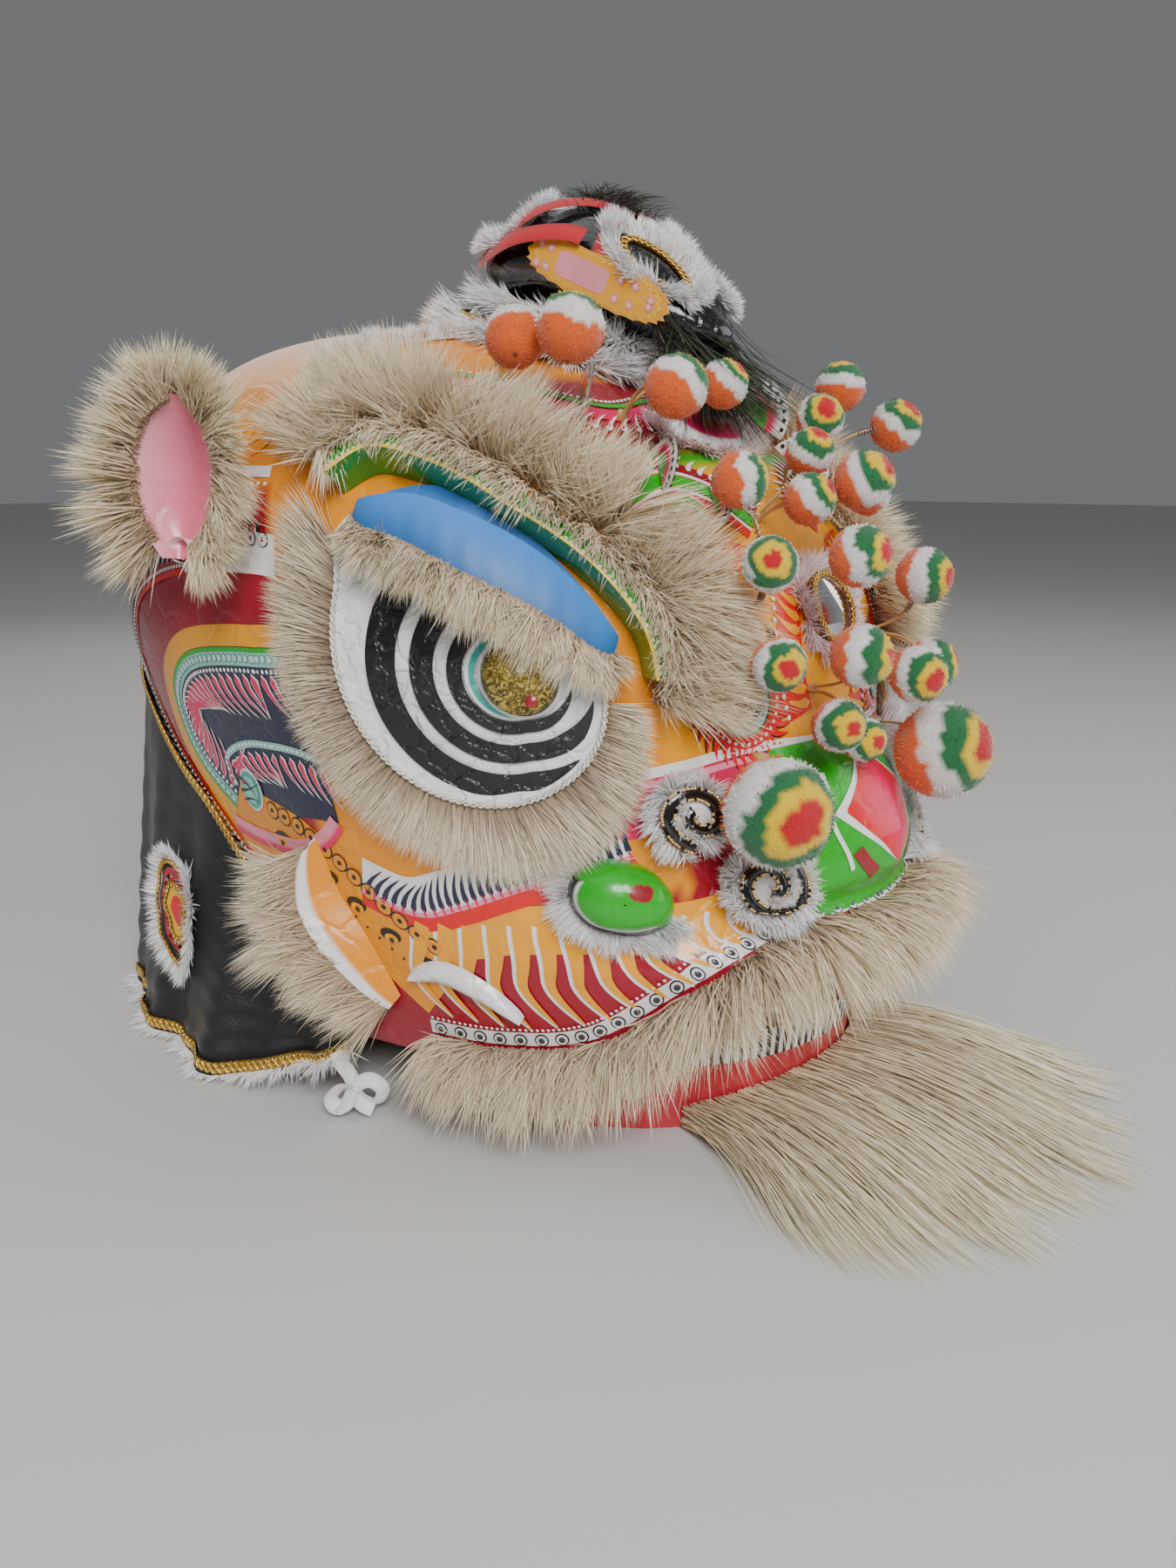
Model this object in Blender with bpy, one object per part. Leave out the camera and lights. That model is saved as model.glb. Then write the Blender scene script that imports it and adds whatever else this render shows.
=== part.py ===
"""Lion dance head: a hollow papier-mache shell with a curved horn, fur-trimmed eyes, ears and
lip, a hinged jaw, blinking eyelids, wool pompoms on springs and a satin curtain behind.
Metres, +Z up. The lion looks along -Y, and its own right side is at -X."""

import math

import bmesh
import bpy
from mathutils import Matrix, Vector
from mathutils.bvhtree import BVHTree

# Overall sizes of the papier-mache shell
SHELL_HEIGHT = 0.535
SHELL_WIDTH = 0.524
SHELL_DEPTH = 0.644
SHELL_WALL = 0.003
SHELL_COLUMNS = 38
SHELL_ROWS = 12
REAR_SQUARENESS = 2.7

# Clearances
SKIN_GAP = 0.0008
SEAT_GAP = 0.0005
FLOOR_GAP = 0.0015
SETTLE_REACH = 0.016

# Eyes
EYE_TURN = -56.0
EYE_SHARE = 0.593
EYE_RADIUS = 0.078
DISH_WALL = 0.003
DISH_SEAT = 0.0010
BULB_TURN = -49.5
BULB_SHARE = 0.588
BULB_RADIUS = 0.022
BULB_REACH = 0.027
LASH_REACH = 0.044
LASH_HEIGHT = 0.012

# Brows and eyelids
BROW_HEIGHT = 0.026
BROW_WIDTH = 0.012
BROW_FUR_HEIGHT = 0.036
BROW_FUR_WIDTH = 0.024
BROW_FUR_LEAN = 0.014
LID_STAND = 0.022
LID_END_STAND = 0.0027
LID_DROP = 0.036
LID_FLARE = 0.004
LID_BULGE = 0.006
LID_WALL = 0.002
LID_FUR_REACH = 0.026
LID_FUR_HEIGHT = 0.011

# Nose and face ornaments
NOSE_HEIGHT = 0.034
NOSE_HALF_TURN = 15.0
WING_HEIGHT = 0.026
WING_WIDTH = 0.062
WING_RISE = 0.050
ROLL_RADIUS = 0.021
ROLL_HEIGHT = 0.020
MIRROR_SHARE = 0.637
MIRROR_RADIUS = 0.022
MIRROR_WALL = 0.003
MIRROR_FUR_REACH = 0.016
MIRROR_FUR_HEIGHT = 0.011
ORNAMENT_WIDTH = 0.092
ORNAMENT_RISE = 0.044
ORNAMENT_WALL = 0.006
FIN_WALL = 0.003
FIN_FOOT = 0.003

# Horn
HORN_LENGTH = 0.196
HORN_WIDTH = 0.104
HORN_BASE_WIDTH = 0.136
HORN_BASE_DEPTH = 0.160
HORN_BASE_Y = 0.030
HORN_WALL = 0.003
HORN_TILT = 0.34
HORN_BASE_HEIGHT = 0.01245
HORN_FUR_REACH = 0.018
TUFT_HEIGHT = 0.026
FRINGE_DROP = 0.040
RIBBON_WIDTH = 0.010
RIBBON_WALL = 0.001
RIBBON_PLACE = 0.30
CARD_LENGTH = 0.118
CARD_WIDTH = 0.030
CARD_WALL = 0.0015
CARD_SEAT = (0.45, 0.66)
CARD_FORWARD = 0.10
CARD_CLEAR = 0.0035

# Ears
EAR_LENGTH = 0.096
EAR_WIDTH = 0.060
EAR_DEPTH = 0.022
EAR_WALL = 0.0025
EAR_FUR_REACH = 0.040
EAR_FUR_THICK = 0.014
EAR_STAND = 0.019
EAR_POST_RADIUS = 0.007

# Mouth
LIP_FUR_REACH = 0.040
LIP_FUR_HEIGHT = 0.018
LIP_FUR_SEAT = 0.0022
JAW_SHARE = 0.86
JAW_WALL = 0.003
JAW_FLARE = 0.004
JAW_HEIGHT = 0.070
JAW_PIN_RADIUS = 0.004
JAW_PIN_HEIGHT = 0.066
JAW_PIN_Y = 0.012
JAW_ARM_OUT = 0.003
JAW_ARM_WALL = 0.006
BEARD_WIDTH = 0.220
BEARD_LENGTH = 0.215
BEARD_SPREAD = 0.055
BEARD_THICK = 0.030
BEARD_LOCKS = 9

# Cheeks
FLAP_WALL = 0.002
FLAP_REACH = 0.024
FLAP_FUR_REACH = 0.046
FLAP_FUR_THICK = 0.014
TUSK_HEIGHT = 0.007
TUSK_WIDTH = 0.018

# Pompoms
STEM_RADIUS = 0.0016
SPRAY_FOOT = 0.004

# Curtain behind
CURTAIN_WALL = 0.002
CURTAIN_TURN = 85.0
CURTAIN_FLARE = 0.020
CURTAIN_HEM_RISE = 0.048
CURTAIN_HEM_SPAN = 16.0
CURTAIN_FOLD = 0.006
CURTAIN_FOLDS = 11

# Shell sections. Heights are shares of SHELL_HEIGHT, half widths of SHELL_WIDTH, and the front,
# the rear and the widest line are shares of SHELL_DEPTH along Y.
SECTIONS = [
    {"height": 0.000, "front": -0.372, "half": 0.390, "rear": 0.236, "widest": 0.060},
    {"height": 0.110, "front": -0.404, "half": 0.424, "rear": 0.320, "widest": 0.062},
    {"height": 0.243, "front": -0.424, "half": 0.450, "rear": 0.419, "widest": 0.066},
    {"height": 0.310, "front": -0.380, "half": 0.462, "rear": 0.466, "widest": 0.070},
    {"height": 0.465, "front": -0.334, "half": 0.484, "rear": 0.540, "widest": 0.078},
    {"height": 0.617, "front": -0.318, "half": 0.500, "rear": 0.576, "widest": 0.085},
    {"height": 0.748, "front": -0.252, "half": 0.487, "rear": 0.576, "widest": 0.100},
    {"height": 0.850, "front": -0.163, "half": 0.430, "rear": 0.545, "widest": 0.125},
    {"height": 0.935, "front": -0.045, "half": 0.312, "rear": 0.480, "widest": 0.165},
    {"height": 0.981, "front": 0.080, "half": 0.185, "rear": 0.400, "widest": 0.225},
    {"height": 1.000, "front": 0.235, "half": 0.010, "rear": 0.270, "widest": 0.252},
]

# Lower edge of the shell: the lip in front, the feet at the sides, the slanted opening behind.
RIM = [
    {"turn": 0.0, "height": 0.262},
    {"turn": 20.0, "height": 0.262},
    {"turn": 36.0, "height": 0.215},
    {"turn": 50.0, "height": 0.130},
    {"turn": 62.0, "height": 0.105},
    {"turn": 77.0, "height": 0.100},
    {"turn": 87.0, "height": 0.090},
    {"turn": 95.0, "height": 0.000},
    {"turn": 113.0, "height": 0.000},
    {"turn": 123.0, "height": 0.240},
    {"turn": 135.0, "height": 0.400},
    {"turn": 155.0, "height": 0.510},
    {"turn": 180.0, "height": 0.560},
]

# Upper edge of the curtain, which laps over the shell's rear rim.
CURTAIN_EDGE = [
    {"turn": 85.0, "height": 0.135},
    {"turn": 90.0, "height": 0.175},
    {"turn": 95.0, "height": 0.245},
    {"turn": 100.0, "height": 0.315},
    {"turn": 105.0, "height": 0.375},
    {"turn": 111.0, "height": 0.410},
    {"turn": 118.0, "height": 0.455},
    {"turn": 127.0, "height": 0.500},
    {"turn": 155.0, "height": 0.585},
    {"turn": 180.0, "height": 0.625},
]

# Outline of the eye dish: angle from the front, anticlockwise as seen, and share of EYE_RADIUS.
DISH_OUTLINE = [
    {"angle": 0.0, "reach": 0.96},
    {"angle": 60.0, "reach": 0.92},
    {"angle": 100.0, "reach": 1.00},
    {"angle": 128.0, "reach": 1.22},
    {"angle": 150.0, "reach": 1.06},
    {"angle": 200.0, "reach": 0.98},
    {"angle": 270.0, "reach": 1.02},
    {"angle": 320.0, "reach": 1.04},
    {"angle": 360.0, "reach": 0.96},
]

# Routes over the skin on the lion's right side, as turn in degrees and share of SHELL_HEIGHT.
BROW_ROUTE = [(-70.0, 0.785), (-63.0, 0.806), (-54.0, 0.790), (-46.0, 0.755), (-38.5, 0.700),
              (-33.5, 0.635), (-32.5, 0.585)]
BROW_FUR_ROUTE = [(-77.0, 0.822), (-71.0, 0.858), (-62.0, 0.876), (-50.0, 0.855), (-39.0, 0.812),
                  (-30.0, 0.750), (-26.0, 0.675), (-26.5, 0.610), (-29.5, 0.550)]
LID_ROUTE = [(-67.0, 0.765), (-58.0, 0.762), (-50.0, 0.736), (-42.5, 0.690), (-36.5, 0.625)]
LIP_ROUTE = [(-73.0, 0.122), (-62.0, 0.126), (-50.0, 0.150), (-36.0, 0.232), (-20.0, 0.276), (0.0, 0.276)]
FLAP_ROUTE = [(-85.0, 0.375), (-83.5, 0.310), (-80.5, 0.245), (-77.5, 0.180)]
TUSK_ROUTE = [(-74.5, 0.215), (-70.0, 0.228), (-65.0, 0.212), (-60.0, 0.182)]

# Crests on the forehead: place of the middle, lean of the crest from upright, length and height.
FINS = [
    {"name": "fin_large", "turn": -26.5, "height": 0.868, "lean": 25.0, "length": 0.062, "rise": 0.030},
    {"name": "fin_small", "turn": -19.5, "height": 0.798, "lean": 20.0, "length": 0.046, "rise": 0.022},
]

# Pompoms: the spray that carries each, its place over the skin, its distance from it, its radius.
POMPOMS = [
    {"spray": "pompoms_brow_right", "turn": -33.0, "height": 0.860, "stand": 0.062, "radius": 0.0215},
    {"spray": "pompoms_brow_right", "turn": -38.5, "height": 0.885, "stand": 0.040, "radius": 0.0200},
    {"spray": "pompoms_crown", "turn": -21.0, "height": 0.815, "stand": 0.055, "radius": 0.0200},
    {"spray": "pompoms_crown", "turn": -8.0, "height": 0.835, "stand": 0.045, "radius": 0.0165},
    {"spray": "pompoms_bridge_right", "turn": -17.5, "height": 0.742, "stand": 0.045, "radius": 0.0180},
    {"spray": "pompoms_bridge_right", "turn": -19.0, "height": 0.665, "stand": 0.045, "radius": 0.0175},
    {"spray": "pompoms_bridge_right", "turn": -20.0, "height": 0.590, "stand": 0.042, "radius": 0.0170},
    {"spray": "pompoms_forehead", "turn": -9.0, "height": 0.715, "stand": 0.050, "radius": 0.0170},
    {"spray": "pompoms_forehead", "turn": -3.0, "height": 0.762, "stand": 0.050, "radius": 0.0160},
    {"spray": "pompoms_forehead", "turn": 4.0, "height": 0.790, "stand": 0.055, "radius": 0.0165},
    {"spray": "pompoms_forehead", "turn": -3.0, "height": 0.712, "stand": 0.070, "radius": 0.0195},
    {"spray": "pompoms_forehead", "turn": 6.0, "height": 0.720, "stand": 0.050, "radius": 0.0160},
    {"spray": "pompoms_forehead", "turn": -10.0, "height": 0.655, "stand": 0.068, "radius": 0.0195},
    {"spray": "pompoms_bridge_left", "turn": 8.0, "height": 0.640, "stand": 0.055, "radius": 0.0195},
    {"spray": "pompoms_bridge_left", "turn": 9.0, "height": 0.560, "stand": 0.050, "radius": 0.0190},
    {"spray": "pompoms_bridge_left", "turn": 1.0, "height": 0.560, "stand": 0.058, "radius": 0.0195},
    {"spray": "pompoms_low", "turn": -11.0, "height": 0.590, "stand": 0.060, "radius": 0.0200},
    {"spray": "pompoms_low", "turn": -12.0, "height": 0.518, "stand": 0.045, "radius": 0.0175},
    {"spray": "pompoms_low", "turn": -5.0, "height": 0.488, "stand": 0.036, "radius": 0.0150},
    {"spray": "pompoms_brow_left", "turn": 27.0, "height": 0.825, "stand": 0.062, "radius": 0.0190},
    {"spray": "pompoms_brow_left", "turn": 31.0, "height": 0.775, "stand": 0.072, "radius": 0.0200},
    {"spray": "pompom_nose_right", "turn": -24.5, "height": 0.428, "stand": 0.062, "radius": 0.0340},
    {"spray": "pompom_nose_left", "turn": 9.0, "height": 0.440, "stand": 0.056, "radius": 0.0340},
]

# Where each spray's strip is tied to the skin.
SPRAY_ROOTS = {
    "pompoms_brow_right": (-37.0, 0.925),
    "pompoms_crown": (-19.0, 0.862),
    "pompoms_bridge_right": (-17.5, 0.640),
    "pompoms_forehead": (-6.0, 0.745),
    "pompoms_bridge_left": (12.0, 0.600),
    "pompoms_low": (-6.0, 0.550),
    "pompoms_brow_left": (24.0, 0.800),
    "pompom_nose_right": (-17.5, 0.480),
    "pompom_nose_left": (16.0, 0.480),
}

# Horn's upper tier along its length: place, rise over the joint and half height as shares of
# HORN_LENGTH, half width as a share of HORN_WIDTH.
HORN_TIER = [
    {"y": 0.400, "rise": 0.1658, "half": 0.10, "tall": 0.030},
    {"y": 0.310, "rise": 0.2015, "half": 0.40, "tall": 0.100},
    {"y": 0.110, "rise": 0.2066, "half": 0.50, "tall": 0.168},
    {"y": -0.120, "rise": 0.1607, "half": 0.50, "tall": 0.200},
    {"y": -0.350, "rise": 0.0434, "half": 0.41, "tall": 0.160},
    {"y": -0.510, "rise": -0.0383, "half": 0.26, "tall": 0.100},
    {"y": -0.600, "rise": -0.0842, "half": 0.09, "tall": 0.036},
]

COLOURS = {
    "papier_mache": (0.85, 0.45, 0.08, 0.25),
    "red_lacquer": (0.60, 0.02, 0.05, 0.25),
    "green_lacquer": (0.05, 0.45, 0.08, 0.20),
    "white_lacquer": (0.85, 0.85, 0.85, 0.35),
    "pink_lacquer": (0.80, 0.25, 0.35, 0.35),
    "black_lacquer": (0.01, 0.01, 0.01, 0.15),
    "blue_satin": (0.07, 0.27, 0.62, 0.40),
    "beige_fur": (0.62, 0.52, 0.40, 0.90),
    "white_fur": (0.90, 0.88, 0.88, 0.90),
    "black_hair": (0.01, 0.02, 0.01, 0.60),
    "cream_hair": (0.80, 0.72, 0.58, 0.70),
    "wool": (0.75, 0.20, 0.05, 0.95),
    "clear_plastic": (0.75, 0.65, 0.35, 0.05),
    "silver_glass": (0.80, 0.82, 0.85, 0.03),
    "card": (0.85, 0.45, 0.10, 0.50),
    "red_ribbon": (0.60, 0.01, 0.02, 0.60),
    "black_satin": (0.01, 0.01, 0.01, 0.35),
}

for old in list(bpy.data.objects):
    bpy.data.objects.remove(old, do_unlink=True)

lion_head = bpy.data.objects.new("lion_head", None)
bpy.context.scene.collection.objects.link(lion_head)


# Curves through tables
def read_table(rows, key, at, column):
    """Smooth value of a table's column at this key value, with no overshoot between rows."""
    keys = [row[key] for row in rows]
    values = [row[column] for row in rows]
    last = len(rows) - 1
    at = min(max(at, keys[0]), keys[last])
    start = max(0, min(last - 1, sum(k <= at for k in keys) - 1))
    steps = [(values[i + 1] - values[i]) / (keys[i + 1] - keys[i]) for i in range(last)]

    def slope(i):
        if i in (0, last):
            return steps[0] if i == 0 else steps[last - 1]
        before, after = steps[i - 1], steps[i]
        return 0.0 if before * after <= 0 else 2 * before * after / (before + after)

    span = keys[start + 1] - keys[start]
    t = (at - keys[start]) / span
    rise = values[start + 1] - values[start]
    bend = span * (slope(start) * (t**3 - 2 * t * t + t) + slope(start + 1) * (t**3 - t * t))
    return values[start] + rise * (3 * t * t - 2 * t**3) + bend


def along(route, share):
    """Point at this share of a route, on a smooth curve through its points."""
    last = len(route) - 1
    place = min(max(share, 0.0), 1.0) * last
    start = min(int(place), last - 1)
    t = place - start
    ends = [Vector(route[max(0, min(last, start + k))]) for k in (-1, 0, 1, 2)]
    before, near, far, after = ends
    tangent_near = (far - before) / 2
    tangent_far = (after - near) / 2
    return (
        near * (2 * t**3 - 3 * t * t + 1)
        + far * (3 * t * t - 2 * t**3)
        + tangent_near * (t**3 - 2 * t * t + t)
        + tangent_far * (t**3 - t * t)
    )


shell_faces = []


# The skin: the outer face of the shell, by turn from the front in degrees and share of height
def skin(turn, height):
    front = read_table(SECTIONS, "height", height, "front") * SHELL_DEPTH
    half = read_table(SECTIONS, "height", height, "half") * SHELL_WIDTH
    rear = read_table(SECTIONS, "height", height, "rear") * SHELL_DEPTH
    widest = read_table(SECTIONS, "height", height, "widest") * SHELL_DEPTH
    sine, cosine = math.sin(math.radians(turn)), math.cos(math.radians(turn))
    if cosine >= 0:
        return Vector((half * sine, widest - (widest - front) * cosine, height * SHELL_HEIGHT))
    power = 2 / REAR_SQUARENESS
    across = math.copysign(abs(sine) ** power, sine)
    back = abs(cosine) ** power
    return Vector((half * across, widest + (rear - widest) * back, height * SHELL_HEIGHT))


def skin_normal(turn, height):
    low, high = max(height - 0.004, 0.0), min(height + 0.004, 0.999)
    around = skin(turn + 0.5, height) - skin(turn - 0.5, height)
    upward = skin(turn, high) - skin(turn, low)
    return around.cross(upward).normalized()


def settled(turn, height):
    """How far the faceted shell lies under the smooth skin here."""
    if not shell_faces:
        return 0.0
    place, out = skin(turn, height), skin_normal(turn, height)
    hit = shell_faces[0].ray_cast(place + out * SETTLE_REACH, -out, SETTLE_REACH * 2)[0]
    return 0.0 if hit is None else (place - hit).dot(out)


def off_skin(turn, height, stand):
    return skin(turn, height) + skin_normal(turn, height) * stand


def on_shell(turn, height, stand):
    """Point this far off the shell's own facets."""
    return off_skin(turn, height, stand - settled(turn, height))


def moved(turn, height, around, upward):
    """Place on the skin this far around it and up it from another."""
    per_degree = (skin(turn + 1, height) - skin(turn, height)).length
    step = 0.01
    per_share = (skin(turn, min(height + step, 1.0)) - skin(turn, height)).length / step
    return turn + around / per_degree, min(max(height + upward / per_share, 0.0), 0.995)


def beside(turn, height, around, upward, stand):
    return off_skin(*moved(turn, height, around, upward), stand)


def seat(turn, height, reach):
    """Stand at which a piece of this reach rests on the shell's facets, one seat gap clear."""
    spots = [(0.0, 0.0)]
    for share in (0.35, 0.7, 1.0):
        spots += [(c * reach * share, s * reach * share) for c, s in circle(16)]
    return SEAT_GAP - min(settled(*moved(turn, height, *spot)) for spot in spots)


def crown_height(x, y):
    """Height of the skin above a point of the plan, near the top of the head."""
    low, high = 0.6, 1.0
    for _ in range(30):
        middle = (low + high) / 2
        half = read_table(SECTIONS, "height", middle, "half") * SHELL_WIDTH
        widest = read_table(SECTIONS, "height", middle, "widest") * SHELL_DEPTH
        end = "front" if y < widest else "rear"
        reach = abs(read_table(SECTIONS, "height", middle, end) * SHELL_DEPTH - widest)
        power = 2.0 if y < widest else REAR_SQUARENESS
        inside = (abs(x) / half) ** power + (abs(y - widest) / max(reach, 1e-6)) ** power < 1
        low, high = (middle, high) if inside else (low, middle)
    return low * SHELL_HEIGHT


# Making solids
def material(slot):
    made = bpy.data.materials.get(slot)
    if made is None:
        made = bpy.data.materials.new(slot)
        made.use_nodes = True
        shader = made.node_tree.nodes["Principled BSDF"]
        red, green, blue, rough = COLOURS[slot]
        shader.inputs["Base Color"].default_value = (red, green, blue, 1.0)
        shader.inputs["Roughness"].default_value = rough
        shader.inputs["Metallic"].default_value = 1.0 if slot == "silver_glass" else 0.0
    return made


def solid(name, rings, slot, side=-1, closed=False, carrier=None, triangles=False):
    """One closed body through rings of points. side=1 mirrors it to the lion's left."""
    mesh = bmesh.new()
    made = [[mesh.verts.new((-p[0] if side > 0 else p[0], p[1], p[2])) for p in ring] for ring in rings]
    count = len(made[0])
    pairs = list(zip(made, made[1:]))
    if closed:
        pairs.append((made[-1], made[0]))
    for near, far in pairs:
        for i in range(count):
            j = (i + 1) % count
            mesh.faces.new((near[i], near[j], far[j], far[i]))
    if not closed:
        mesh.faces.new(made[0])
        mesh.faces.new(made[-1])
    if triangles:
        bmesh.ops.triangulate(mesh, faces=mesh.faces)
    bmesh.ops.recalc_face_normals(mesh, faces=mesh.faces)
    return finish(name, mesh, slot, carrier)


def finish(name, mesh, slot, carrier=None):
    """Makes the object from its mesh, shaded smooth, with its origin on what carries it."""
    carrier = carrier or lion_head
    bmesh.ops.translate(mesh, verts=mesh.verts, vec=-carrier.location)
    data = bpy.data.meshes.new(name)
    mesh.to_mesh(data)
    mesh.free()
    data.materials.append(material(slot))
    data.shade_smooth()
    data.set_sharp_from_angle(angle=math.radians(40))
    thing = bpy.data.objects.new(name, data)
    bpy.context.scene.collection.objects.link(thing)
    thing.parent = carrier
    return thing


def hinge(name, place):
    """Empty on a joint's axis, which carries the pieces that turn about it."""
    made = bpy.data.objects.new(name, None)
    made.location = place
    made.parent = lion_head
    bpy.context.scene.collection.objects.link(made)
    return made


def joined(name, parts, slot):
    """Boolean union of several meshes into one body."""
    first = parts[0]
    for part in parts[1:]:
        union = first.modifiers.new("join", "BOOLEAN")
        union.operation = "UNION"
        union.object = part
    bpy.context.view_layer.update()
    graph = bpy.context.evaluated_depsgraph_get()
    data = bpy.data.meshes.new_from_object(first.evaluated_get(graph))
    for part in parts:
        bpy.data.objects.remove(part, do_unlink=True)
    data.materials.clear()
    data.materials.append(material(slot))
    thing = bpy.data.objects.new(name, data)
    bpy.context.scene.collection.objects.link(thing)
    thing.parent = lion_head
    return thing


def circle(count, start=0.0):
    """Cosines and sines of a full turn in equal steps."""
    angles = [start + 2 * math.pi * k / count for k in range(count)]
    return [(math.cos(angle), math.sin(angle)) for angle in angles]


def skin_band(name, route, stations, section, slot, side, lock=0.0, ends=1.0):
    """Band that follows a route over the skin. Its section is a list of (across, stand) points,
    across is to the left of the way of travel, and every second tip is shorter by the lock share."""
    rings = []
    for k in range(stations):
        share = k / (stations - 1)
        turn, height = along(route, share)
        ahead = along(route, min(share + 0.02, 1.0)) - along(route, max(share - 0.02, 0.0))
        step = skin(turn + ahead[0] * 0.1, height + ahead[1] * 0.1) - skin(turn, height)
        around = (skin(turn + 1, height) - skin(turn, height)).normalized()
        upward = skin_normal(turn, height).cross(around)
        run, rise = step.dot(around), step.dot(upward)
        size = math.hypot(run, rise)
        left = (-rise / size, run / size)
        trim = 1.0 - lock * (k % 2)
        taper = ends + (1 - ends) * math.sin(math.pi * share) ** 0.5
        ring = []
        for across, stand in section:
            out = across * taper
            lift = stand if stand <= SKIN_GAP else SKIN_GAP + (stand - SKIN_GAP) * taper * trim
            point = beside(turn, height, left[0] * out, left[1] * out, lift)
            ring.append((point[0], point[1], max(point[2], FLOOR_GAP)))
        rings.append(ring)
    return solid(name, rings, slot, side)


# Shell: outer and inner face in rings from the crown down and up again
def rim_height(turn):
    turn = abs((turn + 180) % 360 - 180)
    return read_table(RIM, "turn", turn, "height")


def shell_ring(row, wall):
    """One ring of the shell at this share of the way from the rim to the crown."""
    ring = []
    for k in range(SHELL_COLUMNS):
        turn = -180 + 360 * (k + 0.5) / SHELL_COLUMNS
        low = rim_height(turn)
        height = low + (1 - low) * row
        point = off_skin(turn, height, -wall)
        if row == 0 or height > 0.99:
            point[2] = skin(turn, height)[2] - (wall if row else 0)
        ring.append(point)
    return ring


rows = [(1 - math.cos(math.pi * k / SHELL_ROWS)) / 2 for k in range(SHELL_ROWS + 1)]
inner_rings = [shell_ring(row, SHELL_WALL) for row in reversed(rows)]
outer_rings = [shell_ring(row, 0.0) for row in rows]
shell = solid("shell", inner_rings + outer_rings, "papier_mache", triangles=True)
shell_faces.append(
    BVHTree.FromPolygons([v.co for v in shell.data.vertices], [f.vertices for f in shell.data.polygons])
)


# Eyes: dish, bulb and lashes
def dish_point(angle, share, stand):
    reach = read_table(DISH_OUTLINE, "angle", angle % 360, "reach") * EYE_RADIUS * share
    across, upward = math.cos(math.radians(angle)) * reach, math.sin(math.radians(angle)) * reach
    return beside(EYE_TURN, EYE_SHARE, across, upward, stand)


def eye_dish(side, name):
    angles = [360 * k / 20 for k in range(20)]
    under = [[dish_point(a, share, DISH_SEAT) for a in angles] for share in (0.4, 0.7, 1.0)]
    top = DISH_SEAT + DISH_WALL
    rim, crown = (1.0, 0.004), [(0.9, 0.0), (0.4, 0.0)]
    over = [[dish_point(a, share, top + lift) for a in angles] for share, lift in [rim] + crown]
    solid(name, under + over, "white_lacquer", side)


def eye_bulb(side, name):
    base = DISH_SEAT + DISH_WALL + SEAT_GAP * 2
    profile = [(1.0, 0.0), (1.0, 0.30), (0.94, 0.58), (0.72, 0.84), (0.38, 0.97)]
    rings = [
        [
            beside(BULB_TURN, BULB_SHARE, c * BULB_RADIUS * wide, s * BULB_RADIUS * wide, base + up * BULB_REACH)
            for c, s in circle(12)
        ]
        for wide, up in profile
    ]
    solid(name, rings, "clear_plastic", side)


def lash_fringe(side, name):
    rings = []
    stations = 23
    for k in range(stations):
        angle = 146 + (338 - 146) * k / (stations - 1)
        fade = 1 - 0.45 * max(0.0, (angle - 290) / 48)
        tip = 1.0 + (LASH_REACH / EYE_RADIUS) * (0.86 if k % 2 else 1.0) * fade
        edge = 1.0 + SEAT_GAP * 6 / EYE_RADIUS
        wide = 1.0 + 0.012 / EYE_RADIUS
        rings.append(
            [
                dish_point(angle, edge, SKIN_GAP),
                dish_point(angle, wide, SKIN_GAP + LASH_HEIGHT),
                dish_point(angle, tip, SKIN_GAP + LASH_HEIGHT * 0.8),
                dish_point(angle, tip - 0.10, SKIN_GAP),
            ]
        )
    solid(name, rings, "beige_fur", side)


# Brows, with the fur that stands on their outer side
def brow(side, name):
    section = [
        (-BROW_WIDTH / 2, SKIN_GAP),
        (BROW_WIDTH / 2, SKIN_GAP),
        (BROW_WIDTH / 2, BROW_HEIGHT),
        (-BROW_WIDTH / 4, BROW_HEIGHT),
    ]
    skin_band(name, BROW_ROUTE, 11, section, "green_lacquer", side)


def brow_fur(side, name):
    half = BROW_FUR_WIDTH / 2
    section = [
        (-half, SKIN_GAP),
        (half, SKIN_GAP),
        (half + BROW_FUR_LEAN, BROW_FUR_HEIGHT * 0.55),
        (half * 0.4, BROW_FUR_HEIGHT),
        (-half * 0.7, BROW_FUR_HEIGHT * 0.9),
    ]
    skin_band(name, BROW_FUR_ROUTE, 21, section, "beige_fur", side, lock=0.16, ends=0.6)


# Eyelids: a curved visor on two pins, and its fur
LID_AXIS = [on_shell(*LID_ROUTE[0], LID_END_STAND), on_shell(*LID_ROUTE[-1], LID_END_STAND)]


def lid_arch(share):
    """How far the visor has risen off the skin: 0 at its tied ends, 1 in the middle."""
    return max(math.sin(math.pi * share), 0.0) ** 0.5


def lid_rings(stations):
    """Stations of the visor: hinge point, outward bulge and lower edge, with the inner face."""
    rings = []
    for k in range(stations):
        share = k / (stations - 1)
        turn, height = along(LID_ROUTE, share)
        arch = lid_arch(share)
        stand = LID_END_STAND + (LID_STAND - LID_END_STAND) * arch - settled(turn, height) * (1 - arch)
        top = off_skin(turn, height, stand)
        drop = LID_DROP * (0.12 + 0.88 * arch)
        low = beside(turn, height, -drop * 0.35, -drop, stand + LID_FLARE * arch)
        out = skin_normal(turn, height)
        middle = (top + low) / 2 + out * LID_BULGE * arch
        thick = out * LID_WALL
        rings.append([top, middle, low, low - thick, middle - thick, top - thick])
    return rings


def eyelid(side, name, carrier):
    solid(name, lid_rings(9), "blue_satin", side, carrier=carrier)


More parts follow.
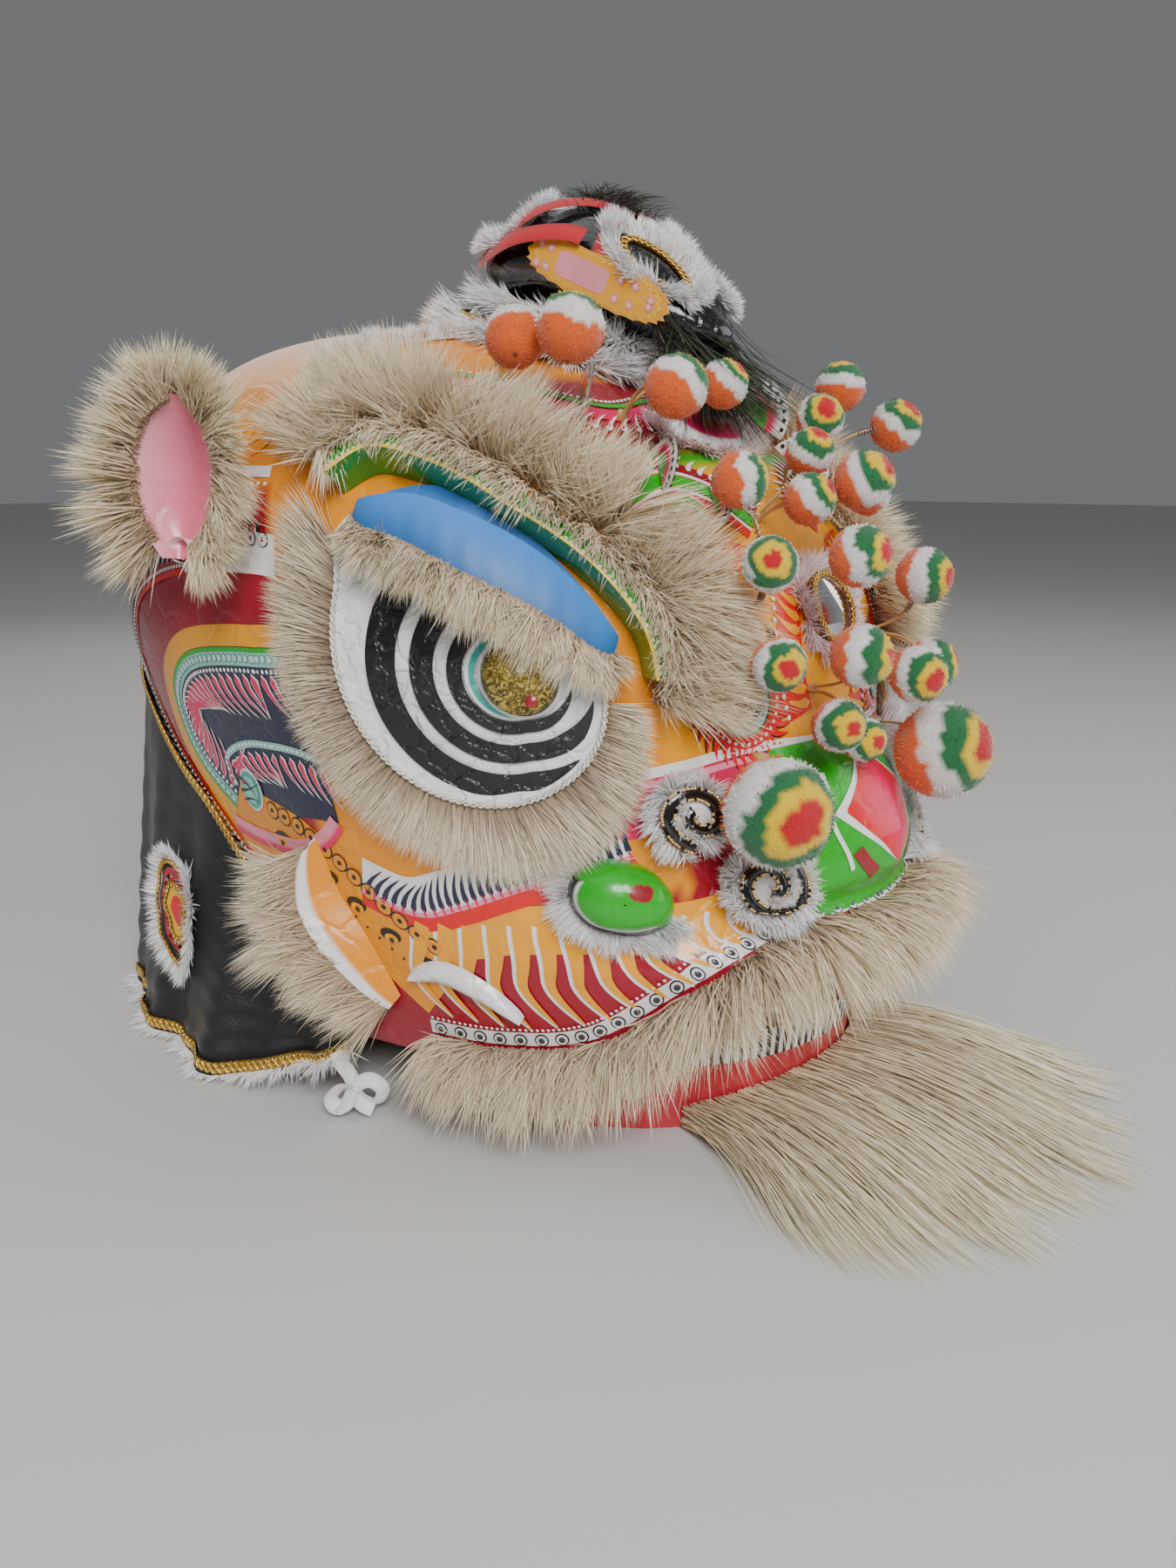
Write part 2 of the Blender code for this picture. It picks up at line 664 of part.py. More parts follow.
def eyelid_fur(side, name, carrier):
    rings = []
    stations = 17
    for k, ring in enumerate(lid_rings(stations)):
        top, middle, low, under, _, _ = ring
        arch = 0.25 + 0.75 * lid_arch(k / (stations - 1))
        down = (low - top).normalized()
        out = (low - under).normalized()
        reach = LID_FUR_REACH * (0.8 if k % 2 else 1.0) * arch
        tall = LID_FUR_HEIGHT * arch
        start = low + down * SEAT_GAP
        rings.append(
            [
                start,
                start + out * tall,
                start + down * reach + out * tall * 0.6,
                start + down * reach * 0.85 + out * tall * 0.5,
            ]
        )
    solid(name, rings, "beige_fur", side, carrier=carrier)


# Nose: middle ridge, side lobes and the furred rolls
def nose(name):
    rows_up = [(0.300, 0.15), (0.325, 0.75), (0.360, 1.0), (0.405, 0.95), (0.450, 0.62), (0.480, 0.12)]
    rings = []
    stations = 9
    for k in range(stations):
        swing = -1 + 2 * k / (stations - 1)
        turn = swing * NOSE_HALF_TURN
        fall = 1 - 0.55 * abs(swing)
        over = [on_shell(turn, height, SKIN_GAP + NOSE_HEIGHT * rise * fall) for height, rise in rows_up]
        under = [on_shell(turn, height, SKIN_GAP) for height, _ in reversed(rows_up[1:-1])]
        rings.append(over + under)
    solid(name, rings, "green_lacquer")


def dome(name, turn, height, width, rise, tall, slot, side, count=12, profile=None, lift=0.0):
    """Rounded boss on the skin, from its seat up to its crown."""
    profile = profile or [(0.4, 0.0), (1.0, 0.0), (0.97, 0.35), (0.78, 0.75), (0.40, 1.0)]
    base = seat(turn, height, max(width, rise) / 2) + lift
    rings = [
        [
            beside(turn, height, c * width / 2 * wide, s * rise / 2 * wide, base + tall * up)
            for c, s in circle(count)
        ]
        for wide, up in profile
    ]
    return solid(name, rings, slot, side)


def roll(name, turn, height, side):
    """Furred spiral seen from outside: a boss with a hollow crown and a tufted rim."""
    base = seat(turn, height, ROLL_RADIUS)
    profile = [(0.3, 0.0), (0.80, 0.0), (1.0, 0.45), (0.86, 0.95), (0.50, 0.75), (0.22, 0.70)]
    rings = []
    for wide, up in profile:
        ring = []
        for k, (c, s) in enumerate(circle(12)):
            out = ROLL_RADIUS * wide * (0.90 if k % 2 and up == 0.45 else 1.0)
            ring.append(beside(turn, height, c * out, s * out, base + ROLL_HEIGHT * up))
        rings.append(ring)
    solid(name, rings, "white_fur", side)


def fin(row, side, name):
    """Flat crescent standing on the skin like a slice of melon."""
    count = 9
    faces = []
    base = off_skin(row["turn"], row["height"], seat(row["turn"], row["height"], row["length"] * 0.3))
    out = skin_normal(row["turn"], row["height"])
    around = (skin(row["turn"] + 1, row["height"]) - skin(row["turn"], row["height"])).normalized()
    upward = out.cross(around)
    lean = math.radians(row["lean"])
    length_way = upward * math.cos(lean) + around * math.sin(lean)
    thick_way = out.cross(length_way)
    for shift in (-FIN_WALL / 2, FIN_WALL / 2):
        edge = []
        for k in range(count):
            angle = math.pi * k / (count - 1)
            along_it, up_it = -math.cos(angle) * row["length"] / 2, math.sin(angle) * row["rise"]
            edge.append((along_it, FIN_FOOT * 2 + up_it))
        edge += [(row["length"] * 0.3, -SEAT_GAP * 0.6), (-row["length"] * 0.3, -SEAT_GAP * 0.6)]
        faces.append([base + length_way * a + out * b + thick_way * shift for a, b in edge])
    solid(name, faces, "green_lacquer", side)


# Horn: two hollow tiers with fur rings, hair, ribbon and card
HORN_JOINT_Z = crown_height(0.0, HORN_BASE_Y) + HORN_BASE_HEIGHT


def horn_plane(y):
    return HORN_JOINT_Z + HORN_TILT * y


def tier_ring(c, s, wide, share, grow=0.0):
    """Point of the lower tier: share 0 is on the crown, 1 at the joint with the upper tier."""
    top_half, top_deep = HORN_WIDTH * 0.46, HORN_BASE_DEPTH * 0.40
    half = HORN_BASE_WIDTH / 2 * (1 - share) + top_half * share
    deep = HORN_BASE_DEPTH / 2 * (1 - share) + top_deep * share
    bulge = 1 + 0.06 * math.sin(math.pi * share)
    x = c * (half * bulge * wide + grow)
    y = HORN_BASE_Y * (1 - share) + 0.004 * share + s * (deep * bulge * wide + grow)
    low = crown_height(x, y) + SKIN_GAP
    return Vector((x, y, low + (horn_plane(y) - low) * share))


def horn_base(name):
    way = circle(14)
    outer = [[tier_ring(c, s, 1.0, share) for c, s in way] for share in (0.0, 0.33, 0.67, 1.0)]
    cap = [[Vector((p[0] * 0.3, 0.004 + (p[1] - 0.004) * 0.3, horn_plane(0.004 + (p[1] - 0.004) * 0.3)))
            for p in outer[-1]]]
    inner = [[tier_ring(c, s, 1.0, share, -HORN_WALL) for c, s in way] for share in (0.9, 0.45, 0.0)]
    ceiling = [[Vector((p[0] * 0.3, p[1] * 0.3, horn_plane(p[1] * 0.3) - HORN_WALL * 1.5)) for p in inner[0]]]
    solid(name, ceiling + inner + outer + cap, "black_lacquer")


def horn_ring(row, count=12):
    half, tall = row["half"] * HORN_WIDTH, row["tall"] * HORN_LENGTH
    y = row["y"] * HORN_LENGTH
    ring = []
    for c, s in circle(count):
        floor = horn_plane(y) + SEAT_GAP * 0.5
        ring.append(Vector((c * half, y, max(row["z"] + s * tall, floor))))
    return ring


def horn_at(share):
    """Row of the upper tier at this place along it, from back 0 to beak 1."""
    rows_along = [dict(row, share=i / (len(HORN_TIER) - 1)) for i, row in enumerate(HORN_TIER)]
    row = {key: read_table(rows_along, "share", share, key) for key in ("y", "rise", "half", "tall")}
    row["z"] = HORN_JOINT_Z + row["rise"] * HORN_LENGTH
    return row


def horn_top(name):
    solid(name, [horn_ring(horn_at(k / 9)) for k in range(10)], "black_lacquer")


def horn_fur(name, share, gap):
    """Fur ring round the lower tier at this share of its height."""
    count = 20
    rings = []
    for k, (c, s) in enumerate(circle(count)):
        reach = HORN_FUR_REACH * (0.8 if k % 2 else 1.0)
        near = tier_ring(c, s, 1.0, share, gap)
        near_top = tier_ring(c, s, 1.0, share + 0.30, gap)
        far = tier_ring(c, s, 1.0, share, gap + reach)
        far_top = Vector((far[0], far[1], far[2] + HORN_FUR_REACH * 0.55))
        rings.append([near, near_top, far_top, far])
    solid(name, rings, "white_fur", closed=True)


def horn_tuft(name):
    row = horn_at(0.50)
    top = row["z"] + row["tall"] * HORN_LENGTH + SEAT_GAP * 6
    middle = row["y"] * HORN_LENGTH
    rings = []
    for wide, up in ((0.7, 0.003), (1.0, 0.4), (0.85, 0.8), (0.4, 1.0)):
        ring = []
        for k, (c, s) in enumerate(circle(12)):
            out = 0.020 * wide * (0.75 if k % 2 and up > 0.1 else 1.0)
            ring.append(Vector((c * out * 0.5, middle + s * out, top + TUFT_HEIGHT * up)))
        rings.append(ring)
    solid(name, rings, "black_hair")


def horn_fringe(name):
    """Long hair that hangs from under the beak over the forehead."""
    row = horn_at(0.80)
    low = row["z"] - row["tall"] * HORN_LENGTH - SEAT_GAP
    middle = row["y"] * HORN_LENGTH
    rings = []
    for wide, down in ((0.6, 0.0), (0.9, 0.3), (1.1, 0.7), (1.1, 1.0)):
        ring = []
        for k, (c, s) in enumerate(circle(12)):
            trim = 0.75 if k % 2 and down == 1.0 else 1.0
            x, y = c * 0.028 * wide, middle - 0.012 * down + s * 0.010
            seat = crown_height(x, y) + ORNAMENT_WALL + SKIN_GAP * 5
            ring.append(Vector((x, y, max(low - FRINGE_DROP * down * trim, seat))))
        rings.append(ring)
    solid(name, rings, "black_hair")


def horn_ribbon(name):
    """Tape laid over the upper tier from side to side."""
    row = horn_at(RIBBON_PLACE)
    rings = []
    stations = 15
    for k in range(stations):
        angle = math.radians(-18 + 216 * k / (stations - 1))
        ring = []
        for shift, grow in ((0.5, 0.0), (0.5, 1.0), (-0.5, 1.0), (-0.5, 0.0)):
            lift = SEAT_GAP * 3 + RIBBON_WALL * grow
            half = row["half"] * HORN_WIDTH + lift
            tall = row["tall"] * HORN_LENGTH + lift
            y = row["y"] * HORN_LENGTH + shift * RIBBON_WIDTH
            ring.append(Vector((math.cos(angle) * half, y, row["z"] + math.sin(angle) * tall)))
        rings.append(ring)
    solid(name, rings, "red_ribbon")


def horn_card(name):
    """Scalloped card pinned to the horn's right side."""
    rear, fore = horn_at(CARD_SEAT[0]), horn_at(CARD_SEAT[1])
    ends = [Vector((-row["half"] * HORN_WIDTH, row["y"] * HORN_LENGTH, row["z"])) for row in (rear, fore)]
    way = (ends[1] - ends[0]).normalized()
    out = Vector((way[1], -way[0], 0.0)).normalized()
    middle = (ends[0] + ends[1]) / 2 + way * CARD_LENGTH * CARD_FORWARD + out * CARD_CLEAR
    across = way.cross(out).normalized()
    outline = []
    count = 24
    for k, (c, s) in enumerate(circle(count)):
        scallop = 1.0 if k % 2 else 0.93
        outline.append((math.copysign(abs(c) ** 0.7, c) * CARD_LENGTH / 2 * scallop,
                        math.copysign(abs(s) ** 0.7, s) * CARD_WIDTH / 2 * scallop))
    rings = [[middle + way * a + across * b + out * shift for a, b in outline] for shift in (0.0, CARD_WALL)]
    solid(name, rings, "card")


# Ears: a scoop on a pin at the side of the shell, with a deep fur rim
EAR_PLACE = (-91.8, 0.700)
EAR_UP = Vector((0.0, -0.20, 0.98)).normalized()
EAR_OUT = Vector((-0.93, -0.37, 0.0)).normalized()


def ear_frame():
    side_way = EAR_UP.cross(EAR_OUT).normalized()
    return off_skin(*EAR_PLACE, EAR_STAND), side_way, EAR_OUT


EAR_OUTLINE = [
    {"up": 0.00, "half": 0.22},
    {"up": 0.10, "half": 0.52},
    {"up": 0.35, "half": 0.95},
    {"up": 0.60, "half": 1.00},
    {"up": 0.85, "half": 0.72},
    {"up": 1.00, "half": 0.22},
]


def ear_edge(up):
    return read_table(EAR_OUTLINE, "up", up, "half") * EAR_WIDTH / 2


def ear(side, name, carrier):
    base, across, out = ear_frame()
    rings = []
    for k in range(8):
        up = k / 7
        half = ear_edge(up)
        deep = EAR_DEPTH * math.sin(math.pi * min(max(up * 0.9 + 0.08, 0), 1)) ** 0.6
        ring = []
        for wall, order in ((0.0, (-1, -0.5, 0, 0.5, 1)), (EAR_WALL, (1, 0.5, 0, -0.5, -1))):
            for part in order:
                sink = deep * (1 - part * part)
                lift = out * (wall - sink + EAR_DEPTH)
                ring.append(base + EAR_UP * up * EAR_LENGTH + across * part * half + lift)
        rings.append(ring)
    scoop = solid("ear_scoop", rings, "pink_lacquer")
    head = base + out * (EAR_DEPTH - EAR_WALL) + EAR_UP * EAR_LENGTH * 0.06
    foot_stand = seat(*EAR_PLACE, EAR_POST_RADIUS)
    reach = [(c * EAR_POST_RADIUS, s * EAR_POST_RADIUS) for c, s in circle(6)]
    post = [
        [beside(*EAR_PLACE, a, b, foot_stand) for a, b in reach],
        [head + across * a + EAR_UP * b for a, b in reach],
    ]
    made = joined(name, [scoop, solid("ear_post", post, "pink_lacquer")], "pink_lacquer")
    if side > 0:
        made.data.transform(Matrix.Scale(-1, 4, Vector((1, 0, 0))))
        made.data.flip_normals()
    made.parent = carrier
    made.data.transform(Matrix.Translation(-carrier.location))


def ear_fur(side, name, carrier):
    base, across, out = ear_frame()
    rings = []
    stations = 21
    for k in range(stations):
        angle = math.radians(-52 + 284 * k / (stations - 1))
        up = 0.5 + 0.5 * math.sin(angle)
        half = ear_edge(up)
        edge = across * half * (1 if math.cos(angle) > 0 else -1) + EAR_UP * up * EAR_LENGTH
        if up > 0.995:
            edge = EAR_UP * EAR_LENGTH
        away = (across * math.cos(angle) + EAR_UP * math.sin(angle)).normalized()
        forward = max(math.cos(angle), 0.0)
        reach = EAR_FUR_REACH * (0.82 if k % 2 else 1.0) * (1 - 0.35 * forward)
        start = base + edge + away * SEAT_GAP * 3
        rings.append(
            [
                start + out * (EAR_DEPTH - EAR_FUR_THICK * 0.4),
                start + out * (EAR_DEPTH + EAR_FUR_THICK * 0.6),
                start + away * reach + out * (EAR_DEPTH + EAR_FUR_THICK * 0.4),
                start + away * reach * 0.9 + out * (EAR_DEPTH - EAR_FUR_THICK * 0.5),
            ]
        )
    solid(name, rings, "beige_fur", side, carrier=carrier)


# Mouth: lip fur, jaw and beard
def lip_fur(name):
    route = LIP_ROUTE + [(-turn, height) for turn, height in reversed(LIP_ROUTE[:-1])]
    rings = []
    stations = 35
    for k in range(stations):
        turn, height = along(route, k / (stations - 1))
        trim = 0.82 if k % 2 else 1.0
        edge = skin(turn, rim_height(turn))
        out = Vector((edge[0], edge[1] * 1.1, 0.0)).normalized()
        top = beside(turn, height, 0.0, LIP_FUR_HEIGHT * 0.5, LIP_FUR_SEAT)
        low = edge + out * LIP_FUR_SEAT
        tip = edge + out * LIP_FUR_REACH * 0.62 * trim + Vector((0, 0, -LIP_FUR_REACH * 0.85 * trim))
        crest = top + out * LIP_FUR_HEIGHT * 1.2
        under = edge + out * LIP_FUR_HEIGHT * 0.35 + Vector((0, 0, -LIP_FUR_REACH * 0.6))
        rings.append([(p[0], p[1], max(p[2], FLOOR_GAP)) for p in (top, crest, tip, under, low)])
    solid(name, rings, "beige_fur")


JAW_TURN = 74.0
JAW_MIDDLE = Vector((0.0, -SHELL_DEPTH * 0.20, 0.0))


def jaw_edge(turn, height, inset):
    edge = skin(turn, 0.10)
    centre = Vector((0, JAW_PIN_Y, 0))
    flat = Vector((edge[0], edge[1], 0)) * JAW_SHARE + centre * (1 - JAW_SHARE)
    inward = (JAW_MIDDLE - flat).normalized()
    return flat + inward * inset + Vector((0, 0, height))


def jaw_face(turn, height):
    """Point of the jaw's outer face, which leans out from its foot to its rim."""
    return jaw_edge(turn, height, JAW_FLARE * (1 - 2 * height / JAW_HEIGHT))


def jaw_outline(height, inset):
    """D-shaped outline of the jaw: round in front, straight across behind."""
    count = 15
    front = [jaw_edge(-JAW_TURN + 2 * JAW_TURN * k / (count - 1), height, inset) for k in range(count)]
    left, right = front[-1], front[0]
    back = [left.lerp(right, share) for share in (0.25, 0.5, 0.75)]
    return front + back


def lower_jaw(name, carrier):
    rings = [
        [p.lerp(JAW_MIDDLE + Vector((0, 0, JAW_WALL)), 0.7) for p in jaw_outline(JAW_WALL, 0)],
        jaw_outline(JAW_WALL, JAW_WALL * 2),
        jaw_outline(JAW_HEIGHT, JAW_WALL - JAW_FLARE),
        jaw_outline(JAW_HEIGHT, -JAW_FLARE),
        jaw_outline(0.0, JAW_FLARE),
        [p.lerp(JAW_MIDDLE, 0.7) for p in jaw_outline(0.0, 0.0)],
    ]
    tray = solid("jaw_tray", rings, "red_lacquer")
    parts = [tray]
    for side in (-1, 1):
        tip = shell_inside(side)
        corner = jaw_edge(side * JAW_TURN, 0, 0)
        root = Vector((corner[0] + side * JAW_ARM_OUT, tip[1], tip[2]))
        ring = [[Vector((x, JAW_PIN_Y + c * JAW_PIN_RADIUS, JAW_PIN_HEIGHT + s * JAW_PIN_RADIUS))
                 for c, s in circle(6)] for x in (root[0], tip[0])]
        parts.append(solid("jaw_pin", ring, "red_lacquer"))
        arm = [[Vector((x, y, z)) for y, z in (
            (corner[1] - 0.02, 0.010), (JAW_PIN_Y + 0.010, JAW_PIN_HEIGHT - 0.008),
            (JAW_PIN_Y + 0.008, JAW_PIN_HEIGHT + 0.010), (corner[1] - 0.02, JAW_HEIGHT - 0.004))]
            for x in (root[0] - side * JAW_ARM_WALL / 3, root[0] + side * JAW_ARM_WALL * 2 / 3)]
        parts.append(solid("jaw_arm", arm, "red_lacquer"))
    made = joined(name, parts, "red_lacquer")
    made.parent = carrier
    made.data.transform(Matrix.Translation(-carrier.location))
    return made


def shell_inside(side):
    """Point on the pin's axis, one seat gap short of the shell's inner face."""
    across = Vector((side, 0, 0))
    middle = Vector((0, JAW_PIN_Y, JAW_PIN_HEIGHT))
    rims = [middle + Vector((0, c, s)) * JAW_PIN_RADIUS for c, s in circle(12)]
    reach = min(abs(shell_faces[0].ray_cast(rim, across)[0][0]) for rim in rims) - SEAT_GAP
    return Vector((side * reach, JAW_PIN_Y, JAW_PIN_HEIGHT))


def beard(name, carrier):
    columns = BEARD_LOCKS * 2 + 1
    rings = []
    for k in range(columns):
        share = -1 + 2 * k / (columns - 1)
        trim = 1.0 if k % 2 else 0.84
        root_x = share * BEARD_WIDTH / 2
        turn = math.degrees(math.asin(root_x / jaw_edge(90.0, 0, 0)[0]))
        tip_x = root_x + share * BEARD_SPREAD
        length = BEARD_LENGTH * trim * (1 - 0.12 * share * share)
        thick = BEARD_THICK * (0.78 if k % 2 else 1.0) * (1 - 0.45 * share * share)
        foot, top = (jaw_face(turn, FLOOR_GAP + rise) - Vector((0, SEAT_GAP, 0)) for rise in (0.0, thick))
        start = foot[1]
        rings.append(
            [
                foot,
                top,
                Vector((root_x * 0.5 + tip_x * 0.5, start - length * 0.45, FLOOR_GAP + thick * 0.75)),
                Vector((tip_x, start - length, FLOOR_GAP + thick * 0.22)),
                Vector((tip_x, start - length, FLOOR_GAP)),
                Vector((root_x * 0.5 + tip_x * 0.5, start - length * 0.45, FLOOR_GAP)),
            ]
        )
    solid(name, rings, "cream_hair", carrier=carrier)


# Cheeks: a stiff flap behind the mouth with its fur, and the white tusk at its corner
def flap_rings(stations):
    rings = []
    for k in range(stations):
        share = k / (stations - 1)
        turn, height = along(FLAP_ROUTE, share)
        near = off_skin(turn, height, SEAT_GAP)
        bow = math.sin(math.pi * (0.1 + 0.8 * share))
        far = beside(turn, height, -FLAP_REACH * 0.7 * bow, -FLAP_REACH * 0.3, SKIN_GAP + FLAP_REACH * bow)
        rings.append((near, far))
    return rings


def cheek_flap(side, name):
    rings = []
    for near, far in flap_rings(9):
        thick = Vector((0.0, -FLAP_WALL, 0.0))
        rings.append([near + thick, far + thick, far, near])
    solid(name, rings, "white_lacquer", side)


def cheek_fur(side, name):
    rings = []
    for k, (near, far) in enumerate(flap_rings(15)):
        away = (far - near).normalized()
        across = Vector((0, 1, 0))
        reach = FLAP_FUR_REACH * (0.82 if k % 2 else 1.0)
        start = far + away * SEAT_GAP * 2
        tip = start + away * reach * 0.6 + across * reach * 0.7
        half = Vector((-0.5, -0.6, 0)).normalized() * FLAP_FUR_THICK / 2
        rings.append([start - half * 0.4, start + half, tip + half, tip - half * 0.6])
    solid(name, rings, "beige_fur", side)


def tusk(side, name):
    section = [(-TUSK_WIDTH / 2, SKIN_GAP), (TUSK_WIDTH / 2, SKIN_GAP), (0.0, TUSK_HEIGHT)]
    skin_band(name, TUSK_ROUTE, 9, section, "white_lacquer", side, ends=0.3)


# Pompoms on bent bamboo strips
def pompom_ball(place, radius):
    ball = bmesh.new()
    bmesh.ops.create_icosphere(ball, subdivisions=2, radius=radius)
    for vert in ball.verts:
        vert.co *= 0.94 if vert.index % 3 == 0 else 1.0
    bmesh.ops.translate(ball, verts=ball.verts, vec=place)
    return finish("ball", ball, "wool")


def pompom_stem(foot, out, place):
    """Round strip that leaves the skin straight and bends to the ball."""
    rings = []
    sideways = (place - foot) - out * out.dot(place - foot)
    root = foot + sideways.normalized() * SPRAY_FOOT * 0.6
    reach = (place - root).length
    knee = root + out * reach * 0.55
    across = out.orthogonal().normalized()
    for k in range(4):
        t = k / 3
        point = root * (1 - t) ** 2 + knee * 2 * t * (1 - t) + place * t * t
        way = ((knee - root) * (1 - t) + (place - knee) * t).normalized()
        across = (across - way * across.dot(way)).normalized()
        other = way.cross(across)
        rings.append([point + (across * c + other * s) * STEM_RADIUS for c, s in circle(3)])
    return solid("stem", rings, "wool")


def pompom_spray(name):
    turn, height = SPRAY_ROOTS[name]
    out = skin_normal(turn, height)
    base = seat(turn, height, SPRAY_FOOT)
    root = off_skin(turn, height, base + SPRAY_FOOT * 0.5)
    parts = []
    for row in POMPOMS:
        if row["spray"] != name:
            continue
        place = off_skin(row["turn"], row["height"], row["stand"])
        parts.append(pompom_ball(place, row["radius"]))
        parts.append(pompom_stem(root, out, place))
    foot = bmesh.new()
    bmesh.ops.create_cone(foot, cap_ends=True, segments=8, radius1=SPRAY_FOOT, radius2=SPRAY_FOOT * 0.6,
                          depth=SPRAY_FOOT)
    turned = out.to_track_quat("Z", "Y").to_matrix().to_4x4()
    bmesh.ops.transform(foot, matrix=Matrix.Translation(root) @ turned, verts=foot.verts)
    parts.insert(0, finish("foot", foot, "wool"))
    joined(name, parts, "wool")


# Curtain of black satin behind, hanging from the rear edge to the floor
def tail_cloth(name):
    rings = []
    stations = 34
    levels = (0.0, 0.15, 0.55, 1.0)
    for k in range(stations):
        share = k / (stations - 1)
        turn = CURTAIN_TURN + 2 * (180 - CURTAIN_TURN) * share
        mirrored_turn = min(turn, 360 - turn)
        edge = read_table(CURTAIN_EDGE, "turn", mirrored_turn, "height")
        top = off_skin(turn, edge, SKIN_GAP)
        flat = skin_normal(turn, edge)
        flat[2] = 0
        flat.normalize()
        ring_in, ring_out = [], []
        wave = math.cos(2 * math.pi * CURTAIN_FOLDS * share)
        near_end = max(0.0, 1 - (mirrored_turn - CURTAIN_TURN) / CURTAIN_HEM_SPAN)
        hem = FLOOR_GAP + CURTAIN_HEM_RISE * near_end**1.2
        for level in levels:
            z = top[2] + (hem - top[2]) * level
            push = (CURTAIN_FLARE * (1 - near_end) + CURTAIN_FOLD * (1 + wave)) * level
            place = Vector((top[0], top[1], z)) + flat * push
            ring_in.append(place)
            ring_out.append(place + flat * CURTAIN_WALL)
        rings.append(ring_in + ring_out[::-1])
    solid(name, rings, "black_satin")


# Assembly
SIDES = {"right": -1, "left": 1}


def mirrored(point, side):
    return Vector((-point[0] if side > 0 else point[0], point[1], point[2]))


for side_name, side in SIDES.items():
    eye_dish(side, "eye_dish_" + side_name)
    eye_bulb(side, "eye_bulb_" + side_name)
    lash_fringe(side, "lash_fringe_" + side_name)
    brow(side, "brow_" + side_name)
    brow_fur(side, "brow_fur_" + side_name)
    lid_hinge = hinge("eyelid_hinge_" + side_name, mirrored(LID_AXIS[0].lerp(LID_AXIS[1], 0.5), side))
    eyelid(side, "eyelid_" + side_name, lid_hinge)
    eyelid_fur(side, "eyelid_fur_" + side_name, lid_hinge)
    dome("nose_wing_" + side_name, side * 42.3, 0.337, WING_WIDTH, WING_RISE, WING_HEIGHT, "green_lacquer", -1)
    roll("nose_roll_upper_" + side_name, -30.0, 0.425, side)
    roll("nose_roll_lower_" + side_name, -23.0, 0.335, side)
    for row in FINS:
        fin(row, side, row["name"] + "_" + side_name)
    ear_hinge = hinge("ear_hinge_" + side_name, mirrored(ear_frame()[0], side))
    ear(side, "ear_" + side_name, ear_hinge)
    ear_fur(side, "ear_fur_" + side_name, ear_hinge)
    cheek_flap(side, "cheek_flap_" + side_name)
    cheek_fur(side, "cheek_fur_" + side_name)
    tusk(side, "tusk_" + side_name)

nose("nose")
dome("mirror", 0.0, MIRROR_SHARE, MIRROR_RADIUS * 2, MIRROR_RADIUS * 2, MIRROR_WALL * 2, "silver_glass", -1,
     profile=[(0.4, 0.0), (1.0, 0.0), (1.0, 0.8), (0.9, 1.0)], lift=SEAT_GAP)
dome("forehead_ornament", 0.0, 0.847, ORNAMENT_WIDTH, ORNAMENT_RISE, ORNAMENT_WALL, "pink_lacquer", -1, 16)


def mirror_fur(name):
    base = seat(0.0, MIRROR_SHARE, MIRROR_RADIUS + MIRROR_FUR_REACH) + SEAT_GAP
    rings = []
    for k, (c, s) in enumerate(circle(16)):
        near = MIRROR_RADIUS + SEAT_GAP * 2
        far = near + MIRROR_FUR_REACH * (0.8 if k % 2 else 1.0)
        rings.append([
            beside(0.0, MIRROR_SHARE, c * near, s * near, base),
            beside(0.0, MIRROR_SHARE, c * near, s * near, base + MIRROR_FUR_HEIGHT),
            beside(0.0, MIRROR_SHARE, c * far, s * far, base + MIRROR_FUR_HEIGHT * 0.7),
            beside(0.0, MIRROR_SHARE, c * far, s * far, base),
        ])
    solid(name, rings, "white_fur", closed=True)


mirror_fur("mirror_fur")
horn_base("horn_base")
horn_top("horn_top")
horn_fur("horn_fur_lower", 0.0, SEAT_GAP * 3)
horn_fur("horn_fur_middle", 0.70, SEAT_GAP * 3)
horn_tuft("horn_tuft")
horn_fringe("horn_fringe")
horn_ribbon("horn_ribbon")
horn_card("horn_card")
lip_fur("lip_fur")
jaw_hinge = hinge("jaw_hinge", Vector((0, JAW_PIN_Y, JAW_PIN_HEIGHT)))
lower_jaw("lower_jaw", jaw_hinge)
beard("beard", jaw_hinge)
tail_cloth("tail_cloth")
for spray_name in SPRAY_ROOTS:
    pompom_spray(spray_name)

# Origin at the middle of the underside of the whole object's box
bpy.context.view_layer.update()
corners = []
for thing in bpy.data.objects:
    if thing.type == "MESH":
        corners += [thing.matrix_world @ vert.co for vert in thing.data.vertices]
low = Vector([min(p[i] for p in corners) for i in range(3)])
high = Vector([max(p[i] for p in corners) for i in range(3)])
lion_head.location = Vector((-(low[0] + high[0]) / 2, -(low[1] + high[1]) / 2, -low[2]))
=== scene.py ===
"""Lion dance head on a pale floor: lacquered papier-mache, real-fur trims, wool pompoms and satin."""

import math

